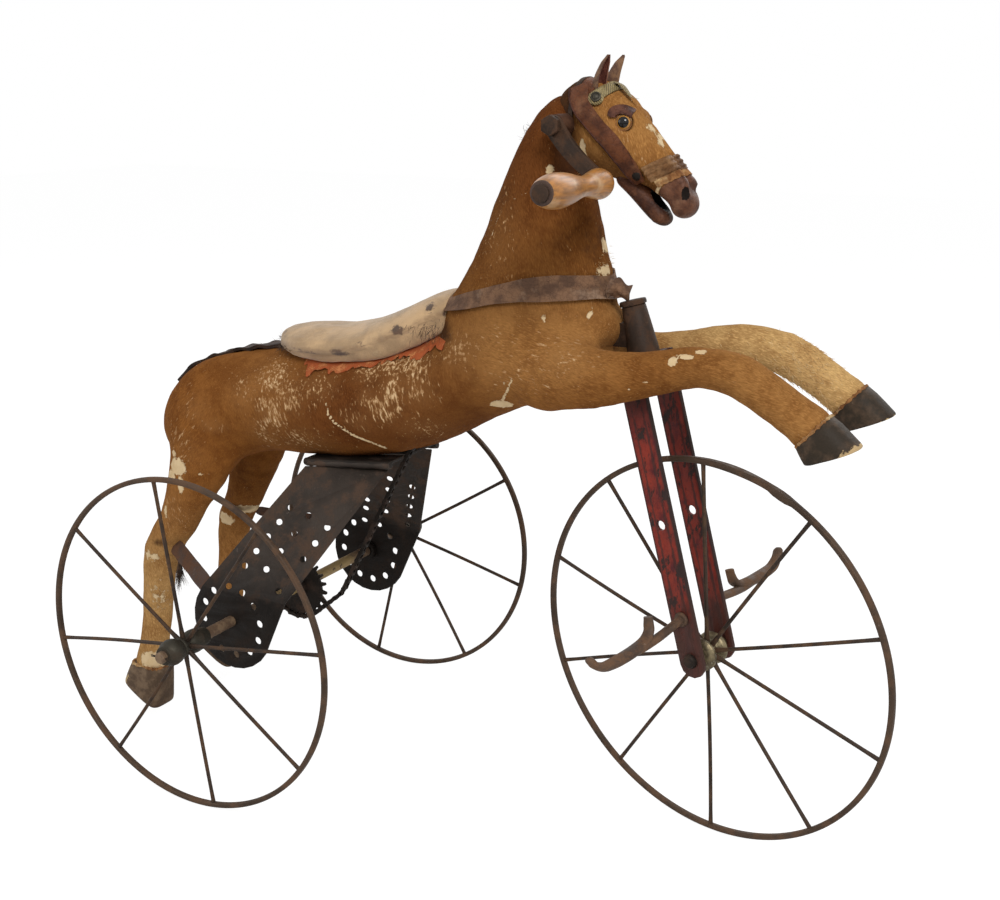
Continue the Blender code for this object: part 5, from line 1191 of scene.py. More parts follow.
def hair_flow(points):
    """Shares of the three hair angles: rump, barrel with neck and thighs, chest with forelegs."""
    x, z = points[:, 0], points[:, 2]
    rump = np.clip((-0.02 - x) / 0.10, 0, 1) * np.clip((z + 0.10) / 0.08, 0, 1)
    chest = np.clip((x - 0.27) / 0.08, 0, 1) * np.clip((0.235 - z) / 0.04, 0, 1)
    return np.stack((rump, 1 - rump - chest, chest), -1)


def build_hide():
    """One glued hide covers torso, neck and legs, so one skin stands for them."""
    points, quads = surface(hide_field, (-0.250, -0.108, -0.372), (0.752, 0.108, 0.462), HIDE_STEP)
    points = relaxed(points, quads, 3)
    normals = unit(slope(body_field, points))
    points = points + normals * (lumps(points, 0.034, 3) * 0.0012 + lumps(points, 0.011, 4) * 0.0004)[:, None]
    seam = np.maximum(line_mark(points, SEAM, -1, 0.006), line_mark(points, NECK_SEAM, -1, 0.005))
    tear = patch(points, ((0.345, -1, 0.101, 0.011, 0.007, 1.0),))
    points = points + normals * (0.0009 * seam - 0.003 * tear)[:, None]
    bare = np.maximum(patch(points, BARE), line_mark(points, SEAM, -1, 0.0035) * 1.1)
    bare = np.maximum(bare, line_mark(points, NECK_SEAM, -1, 0.0025) * 0.6)
    bare = np.maximum(bare, line_mark(points, TEAR, -1, 0.0030) * 0.95)
    marks = {"coat": coat_shades(points), "worn": patch(points, WORN), "bare": bare,
             "grime": patch(points, DIRT_AND_SHADE), "flow": hair_flow(points)}
    solid = (horse(points), quads.tolist())
    nodes = ("torso", "neck", "right_fore_leg", "left_fore_leg", "right_hind_leg", "left_hind_leg")
    piece("hide_skin", solid, finish(hide_hair), "horse", nodes, marks)
    rng = np.random.default_rng(200)
    shaggy = np.flatnonzero((points[:, 0] > 0.575) & (points[:, 0] < 0.724) & (points[:, 1] > 0.03))
    roots = rng.choice(shaggy, 1100, p=unit_sum(0.15 + np.exp(-((points[shaggy, 0] - 0.68) / 0.03) ** 2)))
    ways = unit(np.array((0.76, -0.06, -0.52)) + normals[roots] * 0.04 + rng.normal(0, 0.22, (len(roots), 3)))
    solid = strands(points[roots], ways, rng.uniform(0.004, 0.008, len(roots)), 0.00036, 0.0, 201, 0.30)
    piece("shaggy_foreleg_hair", (horse(solid[0]), solid[1]), finish(pale_hair), "horse")


def unit_sum(values):
    """Values scaled to add up to 1."""
    return values / values.sum()


def build_hooves():
    """Cone between a top oval and a sole oval, its sole edge rounded."""
    for word, side in SIDES:
        for leg, (top, sole), y in (("fore", FORE_HOOF, FORE_SPREAD), ("hind", HIND_HOOF, HIND_SPREAD)):
            rows = []
            for t, grow in ((0, -0.03), (0.02, 0.0), (0.3, 0.0), (0.6, 0.0), (0.9, 0.0), (0.97, -0.01),
                            (1.0, -0.05), (1.0, -0.3), (1.0, -0.8)):
                rows.append(np.array(top) + (np.array(sole) - np.array(top)) * t)
                rows[-1][2:4] *= 1 + grow
            turn = np.linspace(0, math.tau, 48, endpoint=False)
            square = 0.80 if leg == "fore" else 0.50
            c, s = squared(turn, square)
            rings = []
            for x, height, length, width, tilt in rows:
                lean = math.radians(tilt)
                along = np.array((math.cos(lean), 0, math.sin(lean)))
                height += FAR_LIFT * (side > 0) * (leg == "fore")
                rings.append(np.array((x, side * y, height)) + c[:, None] * along * length
                             + s[:, None] * np.array((0, 1, 0)) * width)
            points, faces = loft(rings)
            points = points + (lumps(points, 0.012, 7)[:, None] * 0.0005)
            toe = np.array((0.778, 0, 0.1030)) if leg == "fore" else np.array((-0.262, 0, -0.376))
            away = (points - toe)[:, [0, 2]]
            chip = 1.1 - np.hypot(away @ (0.92, 0.39) / 0.034, away @ (-0.39, 0.92) / 0.015)
            horn = finish(hoof_horn, "black_fore_hoof", (0.027, 0.019, 0.012), (0.070, 0.044, 0.027))
            if leg == "hind":
                horn = finish(hoof_horn, "brown_hind_hoof", (0.085, 0.053, 0.032), (0.175, 0.115, 0.070))
            piece(f"{word}_{leg}_hoof_worn", (horse(points), faces), horn, "horse",
                  (f"{word}_{leg}_hoof",), {"chip": np.clip(chip, 0, 1)}, soft=50)
            rim = rings[0] + (rings[0] - rings[1]) * 0.6
            ragged = 0.0019 + 0.0007 * np.sin(17 * turn) + 0.0005 * np.sin(29 * turn + 1)
            cuff, faces = hoop(rim, ragged, 8, (0, 0, 1))
            cuff = cuff + lumps(cuff, 0.004, 8)[:, None] * 0.0007
            piece(f"{word}_{leg}_torn_cuff", (horse(cuff), faces), finish(leather, "edge"), "horse")


def build_head():
    """Head in three materials, with the bare muzzle and the dark mouth, and the jaw."""
    points, quads = surface(head_field, (0.380, -0.052, 0.314), (0.575, 0.052, 0.492), HEAD_STEP)
    points = relaxed(points, quads, 2)
    normals = unit(slope(head_field, points))
    points = points + normals * (lumps(points, 0.020, 9) * 0.0006)[:, None]
    along = (points[:, 0] - 0.404) * 0.80 - (points[:, 2] - 0.450) * 0.60
    muzzle = np.clip((along - 0.1535 + lumps(points, 0.006, 11) * 0.0022) / 0.0015, 0, 1)
    inside = ball(mirrored(points), (0.520, 0.0, 0.3405), (0.036, 0.0155, 0.0135)) < 0
    inside |= ball(mirrored(points), (0.5565, 0.0190, 0.3550), (0.0036, 0.0085, 0.0068)) < 0.0002
    face = np.tile(FACE_HAIR, (len(points), 1))
    low = np.clip((0.405 - points[:, 2] - (points[:, 0] - 0.46) * 0.4) / 0.02, 0, 1)[:, None]
    poll = np.clip((0.442 - points[:, 0]) / 0.02, 0, 1)[:, None]
    face = face + (FACE_SHADOW - face) * np.maximum(low * 0.8, poll * 0.9)
    # Painted highlight: pale spots along the ridge of the nose. The pale throat hair and the pale hem where
    # the muzzle starts are the hide's own
    ridge_highlight = np.clip((0.019 - np.abs(points[:, 1])) / 0.008, 0, 1)
    pale = patch(points, ((0.506, -1, 0.4230, 0.009, 0.009, 0.72), (0.519, -1, 0.4060, 0.006, 0.012, 0.70),
                          (0.512, 1, 0.4120, 0.012, 0.012, 0.70))) * ridge_highlight
    throat = patch(points, ((0.440, -1, 0.400, 0.006, 0.016, 0.95), (0.440, 1, 0.400, 0.006, 0.016, 0.9)))
    hem = np.clip(1 - np.abs(along - 0.1515) / 0.0036, 0, 1) * 1.2
    pale = np.maximum(np.maximum(pale, throat), hem)
    worn = np.full(len(points), 0.10)
    solid = (horse(points), quads.tolist())
    flow = np.tile((0.0, 1.0, 0.0), (len(points), 1))
    # Painted shade: the back of the head darkens where it meets the neck
    back = np.clip((0.436 - points[:, 0]) / 0.02, 0, 0.8)
    item = piece("head_hide", solid, finish(hide_hair), "horse", ("head",), {"coat": face,
                 "worn": worn, "bare": pale, "grime": back, "flow": flow})
    item.data.materials.append(finish(leather, "muzzle"))
    item.data.materials.append(finish(black_inside))
    zone = np.where(inside, 2, np.where(muzzle > 0.5, 1, 0))[quads].max(1)
    item.data.polygons.foreach_set("material_index", zone.astype(np.int32))
    points, quads = surface(jaw_field, (0.455, -0.030, 0.305), (0.545, 0.030, 0.392), HEAD_STEP)
    points = relaxed(points, quads, 2)
    inside = ball(mirrored(points), (0.524, 0.0, 0.345), (0.0275, 0.0120, 0.0128)) < 0
    jaw = piece("lower_jaw_leather", (horse(points), quads.tolist()), finish(leather, "jaw"), "horse",
                ("lower_jaw",))
    jaw.data.materials.append(finish(black_inside))
    jaw.data.polygons.foreach_set("material_index", inside[quads].max(1).astype(np.int32))


def build_eyes():
    """Glass ball with a pupil, in a leather lid, under a torn brow patch."""
    for word, side in SIDES:
        centre = horse((EYE[0], side * EYE[1], EYE[2]))
        look = unit((0.25, side, 0.12))
        turn = np.linspace(0, math.pi, 33)
        profile = np.stack((np.sin(turn), -np.cos(turn)), -1) * EYE_RADIUS
        profile[[0, -1], 0] = 0.00005
        points, faces = spun(profile, 40, centre, look)
        away = np.degrees(np.arccos(np.clip(unit(points - centre) @ look, -1, 1)))
        piece(f"{word}_glass_eye", (points, faces), finish(eye_glass), "horse", (f"{word}_eye",),
              {"ring": np.clip(away / 60.0, 0, 1.2)})
        rim = np.linspace(0, math.tau, 49)[:-1]
        one = unit(np.cross(look, (0, 0, 1)))
        two = np.cross(look, one)
        path = centre + look * 0.0040 + 0.0084 * (np.cos(rim)[:, None] * one + np.sin(rim)[:, None] * two)
        piece(f"{word}_eyelid", hoop(path, 0.0010 + 0.0003 * np.sin(rim), 10, look), finish(leather,
              "edge"), "horse")
        route = ((0.4705, 0.4365, 0.35), (0.4735, 0.4395, 1.0), (0.4775, 0.4420, 1.05), (0.4820, 0.4428, 0.9),
                 (0.4865, 0.4415, 0.75), (0.4900, 0.4385, 0.70), (0.4915, 0.4340, 0.35))
        route = [(x - 0.006 * (side > 0), z - 0.008 * (side > 0), wide) for x, z, wide in route]
        grid, normals, _ = band(route, 0.0116, head_field, side, wave=0.0006, seed=30)
        points, faces = slab(grid, normals, 0.0012)
        piece(f"{word}_brow_patch", (horse(points), faces), finish(leather, "brow"), "horse")


def build_ears():
    """Leaf-shaped shell: an open oval that narrows to a tip, its wall a thin slab."""
    for word, side in SIDES:
        u = np.linspace(0, 1, 22)[:, None]
        v = np.linspace(-1, 1, 25)[None, :]
        axis = smoothed(((0.4490, 0.0165, 0.456), (0.4500, 0.0180, 0.466), (0.4525, 0.0190, 0.479),
                         (0.4570, 0.0200, 0.491), (0.4620, 0.0208, 0.5012)), 7)
        share = np.linspace(0, 1, len(axis))
        centre = np.stack([np.interp(u[:, 0], share, axis[:, k]) for k in range(3)], -1)
        half = np.interp(u[:, 0], (0, 0.25, 0.5, 0.8, 1), (0.0070, 0.0088, 0.0088, 0.0056, 0.0007))[:, None]
        wrap = np.radians(np.interp(u[:, 0], (0, 0.3, 1), (160, 118, 105)))[:, None]
        turn = v * wrap
        back = -np.cos(turn) * half
        across = np.sin(turn) * half * 0.62
        swing = math.radians(-32) * side
        x = centre[:, None, 0] + back * math.cos(swing) + across * math.sin(swing)
        y = side * centre[:, None, 1] + (-back * math.sin(swing) + across * math.cos(swing))
        z = np.broadcast_to(centre[:, None, 2], x.shape) + 0.0012 * np.sin(7 * v) * u
        grid = np.stack((x, y, z), -1)
        normal = unit(np.stack((-np.cos(turn) * math.cos(swing) + np.sin(turn) * math.sin(swing),
                                np.cos(turn) * math.sin(swing) + np.sin(turn) * math.cos(swing),
                                np.zeros_like(turn)), -1))
        points, faces = slab(grid, normal, 0.0013)
        inner = np.zeros(len(points))
        ring = np.arange(len(points) - 2) % 50 >= 25
        inner[:-2] = ring
        piece(f"{word}_ear_leaf", (horse(points), faces), finish(ear_leather), "horse",
              (f"{word}_ear",), {"inside": inner})


def band(route, width, field, side, start=0.05, rows=9, count=40, wave=0.0, seed=1):
    """Strap laid on a field: a route (x, height) with its width, on one side of the head."""
    route = smoothed(route, 10)
    reach = np.concatenate(([0], np.cumsum(np.linalg.norm(np.diff(route[:, :2], axis=0), axis=1))))
    at = np.linspace(0, reach[-1], count)
    x = np.interp(at, reach, route[:, 0])
    z = np.interp(at, reach, route[:, 1])
    wide = np.interp(at, reach, route[:, 2]) * width
    run = unit(np.stack((np.gradient(x), np.gradient(z)), -1))
    across = np.stack((-run[:, 1], run[:, 0]), -1)
    v = np.linspace(-0.5, 0.5, rows)
    flat_x = x[:, None] + across[:, 0, None] * v * wide[:, None]
    flat_z = z[:, None] + across[:, 1, None] * v * wide[:, None]
    grid = np.stack((flat_x, np.full_like(flat_x, side * start), flat_z), -1)
    inner = grid * (1, 0.02, 1)
    lift = 0.0006 + wave * (lumps(grid.reshape(-1, 3), 0.012, seed).reshape(grid.shape[:-1]) * 0.5 + 0.5)
    grid, normals = cast(inner, grid, field, lift)
    threads = np.stack(np.broadcast_arrays(at[:, None], v[None, :] * width), -1)
    return grid, normals, threads


def band_threads(threads):
    """Strap coordinates for the points of slab(): out along the face and back under it."""
    ring = np.concatenate((threads, threads[:, ::-1]), axis=1).reshape(-1, 2)
    return np.vstack((ring, ring[:1], ring[-1:]))


def build_bridle():
    """Cheek straps, studs and rosettes on both sides, then the bands over the head."""
    thick = sizes().strap_thickness
    for word, side in SIDES:
        route = ((0.4270, 0.4680, 1.1), (0.4315, 0.4570, 1.2), (0.4400, 0.4430, 1.1), (0.4570, 0.4265, 1.0),
                 (0.4760, 0.4080, 1.0), (0.4915, 0.3875, 0.95), (0.5000, 0.3730, 0.9), (0.5030, 0.3650, 0.8))
        grid, normals, threads = band(route, 0.0185, head_field, side, wave=0.0012, seed=20 + side)
        points, faces = slab(grid, normals, thick)
        piece(f"{word}_cheek_leather", (horse(points), faces), finish(leather, "bridle"), "horse",
              (f"{word}_cheek_strap",))
        welt = swept(grid[:, 0] + normals[:, 0] * thick, 0.0011, 8, (0, 1, 0))
        piece(f"{word}_cheek_welt", loft(horse(welt)), finish(leather, "brow"), "horse")
        place, out = laid(np.array([[0.5030, side * 0.03, 0.3700]]), head_field, 0.0020)
        stud = [(0.0001, 0.0032), (0.0022, 0.0030), (0.0040, 0.0018), (0.0062, 0.0008), (0.0064, -0.0010),
                (0.0001, -0.0010)]
        piece(f"{word}_ring_stud", spun(stud, 24, horse(place[0]), out[0]), finish(iron, "black"), "horse")
        place, out = laid(np.array([[0.4520, side * 0.03, 0.4545]]), head_field, 0.0040)
        button = [(0.0001, 0.0036), (0.0026, 0.0032), (0.0038, 0.0020), (0.0044, 0.0026), (0.0058, 0.0022),
                  (0.0062, 0.0006), (0.0054, -0.0012), (0.0001, -0.0012)]
        piece(f"{word}_rosette", spun(button, 28, horse(place[0]), out[0]), finish(iron, "hub"), "horse")
        frill, faces = spun(((0.0001, 0.0006), (0.0050, 0.0010), (0.0078, 0.0002), (0.0088, -0.0010),
                             (0.0060, -0.0016), (0.0001, -0.0016)), 60, horse(place[0]), out[0])
        frill = frill + lumps(frill, 0.0030, 21)[:, None] * out[0] * 0.0009
        threads = (frill - horse(place[0]))[:, [0, 2]]
        piece(f"{word}_rosette_frill", (frill, faces), finish(woven_band), "horse",
              threads=threads)
    around = np.linspace(-1, 1, 61)
    v = np.linspace(-0.5, 0.5, 25)
    build_noseband(around, v, thick)
    build_browband(around, v, thick)


def over_nose(around, v, centre, lean, width, reach, field, lift):
    """Strip over the head from one side to the other, in a plane that leans, laid on a field."""
    turn = around[:, None] * reach
    along = np.array((math.cos(lean), 0.0, math.sin(lean)))
    up = np.array((-math.sin(lean), 0.0, math.cos(lean)))
    inner = np.array(centre) + np.broadcast_to(v * width, (len(around), len(v)))[..., None] * along
    ways = np.sin(turn)[..., None] * np.array((0, 1.0, 0)) + np.cos(turn)[..., None] * up
    return cast(inner, inner + ways * 0.055, field, lift)


def head_and_neck(points):
    """Head and neck, whichever is nearer."""
    return np.minimum(head_field(points), neck_field(points))


def build_noseband(around, v, thick):
    """Pleated leather over the nose, torn hide under it, the strap behind the ears, and the crown."""
    pleats = 0.0008 + 0.0007 * np.cos(v * 19 + 1.3 * np.sin(around * 5 + 0.5)[:, None])
    pleats = pleats + 0.0004 * np.sin(around * 23)[:, None]
    grid, normals = over_nose(around, v, (0.5230, 0, 0.3790), math.radians(-63), 0.0190, math.radians(112),
                              head_field, pleats)
    points, faces = slab(grid, normals, thick * 0.8)
    piece("pleated_noseband", (horse(points), faces), finish(leather, "pleat"), "horse",
          ("noseband",))
    wide = 0.0075 + 0.0022 * np.abs(np.sin(around * 19))[:, None]
    grid, normals = over_nose(around, v, (0.5290, 0, 0.3670), math.radians(-63), wide, math.radians(106),
                              head_field, 0.0003)
    points, faces = slab(grid, normals, 0.0010)
    piece("torn_nose_edge", (horse(points), faces), finish(leather, "edge"), "horse")
    grid, normals = over_nose(around, v, (0.4235, 0, 0.4480), math.radians(-6), 0.0060, math.radians(112),
                              head_and_neck, 0.0006)
    points, faces = slab(grid, normals, thick * 0.8)
    piece("crown_strap", (horse(points), faces), finish(leather, "strip"), "horse")
    wide = 0.0200 + 0.0012 * np.sin(around * 11)[:, None]
    grid, normals = over_nose(around, v, (0.4345, 0, 0.4400), math.radians(-4), wide, math.radians(78),
                              head_field, 0.0003)
    points, faces = slab(grid, normals, 0.0010)
    piece("crown_leather", (horse(points), faces), finish(leather, "bridle"), "horse")


def build_browband(around, v, thick):
    """Woven band over the brow, with a loose pointed end."""
    grid, normals = over_nose(around, v, (0.4318, 0, 0.4403), math.radians(-49), 0.0130, math.radians(78),
                              head_field, 0.0012)
    points, faces = slab(grid, normals, thick * 0.8)
    threads = band_threads(np.stack(np.broadcast_arrays(around[:, None] * 0.055, v[None, :] * 0.0115), -1))
    piece("woven_browband", (horse(points), faces), finish(woven_band), "horse", ("browband",),
          threads=threads)
    path = smoothed(((0.4640, -0.004, 0.4720), (0.4720, -0.006, 0.4690), (0.4800, -0.010, 0.4625),
                     (0.4870, -0.013, 0.4565), (0.4965, -0.014, 0.4550)), 6)
    wide = np.interp(np.linspace(0, 1, len(path)), (0, 0.5, 1), (0.0064, 0.0044, 0.0004))
    rings = swept(path, wide, 10, (0.5, 0, 1), 0.16)
    points, faces = loft(rings)
    threads = np.stack((points[:, 0], points[:, 1]), -1)
    piece("loose_braid_end", (horse(points), faces), finish(woven_band), "horse", threads=threads)


def build_collar():
    """Leather band round the foot of the neck, its lower edge turned out."""
    turn = np.linspace(-math.pi, math.pi, 141)[:, None]
    v = np.linspace(-0.5, 0.5, 11)[None, :]
    x = 0.360 + 0.112 * np.cos(turn)
    y = 0.075 * np.sin(turn)
    middle = np.interp(x, (0.24, 0.267, 0.30, 0.34, 0.38, 0.42, 0.46, 0.48),
                       (0.207, 0.213, 0.223, 0.234, 0.242, 0.246, 0.247, 0.243))
    wide = np.interp(x, (0.26, 0.34, 0.40, 0.48), (0.020, 0.024, 0.029, 0.029))
    wide = wide + 0.0012 * np.sin(5 * turn + 0.6)
    grid = np.stack(np.broadcast_arrays(x, y, middle + v * wide), -1)
    flare = np.clip(-v * 2, 0, 1) ** 2 * 0.0022 + 0.0010 + 0.0005 * np.sin(9 * turn + 4 * v)
    grid, normals = laid(grid, neck_foot, flare)
    points, faces = slab(grid, normals, 0.0018)
    piece("breast_collar_leather", (horse(points), faces), finish(leather, "collar"), "horse",
          ("breast_collar",))
    u = np.linspace(0, 1, 18)[:, None]
    v = np.linspace(-0.5, 0.5, 11)[None, :]
    ragged = 1 + 0.16 * np.sin(11 * u + 6 * v)
    x = 0.468 + 0.022 * u + 0.004 * v
    y = -0.026 + 0.014 * u - 0.004 * np.cos(v * 6)
    z = 0.2430 - 0.002 * u + v * 0.024 * ragged * (1 - 0.30 * u) + 0.003 * np.sin(5 * u)
    grid = np.stack(np.broadcast_arrays(x, y, z), -1)
    points, faces = slab(grid, np.broadcast_to(unit((0.5, -0.86, 0.0)), grid.shape), 0.0018)
    piece("torn_collar_flap", (horse(points), faces), finish(leather, "collar"), "horse")


def neck_foot(points):
    """Neck and torso, joined with a filled corner."""
    return joined(neck_field(points), torso_field(points), 0.014)


# Saddle: x, height of the crown, height of the rim and half width
SADDLE = (
    (-0.0125, 0.149, 0.1440, 0.006),
    (-0.011, 0.151, 0.144, 0.014),
    (-0.005, 0.154, 0.1445, 0.025),
    (0.004, 0.158, 0.145, 0.036),
    (0.030, 0.163, 0.145, 0.054),
    (0.060, 0.165, 0.1455, 0.064),
    (0.092, 0.167, 0.1475, 0.067),
    (0.135, 0.177, 0.1545, 0.068),
    (0.185, 0.197, 0.1725, 0.066),
    (0.230, 0.218, 0.194, 0.060),
    (0.255, 0.2255, 0.206, 0.051),
    (0.262, 0.2265, 0.211, 0.046),
)


def build_saddle():
    """Padded seat: for each station a crowned upper face, a rounded edge and a lower face."""
    rows = smoothed(SADDLE, 6)
    torso = smoothed(TORSO, 4)
    count = 45
    a = np.linspace(-1, 1, count)
    rings = []
    for x, top, rim, width in rows:
        drop = 0.006 * np.clip((np.abs(a) - 0.86) / 0.14, 0, 1) ** 2
        crown = rim + (top - rim) * (1 - np.abs(a) ** 2.6) - drop
        edge = sizes().saddle_edge + np.clip((x - 0.12) / 0.14, 0, 1) * 0.006
        top_there, low_there, wide = (np.interp(x, torso[:, 0], torso[:, k]) for k in (1, 2, 3))
        round_off = np.sqrt(np.clip(1 - (width * a / wide) ** 2, 0, 1))
        back = (top_there + low_there) / 2 + (top_there - low_there) / 2 * round_off + 0.0036
        rest = np.minimum(back, rim - edge)
        under = rest + (rim - edge * 0.6 - rest) * np.clip((np.abs(a) - 0.72) / 0.28, 0, 1) ** 1.5
        upper = np.stack((np.full(count, x), width * a, crown), -1)
        lower = np.stack((np.full(count, x), width * a * 0.985, np.minimum(under, crown - 0.004)), -1)
        rings.append(np.concatenate((upper, lower[::-1])))
    points, faces = loft(rings)
    outside = torso_field(points) < 0.0030
    points[outside] = laid(points[outside], torso_field, 0.0030)[0]
    low = np.clip(lumps(points, 0.030, 31) * 0.0014 + lumps(points, 0.011, 32) * 0.0006, -0.0012, 0.003)
    points[:, 2] += low
    stain = patch(points, ((0.118, -1, 0.142, 0.022, 0.007, 0.85), (0.150, -1, 0.156, 0.016, 0.006, 0.75),
                           (0.203, -1, 0.178, 0.013, 0.007, 1.10), (0.243, -1, 0.208, 0.010, 0.006, 0.95),
                           (0.060, -1, 0.138, 0.050, 0.004, 0.65), (0.010, -1, 0.152, 0.014, 0.008, 0.6),
                           (0.265, -1, 0.200, 0.008, 0.016, 0.7), (0.120, 1, 0.150, 0.050, 0.014, 0.8)))
    across = np.abs(points[:, 1]) / np.maximum(np.interp(points[:, 0], rows[:, 0], rows[:, 3]), 0.01)
    seat = piece("suede_saddle", (horse(points), faces), finish(saddle_suede), "horse",
                 ("saddle",), {"stain": stain, "rim": np.clip((across - 0.8) * 4, 0, 1)}, soft=70)
    build_cloth()
    build_croup_strip()


def build_cloth():
    """Torn cloth that hangs out under the saddle, laid on the torso."""
    torso = smoothed(TORSO, 4)
    u = np.linspace(0, 1, 170)[:, None]
    v = np.linspace(-1, 1, 61)[None, :]
    x = 0.020 + 0.250 * u
    top, base, wide = (np.interp(x, torso[:, 0], torso[:, k]) for k in (1, 2, 3))
    spots = np.zeros((170, 3))
    spots[:, 0] = u[:, 0] * 0.24
    rag = (lumps(spots, 0.0045, 41) * 0.0028 + lumps(spots + (0, 1, 0), 0.016, 42) * 0.0042)[:, None]
    hem = ((0.020, 0.130), (0.045, 0.121), (0.060, 0.114), (0.067, 0.103), (0.074, 0.113), (0.090, 0.115),
           (0.111, 0.115), (0.145, 0.123), (0.165, 0.130), (0.199, 0.139), (0.235, 0.147), (0.252, 0.157))
    low = np.interp(x, *zip(*hem)) - rag
    middle = (top + base) / 2
    turn = v * np.arccos(np.clip((low - middle) * 2 / (top - base), -1, 1))
    y = wide * np.sin(turn)
    z = middle + (top - base) / 2 * np.cos(turn)
    grid = np.stack(np.broadcast_arrays(x, y, z), -1)
    lift = 0.0012 + 0.0010 * np.sin(26 * u + 5 * v) * np.abs(v) ** 3
    grid, normals = laid(grid, torso_field, lift)
    points, faces = slab(grid, normals, 0.0008)
    threads = band_threads(np.stack(np.broadcast_arrays(0.232 * u, 0.075 * v), -1))
    cloth = piece("frayed_saddle_cloth", (horse(points), faces), finish(red_weave), "horse",
                  ("saddle_cloth",), threads=threads)


def build_croup_strip():
    """Torn strip of black leather on the croup, its edges uneven and a little lifted."""
    u = np.linspace(0, 1, 90)[:, None]
    v = np.linspace(-1, 1, 13)[None, :]
    x = -0.196 + 0.194 * u
    half = 0.0165 + 0.0022 * np.sin(19 * u) + 0.0012 * np.sin(47 * u + 1)
    y = half * v
    z = np.interp(x, [row[0] for row in TORSO], [row[1] for row in TORSO]) + 0.003
    grid = np.stack(np.broadcast_arrays(x, y, z), -1)
    lift = 0.0010 + 0.0030 * np.abs(v) ** 4 * (1 + np.sin(31 * u + 3 * v)) * 0.5
    grid, normals = laid(grid, torso_field, lift)
    points, faces = slab(grid, normals, 0.0042)
    piece("torn_croup_strip", (horse(points), faces), finish(leather, "strip"), "horse",
          ("croup_strip",), soft=50)


def strands(roots, ways, lengths, radius, droop, seed, curl=0.2):
    """Thin three-sided hairs that leave their roots and droop, all in one mesh."""
    count = len(roots)
    rng = np.random.default_rng(seed)
    t = np.linspace(0, 1, 5)[None, :, None]
    swing = rng.normal(0, curl, (count, 1, 3))
    path = (roots[:, None] + ways[:, None] * lengths[:, None, None] * t
            + swing * lengths[:, None, None] * t ** 2
            + np.array((0, 0, -1.0)) * droop * lengths[:, None, None] * t ** 2)
    run = unit(np.gradient(path, axis=1))
    side = unit(np.cross(run, (0.3, 0.5, 0.8)))
    other = np.cross(run, side)
    turn = np.radians((90, 210, 330))
    thin = radius * (1 - 0.85 * t)[:, :, None]
    rings = path[:, :, None] + thin * (np.cos(turn)[None, None, :, None] * side[:, :, None]
                                       + np.sin(turn)[None, None, :, None] * other[:, :, None])
    points = rings.reshape(-1, 3)
    one = grid_faces(5, 3, True)
    faces = (one[None] + 15 * np.arange(count)[:, None, None]).reshape(-1, 4).tolist()
    for k in range(count):
        faces.extend([[15 * k, 15 * k + 2, 15 * k + 1], [15 * k + 12, 15 * k + 13, 15 * k + 14]])
    return points, faces


def scatter(centre, spread, way, way_spread, count, length, seed):
    """Roots, directions and lengths of a tuft of hair."""
    rng = np.random.default_rng(seed)
    roots = np.array(centre) + rng.normal(0, 1, (count, 3)) * np.array(spread)
    ways = unit(np.array(way) + rng.normal(0, way_spread, (count, 3)))
    return roots, ways, length * rng.uniform(0.5, 1.0, count)


def build_hair():
    """Loose hair: at the saddle's ends, on the crest, at the throat, and what is left of the tail."""
    length = sizes().hair_length
    groups = []
    for spot, spread, way, count, reach in (
            ((-0.006, 0.0, 0.142), (0.004, 0.020, 0.002), (-0.7, 0.0, 0.5), 60, length),
            ((0.020, -0.045, 0.136), (0.008, 0.004, 0.002), (-0.4, -0.6, -0.2), 60, length * 0.8),
            ((0.245, -0.058, 0.180), (0.012, 0.004, 0.008), (0.2, -0.7, -0.5), 90, length * 1.2),
            ((0.245, 0.058, 0.180), (0.012, 0.004, 0.008), (0.2, 0.7, -0.5), 90, length * 1.2),
            ((0.020, 0.045, 0.136), (0.008, 0.004, 0.002), (-0.4, 0.6, -0.2), 60, length * 0.8),
            ((0.352, 0.0, 0.4140), (0.003, 0.004, 0.004), (-0.5, 0.0, 0.8), 26, length * 0.9)):
        roots, ways, reaches = scatter(spot, spread, way, 0.35, count, reach, 50 + len(groups))
        groups.append(strands(roots, ways, reaches, 0.00028, 0.3, 60 + len(groups)))
    points, faces = merged(*groups)
    piece("loose_dark_hair", (horse(points), faces), finish(dark_hair), "horse")
    groups = []
    for side in (-1, 1):
        for spot, spread, way, count, reach in (
                ((0.4390, 0.030, 0.3900), (0.003, 0.004, 0.010), (-0.5, 0.4, -0.6), 90, 0.008),
                ((0.4510, 0.012, 0.2640), (0.001, 0.005, 0.010), (0.9, 0.2, 0.2), 40, 0.006)):
            fold = np.array((1, side, 1))
            roots, ways, reaches = scatter(spot * fold, spread, way * fold, 0.4, count, reach,
                                           70 + len(groups))
            groups.append(strands(roots, ways, reaches, 0.00030, 0.2, 80 + len(groups)))
    points, faces = merged(*groups)
    piece("ragged_throat_hair", (horse(points), faces), finish(pale_hair), "horse")
    route = smoothed(((-0.2020, 0.0, 0.010), (-0.2060, 0.0, -0.050), (-0.2100, -0.004, -0.100),
                      (-0.2140, -0.012, -0.170), (-0.2160, -0.018, -0.212), (-0.2165, -0.020, -0.232)), 6)
    core = loft(swept(route, np.interp(np.linspace(0, 1, len(route)), (0, 0.8, 1), (0.0035, 0.0055, 0.003)),
                      12, (0, 1, 0)))
    at = np.random.default_rng(90).uniform(0.15, 1.0, 420) ** 0.6
    roots = np.stack([np.interp(at, np.linspace(0, 1, len(route)), route[:, k]) for k in range(3)], -1)
    roots = roots + np.random.default_rng(91).normal(0, 0.0022, roots.shape)
    ways = unit(np.array((0, 0, -1.0)) + np.random.default_rng(92).normal(0, 0.16, roots.shape))
    reaches = np.random.default_rng(93).uniform(0.012, 0.030, len(roots))
    hairs = strands(roots, ways, reaches, 0.00035, 0.1, 94, 0.12)
    points, faces = merged(core, hairs)
    piece("horsehair_tail", (horse(points), faces), finish(dark_hair), "horse", ("tail",))


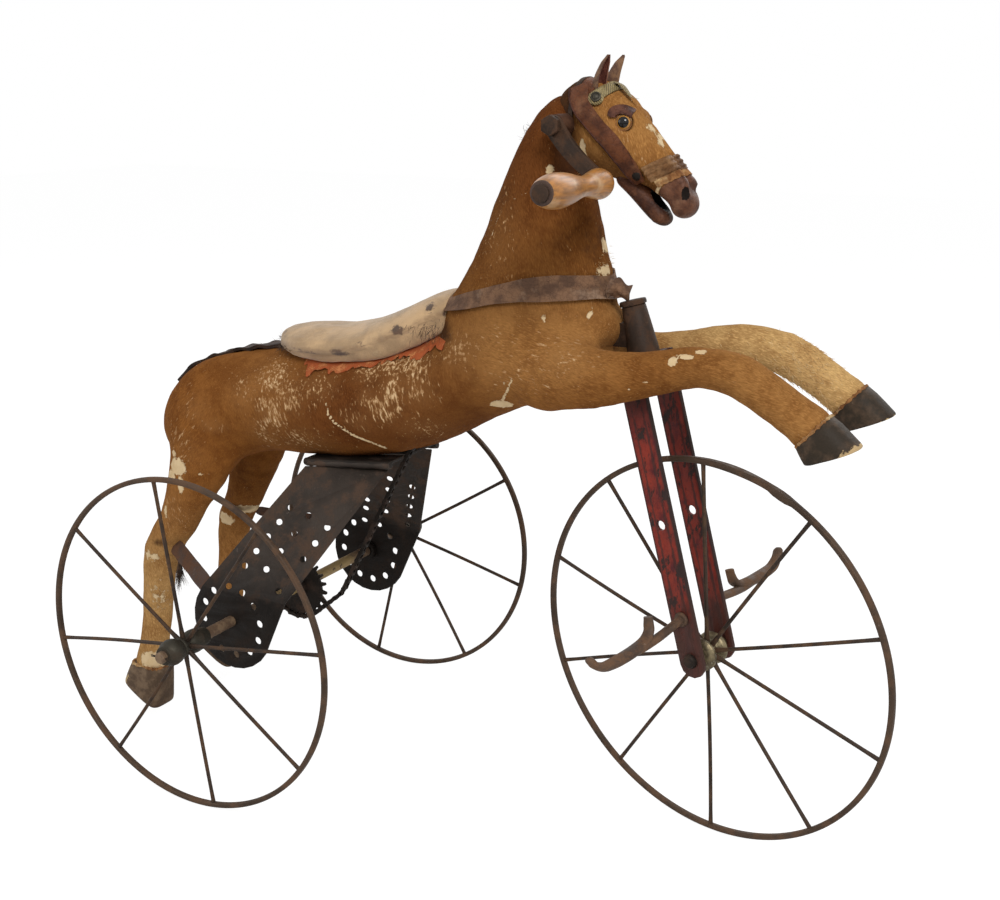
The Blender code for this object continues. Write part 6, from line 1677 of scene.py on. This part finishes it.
# Wheels
def ring_solid(radius, width, depth, centre, axis, start, lump=None, steps=180):
    """Iron tyre: a rounded section carried round a circle, thicker at a lump where it was welded."""
    axis, side, other = crosswise(axis, start)
    turn = np.linspace(0, math.tau, steps, endpoint=False)
    section = np.linspace(0, math.tau, 20, endpoint=False)
    bulge = np.ones(steps)
    if lump is not None:
        beside = 0.45 * np.exp(-((turn - lump + 0.26) / 0.20) ** 2)
        bulge += 0.95 * np.exp(-((turn - lump) / 0.055) ** 4) + beside
    c, s = squared(section, 0.55)
    middle = radius - depth / 2 - 0.0002
    out = middle + c[None, :] * depth / 2 * bulge[:, None] * 0.98
    out = np.minimum(out, radius)
    off = np.broadcast_to(s * width / 2, out.shape)
    spoke = np.cos(turn)[:, None] * side + np.sin(turn)[:, None] * other
    points = centre + out[..., None] * spoke[:, None] + off[..., None] * axis
    faces = grid_faces(steps + 1, 20, True) % (steps * 20)
    return points.reshape(-1, 3), faces.tolist()


def spokes(centre, axis, start, count, phase, inner, outer, radius, seed):
    """Round bars from hub to rim, each slightly bowed."""
    axis, side, other = crosswise(axis, start)
    rng = np.random.default_rng(seed)
    solids = []
    for k in range(count):
        turn = phase + math.tau * k / count
        way = math.cos(turn) * side + math.sin(turn) * other
        cross = np.cross(axis, way)
        t = np.linspace(0, 1, 12)
        bow = rng.normal(0, 0.0010) * np.sin(math.pi * t)
        path = centre + way * (inner + (outer - inner) * t)[:, None] + cross * bow[:, None]
        radii = radius * np.interp(t, (0, 0.04, 0.1, 0.95, 1), (1.5, 1.35, 1.0, 1.0, 1.15))
        solids.append(loft(swept(path, radii, 10, axis)))
    return solids


def build_rear_wheels():
    """Tyre, turned hub and eight spokes on each side."""
    for word, side, body, phase in (("right", -1, "right_rear_wheel", 8.75), ("left", 1, "rear_axle", 31.2)):
        centre = np.array((AXLE[0], side * REAR_TRACK / 2, AXLE[2]))
        tyre = ring_solid(REAR_RADIUS, 0.0078, 0.0066, centre, (0, 1, 0), (1, 0, 0))
        piece(f"{word}_rear_tyre", tyre, finish(iron, "rim"), body, (f"{word}_rear_rim",))
        bars = spokes(centre, (0, -1, 0), (1, 0, 0), 8, math.radians(phase), 0.009, 0.2130,
                      sizes().spoke_radius, 100 + side)
        profile = [(0.0079, 0.038), (0.0118, 0.0378), (0.0124, 0.0365), (0.0124, 0.0345), (0.0135, 0.0330),
                   (0.0158, 0.0290), (0.0168, 0.0235), (0.0162, 0.0180), (0.0140, 0.0125), (0.0122, 0.0095),
                   (0.0128, 0.0085), (0.0128, 0.0060), (0.0113, 0.0045), (0.0110, 0.0), (0.0113, -0.0035),
                   (0.0130, -0.0055), (0.0148, -0.0100), (0.0153, -0.0165), (0.0148, -0.0230),
                   (0.0122, -0.0265), (0.0116, -0.0280), (0.0116, -0.0372), (0.0110, -0.0380),
                   (0.0079, -0.0380)]
        core = spun(profile, 48, centre, (0, side, 0))
        piece(f"{word}_turned_rear_hub", core, finish(iron, "hub"), body, (f"{word}_rear_hub",),
              soft=40)
        piece(f"{word}_rear_spokes", merged(*bars), finish(iron, "spoke"), body)


def build_front_wheel():
    """Tyre with its weld, ten spokes and a brass hub."""
    tyre = ring_solid(FRONT_RADIUS, 0.0080, 0.0068, WHEEL, STEER_LEFT, STEER_AHEAD, lump=math.radians(308))
    piece("front_tyre", tyre, finish(iron, "rim"), "front_wheel", ("front_rim",))
    bars = spokes(WHEEL, -STEER_LEFT, STEER_AHEAD, 10, math.radians(5.5), 0.009, 0.2366,
                  sizes().spoke_radius, 120)
    piece("front_spokes", merged(*bars), finish(iron, "spoke"), "front_wheel")
    half = 0.0279
    near = [(0.0054, half), (0.0102, half), (0.0108, 0.0262), (0.0108, 0.0200), (0.0130, 0.0192),
            (0.0130, 0.0180), (0.0176, 0.0166), (0.0204, 0.0134), (0.0204, 0.0104), (0.0178, 0.0072),
            (0.0142, 0.0054), (0.0128, 0.0036), (0.0132, 0.0014)]
    profile = near + [(radius, -out) for radius, out in reversed(near)]
    core = spun(profile, 56, WHEEL, STEER_LEFT)
    piece("brass_front_hub", core, finish(hub_brass), "front_wheel", ("front_hub",), soft=40)


def in_fork(x, y, z):
    """Places in the turned fork: ahead, to the left and up the steering axis from the front axle."""
    x, y, z = np.broadcast_arrays(x, y, z)
    return WHEEL + x[..., None] * STEER_AHEAD + y[..., None] * STEER_LEFT + z[..., None] * STEER_UP


def build_fork():
    """Red blades, foot rests, the socket on the chest, and the stem in it."""
    paint = finish(fork_paint)
    for word in ("right", "left"):
        item = rounded_copy(f"{word}_red_blade", f"{word}_fork_blade", 0.0009, paint, "fork")
        points = np.array([vert.co for vert in item.data.vertices]) - WHEEL
        forward = points @ STEER_AHEAD / 0.017
        along = points @ STEER_UP / FORK_RISE
        for name, values in (("forward", forward), ("along", along)):
            item.data.attributes.new(name, "FLOAT", "POINT").data.foreach_set("value", values)
    for word, side in SIDES:
        y = smoothed(((0.086, 0.0735, 0.0046), (0.0868, 0.0660, 0.0050), (0.0895, 0.0575, 0.0056),
                      (0.1000, 0.0500, 0.0064), (0.1160, 0.0468, 0.0072), (0.1350, 0.0455, 0.0076),
                      (0.1600, 0.0458, 0.0074), (0.1770, 0.0478, 0.0066), (0.1900, 0.0545, 0.0056),
                      (0.1975, 0.0625, 0.0050), (0.2000, 0.0655, 0.0030)), 5)
        path = in_fork(-0.007, side * y[:, 0], y[:, 1])
        cradle = loft(swept(path, y[:, 2] * 1.35, 20, STEER_UP, 0.62))
        stub_rows = smoothed(((0.0350, 0.0525, 0.0), (0.055, 0.0505, -0.0002), (0.080, 0.0470, -0.0020),
                              (0.105, 0.0445, -0.0052), (0.135, 0.0448, -0.0068)), 6)
        path = in_fork(stub_rows[:, 2], side * stub_rows[:, 0], stub_rows[:, 1])
        stub = loft(swept(path, np.linspace(0.0056, 0.0062, len(path)), 18, STEER_UP, 0.9))
        boss = spun(((0.0001, 0), (0.0090, 0.0), (0.0092, 0.0016), (0.0080, 0.0042), (0.0001, 0.0046)), 30,
                    in_fork(0.0, side * 0.03475, 0.0525), side * STEER_LEFT)
        points, faces = merged(cradle, stub, boss)
        points = points + lumps(points, 0.009, 130)[:, None] * 0.0004
        piece(f"{word}_forged_rest", (points, faces), finish(iron, "rest"), "fork",
              (f"{word}_foot_rest",))
    top = FORK_RISE
    socket = [(0.0084, top), (0.0180, top), (0.0190, top + 0.0012), (0.0190, top + 0.004),
              (0.0187, top + 0.008), (0.0142, top + 0.0565), (0.0136, top + 0.058), (0.0084, top + 0.058)]
    piece("steering_socket", spun(socket, 48, WHEEL, STEER_UP), finish(iron, "tube"), "horse",
          soft=40)
    rounded_copy("socket_lug", "head_tube", 0.0012, finish(iron, "tube"), "horse")
    nut = [(0.0084, top + 0.0584), (0.0140, top + 0.0584), (0.0158, top + 0.0590), (0.0160, top + 0.0606),
           (0.0156, top + 0.0640), (0.0146, top + 0.0646), (0.0084, top + 0.0646)]
    piece("stem_top_nut", spun(nut, 40, WHEEL, STEER_UP), finish(iron, "tube"), "fork",
          ("fork_top_nut",), soft=40)
    rounded_copy("fork_crown", "fork_stem", 0.0012, finish(iron, "tube"), "fork")
    rounded_copy("front_axle_bolt", "front_axle", 0.0012, finish(iron, "black"), "fork")


def build_crank():
    """Shaft with its bushes and sprocket, and an arm with a turned grip on each side."""
    grip = [(0.0048, 0.0), (0.0094, 0.0), (0.0112, 0.0012), (0.0150, 0.006), (0.0166, 0.0115),
            (0.0165, 0.018), (0.0150, 0.028), (0.0130, 0.037), (0.0117, 0.046), (0.0113, 0.055),
            (0.0120, 0.064),
            (0.0136, 0.075), (0.0158, 0.087), (0.0176, 0.100), (0.0186, 0.113), (0.0184, 0.124),
            (0.0172, 0.134), (0.0150, 0.143), (0.0132, 0.1475), (0.0120, 0.149), (0.0048, 0.149)]
    rows = smoothed(grip, 4)
    for word, side in SIDES:
        centre = joint_place(f"{word}_grip_spin")
        inner = np.array((centre[0], side * 0.0673, centre[2]))
        points, faces = spun(rows, 56, inner, (0, side, 0))
        out = (points - inner) @ np.array((0, side, 0))
        radius = np.linalg.norm((points - inner)[:, [0, 2]], axis=1)
        end = ((out > 0.1478) | ((radius < 0.0100) & (out > 0.14))).astype(float)
        points = points + lumps(points, 0.020, 140)[:, None] * 0.0003
        piece(f"{word}_turned_grip", (points, faces), finish(grip_wood), f"{word}_grip",
              (f"{word}_grip",), {"end": end})
        rounded_copy(f"{word}_forged_arm", f"{word}_crank_arm", 0.0011, finish(iron, "tube"), "crank")
        rounded_copy(f"{word}_shaft_bush", f"{word}_crank_bush", 0.0010, finish(iron, "bush"),
                     "horse")
    rounded_copy("crank_shaft", "crank_axle", 0.0012, finish(iron, "tube"), "crank")
    rounded_copy("small_sprocket", "crank_sprocket", 0.0004, finish(iron, "black"), "crank")


def build_rear_frame():
    """Side plates, stays, belly plate with its rolls, sprocket, axle and split pin."""
    for word, side in SIDES:
        rounded_copy(f"{word}_pierced_plate", f"{word}_side_plate", 0.0006, finish(iron, "plate"),
                     "horse")
        u = np.linspace(0, 1, 40)[:, None]
        v = np.linspace(-0.5, 0.5, 5)[None, :]
        wide = 0.0210 * np.sqrt(np.clip(1 - (1 - np.minimum(u / 0.08, 1)) ** 2, 0.01, 1))
        mirror = np.array((1, -side, 1))
        grid = STAY_TOP + u[..., None] * (STAY_FOOT - STAY_TOP) + (v * wide)[..., None] * STAY_ACROSS
        grid = grid * mirror
        flat = unit(np.cross(grid[-1, 2] - grid[0, 2], STAY_ACROSS * mirror))
        normals = np.broadcast_to(flat, grid.shape)
        points, faces = slab(grid - normals * 0.0015, normals, 0.0030)
        points = points + lumps(points, 0.012, 150)[:, None] * 0.0003
        piece(f"{word}_flat_stay", (horse(points), faces), finish(iron, "stay"), "horse",
              (f"{word}_hock_stay",), soft=40)
        rounded_copy(f"{word}_bearing_ring", f"{word}_axle_bush", 0.0008, finish(iron, "plate"),
                     "horse")
    rounded_copy("rolled_belly_plate", "belly_plate", 0.0008, finish(iron, "black"), "horse")
    rise = math.tan(math.radians(6.0))
    for word, side in SIDES:
        corners = smoothed(((0.1860, 0.0570), (0.1400, 0.0572), (0.0900, 0.0572), (0.0620, 0.0568),
                            (0.0540, 0.0545), (0.0510, 0.0460), (0.0505, 0.0200), (0.0505, 0.0000)), 8)
        x = corners[:, 0]
        path = np.stack((x, side * corners[:, 1], (x - 0.118) * rise - 0.0062), -1)
        thick = 0.0046 + 0.0004 * np.sin(np.linspace(0, 60, len(path)))
        piece(f"{word}_belly_roll", loft(horse(swept(path, thick, 18))), finish(iron, "roll"), "horse")
    rounded_copy("large_sprocket", "rear_sprocket", 0.0004, finish(iron, "black"), "rear_axle")
    rounded_copy("hidden_guide_bar", "chain_guide_bar", 0.0004, finish(iron, "black"), "horse")
    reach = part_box("rear_axle")[1][1]
    shaft = [(0.0001, -reach), (0.0060, -reach), (0.0074, -reach + 0.0014), (0.0074, reach - 0.0014),
             (0.0060, reach), (0.0001, reach)]
    steps = np.linspace(-reach + 0.002, reach - 0.002, 60)
    rows = shaft[:3] + [(0.0074, y) for y in steps] + shaft[3:]
    piece("worn_rear_axle", spun(rows, 32, AXLE, (0, 1, 0)), finish(axle_iron), "rear_axle",
          ("rear_axle",), soft=40)
    low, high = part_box("split_pin")
    middle = (low + high) / 2
    solids = []
    for turn in (-1, 1):
        path = smoothed(((low[0] + 0.001, middle[1], middle[2] + turn * 0.0009),
                         (middle[0], middle[1], middle[2] + turn * 0.0005),
                         (high[0] - 0.006, middle[1], middle[2] + turn * 0.0009),
                         (high[0] - 0.0005, middle[1], middle[2] + turn * 0.0042)), 5)
        solids.append(loft(swept(path, 0.00065, 8, (0, 1, 0))))
    piece("bent_split_pin", merged(*solids), finish(iron, "black"), "rear_axle", ("split_pin",))


# Chain: pitch, teeth, and where it bends, measured from the rear axle and the horse's datum
PITCH = 0.0127
REAR_PITCH_RADIUS = 22 * PITCH / math.tau
CRANK_PITCH_RADIUS = 11 * PITCH / math.tau
MOUTH = (0.183, 0.0)
GUIDE = (0.289, 0.215)
GUIDE_ARC = 0.0104
CHAIN_Y = -0.015


def meeting(outside, centre, radius, turn):
    """Where a straight run from outside touches a circle, on the side that turn names."""
    offset = outside - centre
    angle = math.atan2(offset[1], offset[0]) + turn * math.acos(radius / np.linalg.norm(offset))
    return centre + radius * np.array((math.cos(angle), math.sin(angle)))


def arc(centre, radius, first, last, count):
    """Points on an arc, from one angle to another."""
    turn = np.linspace(first, last, count)
    return centre + radius * np.stack((np.cos(turn), np.sin(turn)), -1)


def rounded_bend(before, at, after, radius, count):
    """Arc that rounds the corner between two straight runs."""
    one = unit(before - at)
    two = unit(after - at)
    half = math.acos(float(one @ two)) / 2
    centre = at + unit(one + two) * radius / math.sin(half)
    ends = [at + way * radius / math.tan(half) - centre for way in (one, two)]
    a, b = (math.atan2(end[1], end[0]) for end in ends)
    return arc(centre, radius, a, a + (b - a + math.pi) % math.tau - math.pi, count)


def chain_route(slack):
    """Closed route of the chain's middle line. slack is the hanging run below the large sprocket."""
    rear = np.array((0.0, AXLE[2]))
    top = np.array((CRANK_X, CRANK[2]))
    mouth = np.array((MOUTH[0], DATUM[2] + MOUTH[1]))
    guide = np.array((GUIDE[0], DATUM[2] + GUIDE[1]))
    front = meeting(mouth, top, CRANK_PITCH_RADIUS, 1)
    back = meeting(guide, top, CRANK_PITCH_RADIUS, -1)
    heel = meeting(guide, rear, REAR_PITCH_RADIUS, 1)
    leave = math.radians(-50)
    low = rear + REAR_PITCH_RADIUS * np.array((math.cos(leave), math.sin(leave)))
    hang = low + slack * np.array((-math.sin(leave), math.cos(leave)))
    a, b = (math.atan2(*(end - top)[::-1]) for end in (front, back))
    c = math.atan2(*(heel - rear)[::-1])
    return np.concatenate((rounded_bend(low, hang, mouth, 0.022, 5),
                           rounded_bend(hang, mouth, front, 0.10, 3),
                           arc(top, CRANK_PITCH_RADIUS, a, a + (b - a) % math.tau, 16),
                           rounded_bend(back, guide, heel, GUIDE_ARC, 3),
                           arc(rear, REAR_PITCH_RADIUS, c, c + (leave - c) % math.tau, 24)))


def route_length(line):
    """Length of a closed line."""
    return np.linalg.norm(np.diff(np.vstack((line, line[:1])), axis=0), axis=1).sum()


def chain_places():
    """Middles of the rollers on the route whose length is a whole number of links."""
    links = round(route_length(chain_route(0.088)) / PITCH)
    low, high = 0.060, 0.120
    for _ in range(40):
        slack = (low + high) / 2
        if route_length(chain_route(slack)) < links * PITCH:
            low = slack
        else:
            high = slack
    loop = chain_route(slack)
    loop = np.vstack((loop, loop[:1]))
    reach = np.concatenate(([0], np.cumsum(np.linalg.norm(np.diff(loop, axis=0), axis=1))))
    at = np.arange(links) * reach[-1] / links
    return np.stack([np.interp(at, reach, loop[:, k]) for k in (0, 1)], -1)


def build_chain():
    """Rollers at the pitch, with pairs of waisted plates that lie inside and outside by turns."""
    places = chain_places()
    following = np.roll(places, -1, axis=0)
    turn = np.linspace(0, math.tau, 10, endpoint=False)
    solids = []
    for k, (here, there) in enumerate(zip(places, following)):
        run = unit(there - here)
        lift = np.array((-run[1], run[0]))
        span = np.linalg.norm(there - here)
        outline = []
        for j in range(24):
            angle = math.tau * j / 24
            along = span / 2 + (span / 2) * np.sign(math.cos(angle)) * abs(math.cos(angle)) ** 0.4
            along += 0.0038 * math.cos(angle)
            rise = 0.0046 * math.sin(angle) * (0.50 + 0.50 * min(1.0, 1.6 * math.cos(angle) ** 2))
            outline.append(here + run * along + lift * rise)
        outline = np.array(outline)
        y = 0.0042 if k % 2 else 0.0031
        for side in (-1, 1):
            rows = [np.stack((outline[:, 0], np.full(24, CHAIN_Y + side * (y + d)), outline[:, 1]), -1)
                    for d in (-0.00045, 0.00045)]
            solids.append(loft(rows))
        for radius, half in ((0.0034, 0.0026), (0.0018, 0.0050)):
            ring = here + radius * np.stack((np.cos(turn), np.sin(turn)), -1)
            rows = [np.stack((ring[:, 0], np.full(10, CHAIN_Y + d), ring[:, 1]), -1) for d in (-half, half)]
            solids.append(loft(rows))
    points, faces = merged(*solids)
    points = points + np.array((AXLE[0], 0.0, 0.0))
    piece("roller_chain", (points, faces), finish(iron, "black"), "horse", ("drive_chain",),
          soft=40)


# Stage
def build_stage():
    """Pale floor and backdrop in one, soft lamps, and the photograph's camera."""
    mesh = bpy.data.meshes.new("pale_floor")
    mesh.from_pydata([(-9, -9, 0), (9, -9, 0), (9, 9, 0), (-9, 9, 0)], [], [(0, 1, 2, 3)])
    floor = bpy.data.objects.new("pale_floor", mesh)
    bpy.context.scene.collection.objects.link(floor)
    floor.location.z = -0.0005
    material = bpy.data.materials.new("pale_floor")
    material.use_nodes = True
    tree = material.node_tree
    tree.nodes.clear()
    out = tree.nodes.new("ShaderNodeOutputMaterial")
    blend = tree.nodes.new("ShaderNodeMixShader")
    matt = tree.nodes.new("ShaderNodeBsdfDiffuse")
    matt.inputs["Color"].default_value = (0.86, 0.86, 0.86, 1.0)
    glow = tree.nodes.new("ShaderNodeEmission")
    glow.inputs["Strength"].default_value = 1.22
    path = tree.nodes.new("ShaderNodeLightPath")
    part = tree.nodes.new("ShaderNodeMath")
    part.operation = "MULTIPLY"
    part.inputs[1].default_value = 0.75
    tree.links.new(path.outputs["Is Camera Ray"], part.inputs[0])
    tree.links.new(part.outputs[0], blend.inputs[0])
    tree.links.new(matt.outputs[0], blend.inputs[1])
    tree.links.new(glow.outputs[0], blend.inputs[2])
    tree.links.new(blend.outputs[0], out.inputs["Surface"])
    mesh.materials.append(material)
    world = bpy.data.worlds.new("studio")
    bpy.context.scene.world = world
    world.use_nodes = True
    tree = world.node_tree
    ground = tree.nodes["Background"]
    ground.inputs["Color"].default_value = (1.0, 1.0, 1.0, 1.0)
    path = tree.nodes.new("ShaderNodeLightPath")
    seen = tree.nodes.new("ShaderNodeMath")
    seen.operation = "MAXIMUM"
    tree.links.new(path.outputs["Is Camera Ray"], seen.inputs[0])
    tree.links.new(path.outputs["Is Glossy Ray"], seen.inputs[1])
    level = tree.nodes.new("ShaderNodeMapRange")
    level.inputs["To Min"].default_value = 0.36
    level.inputs["To Max"].default_value = 1.0
    tree.links.new(seen.outputs[0], level.inputs["Value"])
    tree.links.new(level.outputs[0], ground.inputs["Strength"])
    for name, place, energy, size in (("key_lamp", (1.8, -2.0, 2.8), 78.0, 1.2),
                                      ("fill_lamp", (-2.4, -1.6, 1.5), 20.0, 2.0),
                                      ("back_lamp", (0.4, 2.4, 2.2), 26.0, 2.0)):
        lamp = bpy.data.lights.new(name, "AREA")
        lamp.energy = energy
        lamp.size = size
        item = bpy.data.objects.new(name, lamp)
        item.location = place
        item.rotation_euler = (Vector((0, 0, 0.5)) - Vector(place)).to_track_quat("-Z", "Y").to_euler()
        bpy.context.scene.collection.objects.link(item)
    camera = bpy.data.cameras.new("photo_camera")
    camera.lens = CAMERA_LENS
    camera.sensor_width = 36.0
    camera.clip_start = 0.05
    item = bpy.data.objects.new("photo_camera", camera)
    item.location = CAMERA_PLACE
    level = math.cos(CAMERA_PITCH)
    look = Vector((math.sin(CAMERA_YAW) * level, math.cos(CAMERA_YAW) * level, math.sin(CAMERA_PITCH)))
    item.rotation_euler = look.to_track_quat("-Z", "Y").to_euler()
    bpy.context.scene.collection.objects.link(item)
    bpy.context.scene.camera = item
    bpy.context.scene.view_settings.view_transform = "Standard"


# Operators and panel
class TricycleOperator:
    """Runs the builders that its class lists."""

    bl_options = {"REGISTER", "UNDO"}

    def execute(self, context):
        for build in self.builds:
            build()
        return {"FINISHED"}


class TRICYCLE_OT_horse(TricycleOperator, bpy.types.Operator):
    """Build the hide, hooves, head, eyes and ears"""

    bl_idname = "tricycle.horse"
    bl_label = "Horse"
    builds = (build_hide, build_hooves, build_head, build_eyes, build_ears)


class TRICYCLE_OT_tack(TricycleOperator, bpy.types.Operator):
    """Build the bridle, the breast collar, the saddle with its cloth, and the loose hair"""

    bl_idname = "tricycle.tack"
    bl_label = "Tack"
    builds = (build_bridle, build_collar, build_saddle, build_hair)


class TRICYCLE_OT_rear(TricycleOperator, bpy.types.Operator):
    """Build the plates, the rear axle and its wheels"""

    bl_idname = "tricycle.rear"
    bl_label = "Rear frame"
    builds = (build_rear_frame, build_rear_wheels)


class TRICYCLE_OT_drive(TricycleOperator, bpy.types.Operator):
    """Build the hand crank and the chain"""

    bl_idname = "tricycle.drive"
    bl_label = "Drive"
    builds = (build_crank, build_chain)


class TRICYCLE_OT_front(TricycleOperator, bpy.types.Operator):
    """Build the fork, its foot rests and the front wheel"""

    bl_idname = "tricycle.front"
    bl_label = "Front wheel and fork"
    builds = (build_fork, build_front_wheel)


class TRICYCLE_OT_stage(TricycleOperator, bpy.types.Operator):
    """Build the floor, lamps and camera"""

    bl_idname = "tricycle.stage"
    bl_label = "Stage"
    builds = (build_stage,)


OPERATORS = (TRICYCLE_OT_horse, TRICYCLE_OT_tack, TRICYCLE_OT_rear, TRICYCLE_OT_drive,
             TRICYCLE_OT_front, TRICYCLE_OT_stage)


class TRICYCLE_PT_panel(bpy.types.Panel):
    """Lists the sizes, the colours and the building steps."""

    bl_idname = "TRICYCLE_PT_panel"
    bl_label = "Horse Tricycle"
    bl_space_type = "VIEW_3D"
    bl_region_type = "UI"
    bl_category = "Horse Tricycle"

    def draw(self, context):
        for group in (context.scene.tricycle_sizes, context.scene.tricycle_colours):
            for word in group.bl_rna.properties.keys():
                if word not in ("rna_type", "name"):
                    self.layout.prop(group, word)
        for operator in OPERATORS:
            self.layout.operator(operator.bl_idname)


CLASSES = (TricycleSizes, TricycleColours, *OPERATORS, TRICYCLE_PT_panel)


def register():
    """Add the classes and the scene's two property groups."""
    for item in CLASSES:
        bpy.utils.register_class(item)
    bpy.types.Scene.tricycle_sizes = bpy.props.PointerProperty(type=TricycleSizes)
    bpy.types.Scene.tricycle_colours = bpy.props.PointerProperty(type=TricycleColours)


def unregister():
    """Take them away again."""
    del bpy.types.Scene.tricycle_colours
    del bpy.types.Scene.tricycle_sizes
    for item in reversed(CLASSES):
        bpy.utils.unregister_class(item)


def main():
    """Build everything."""
    register()
    for operator in OPERATORS:
        group, word = operator.bl_idname.split(".")
        getattr(getattr(bpy.ops, group), word)()


if __name__ == "__main__":
    main()
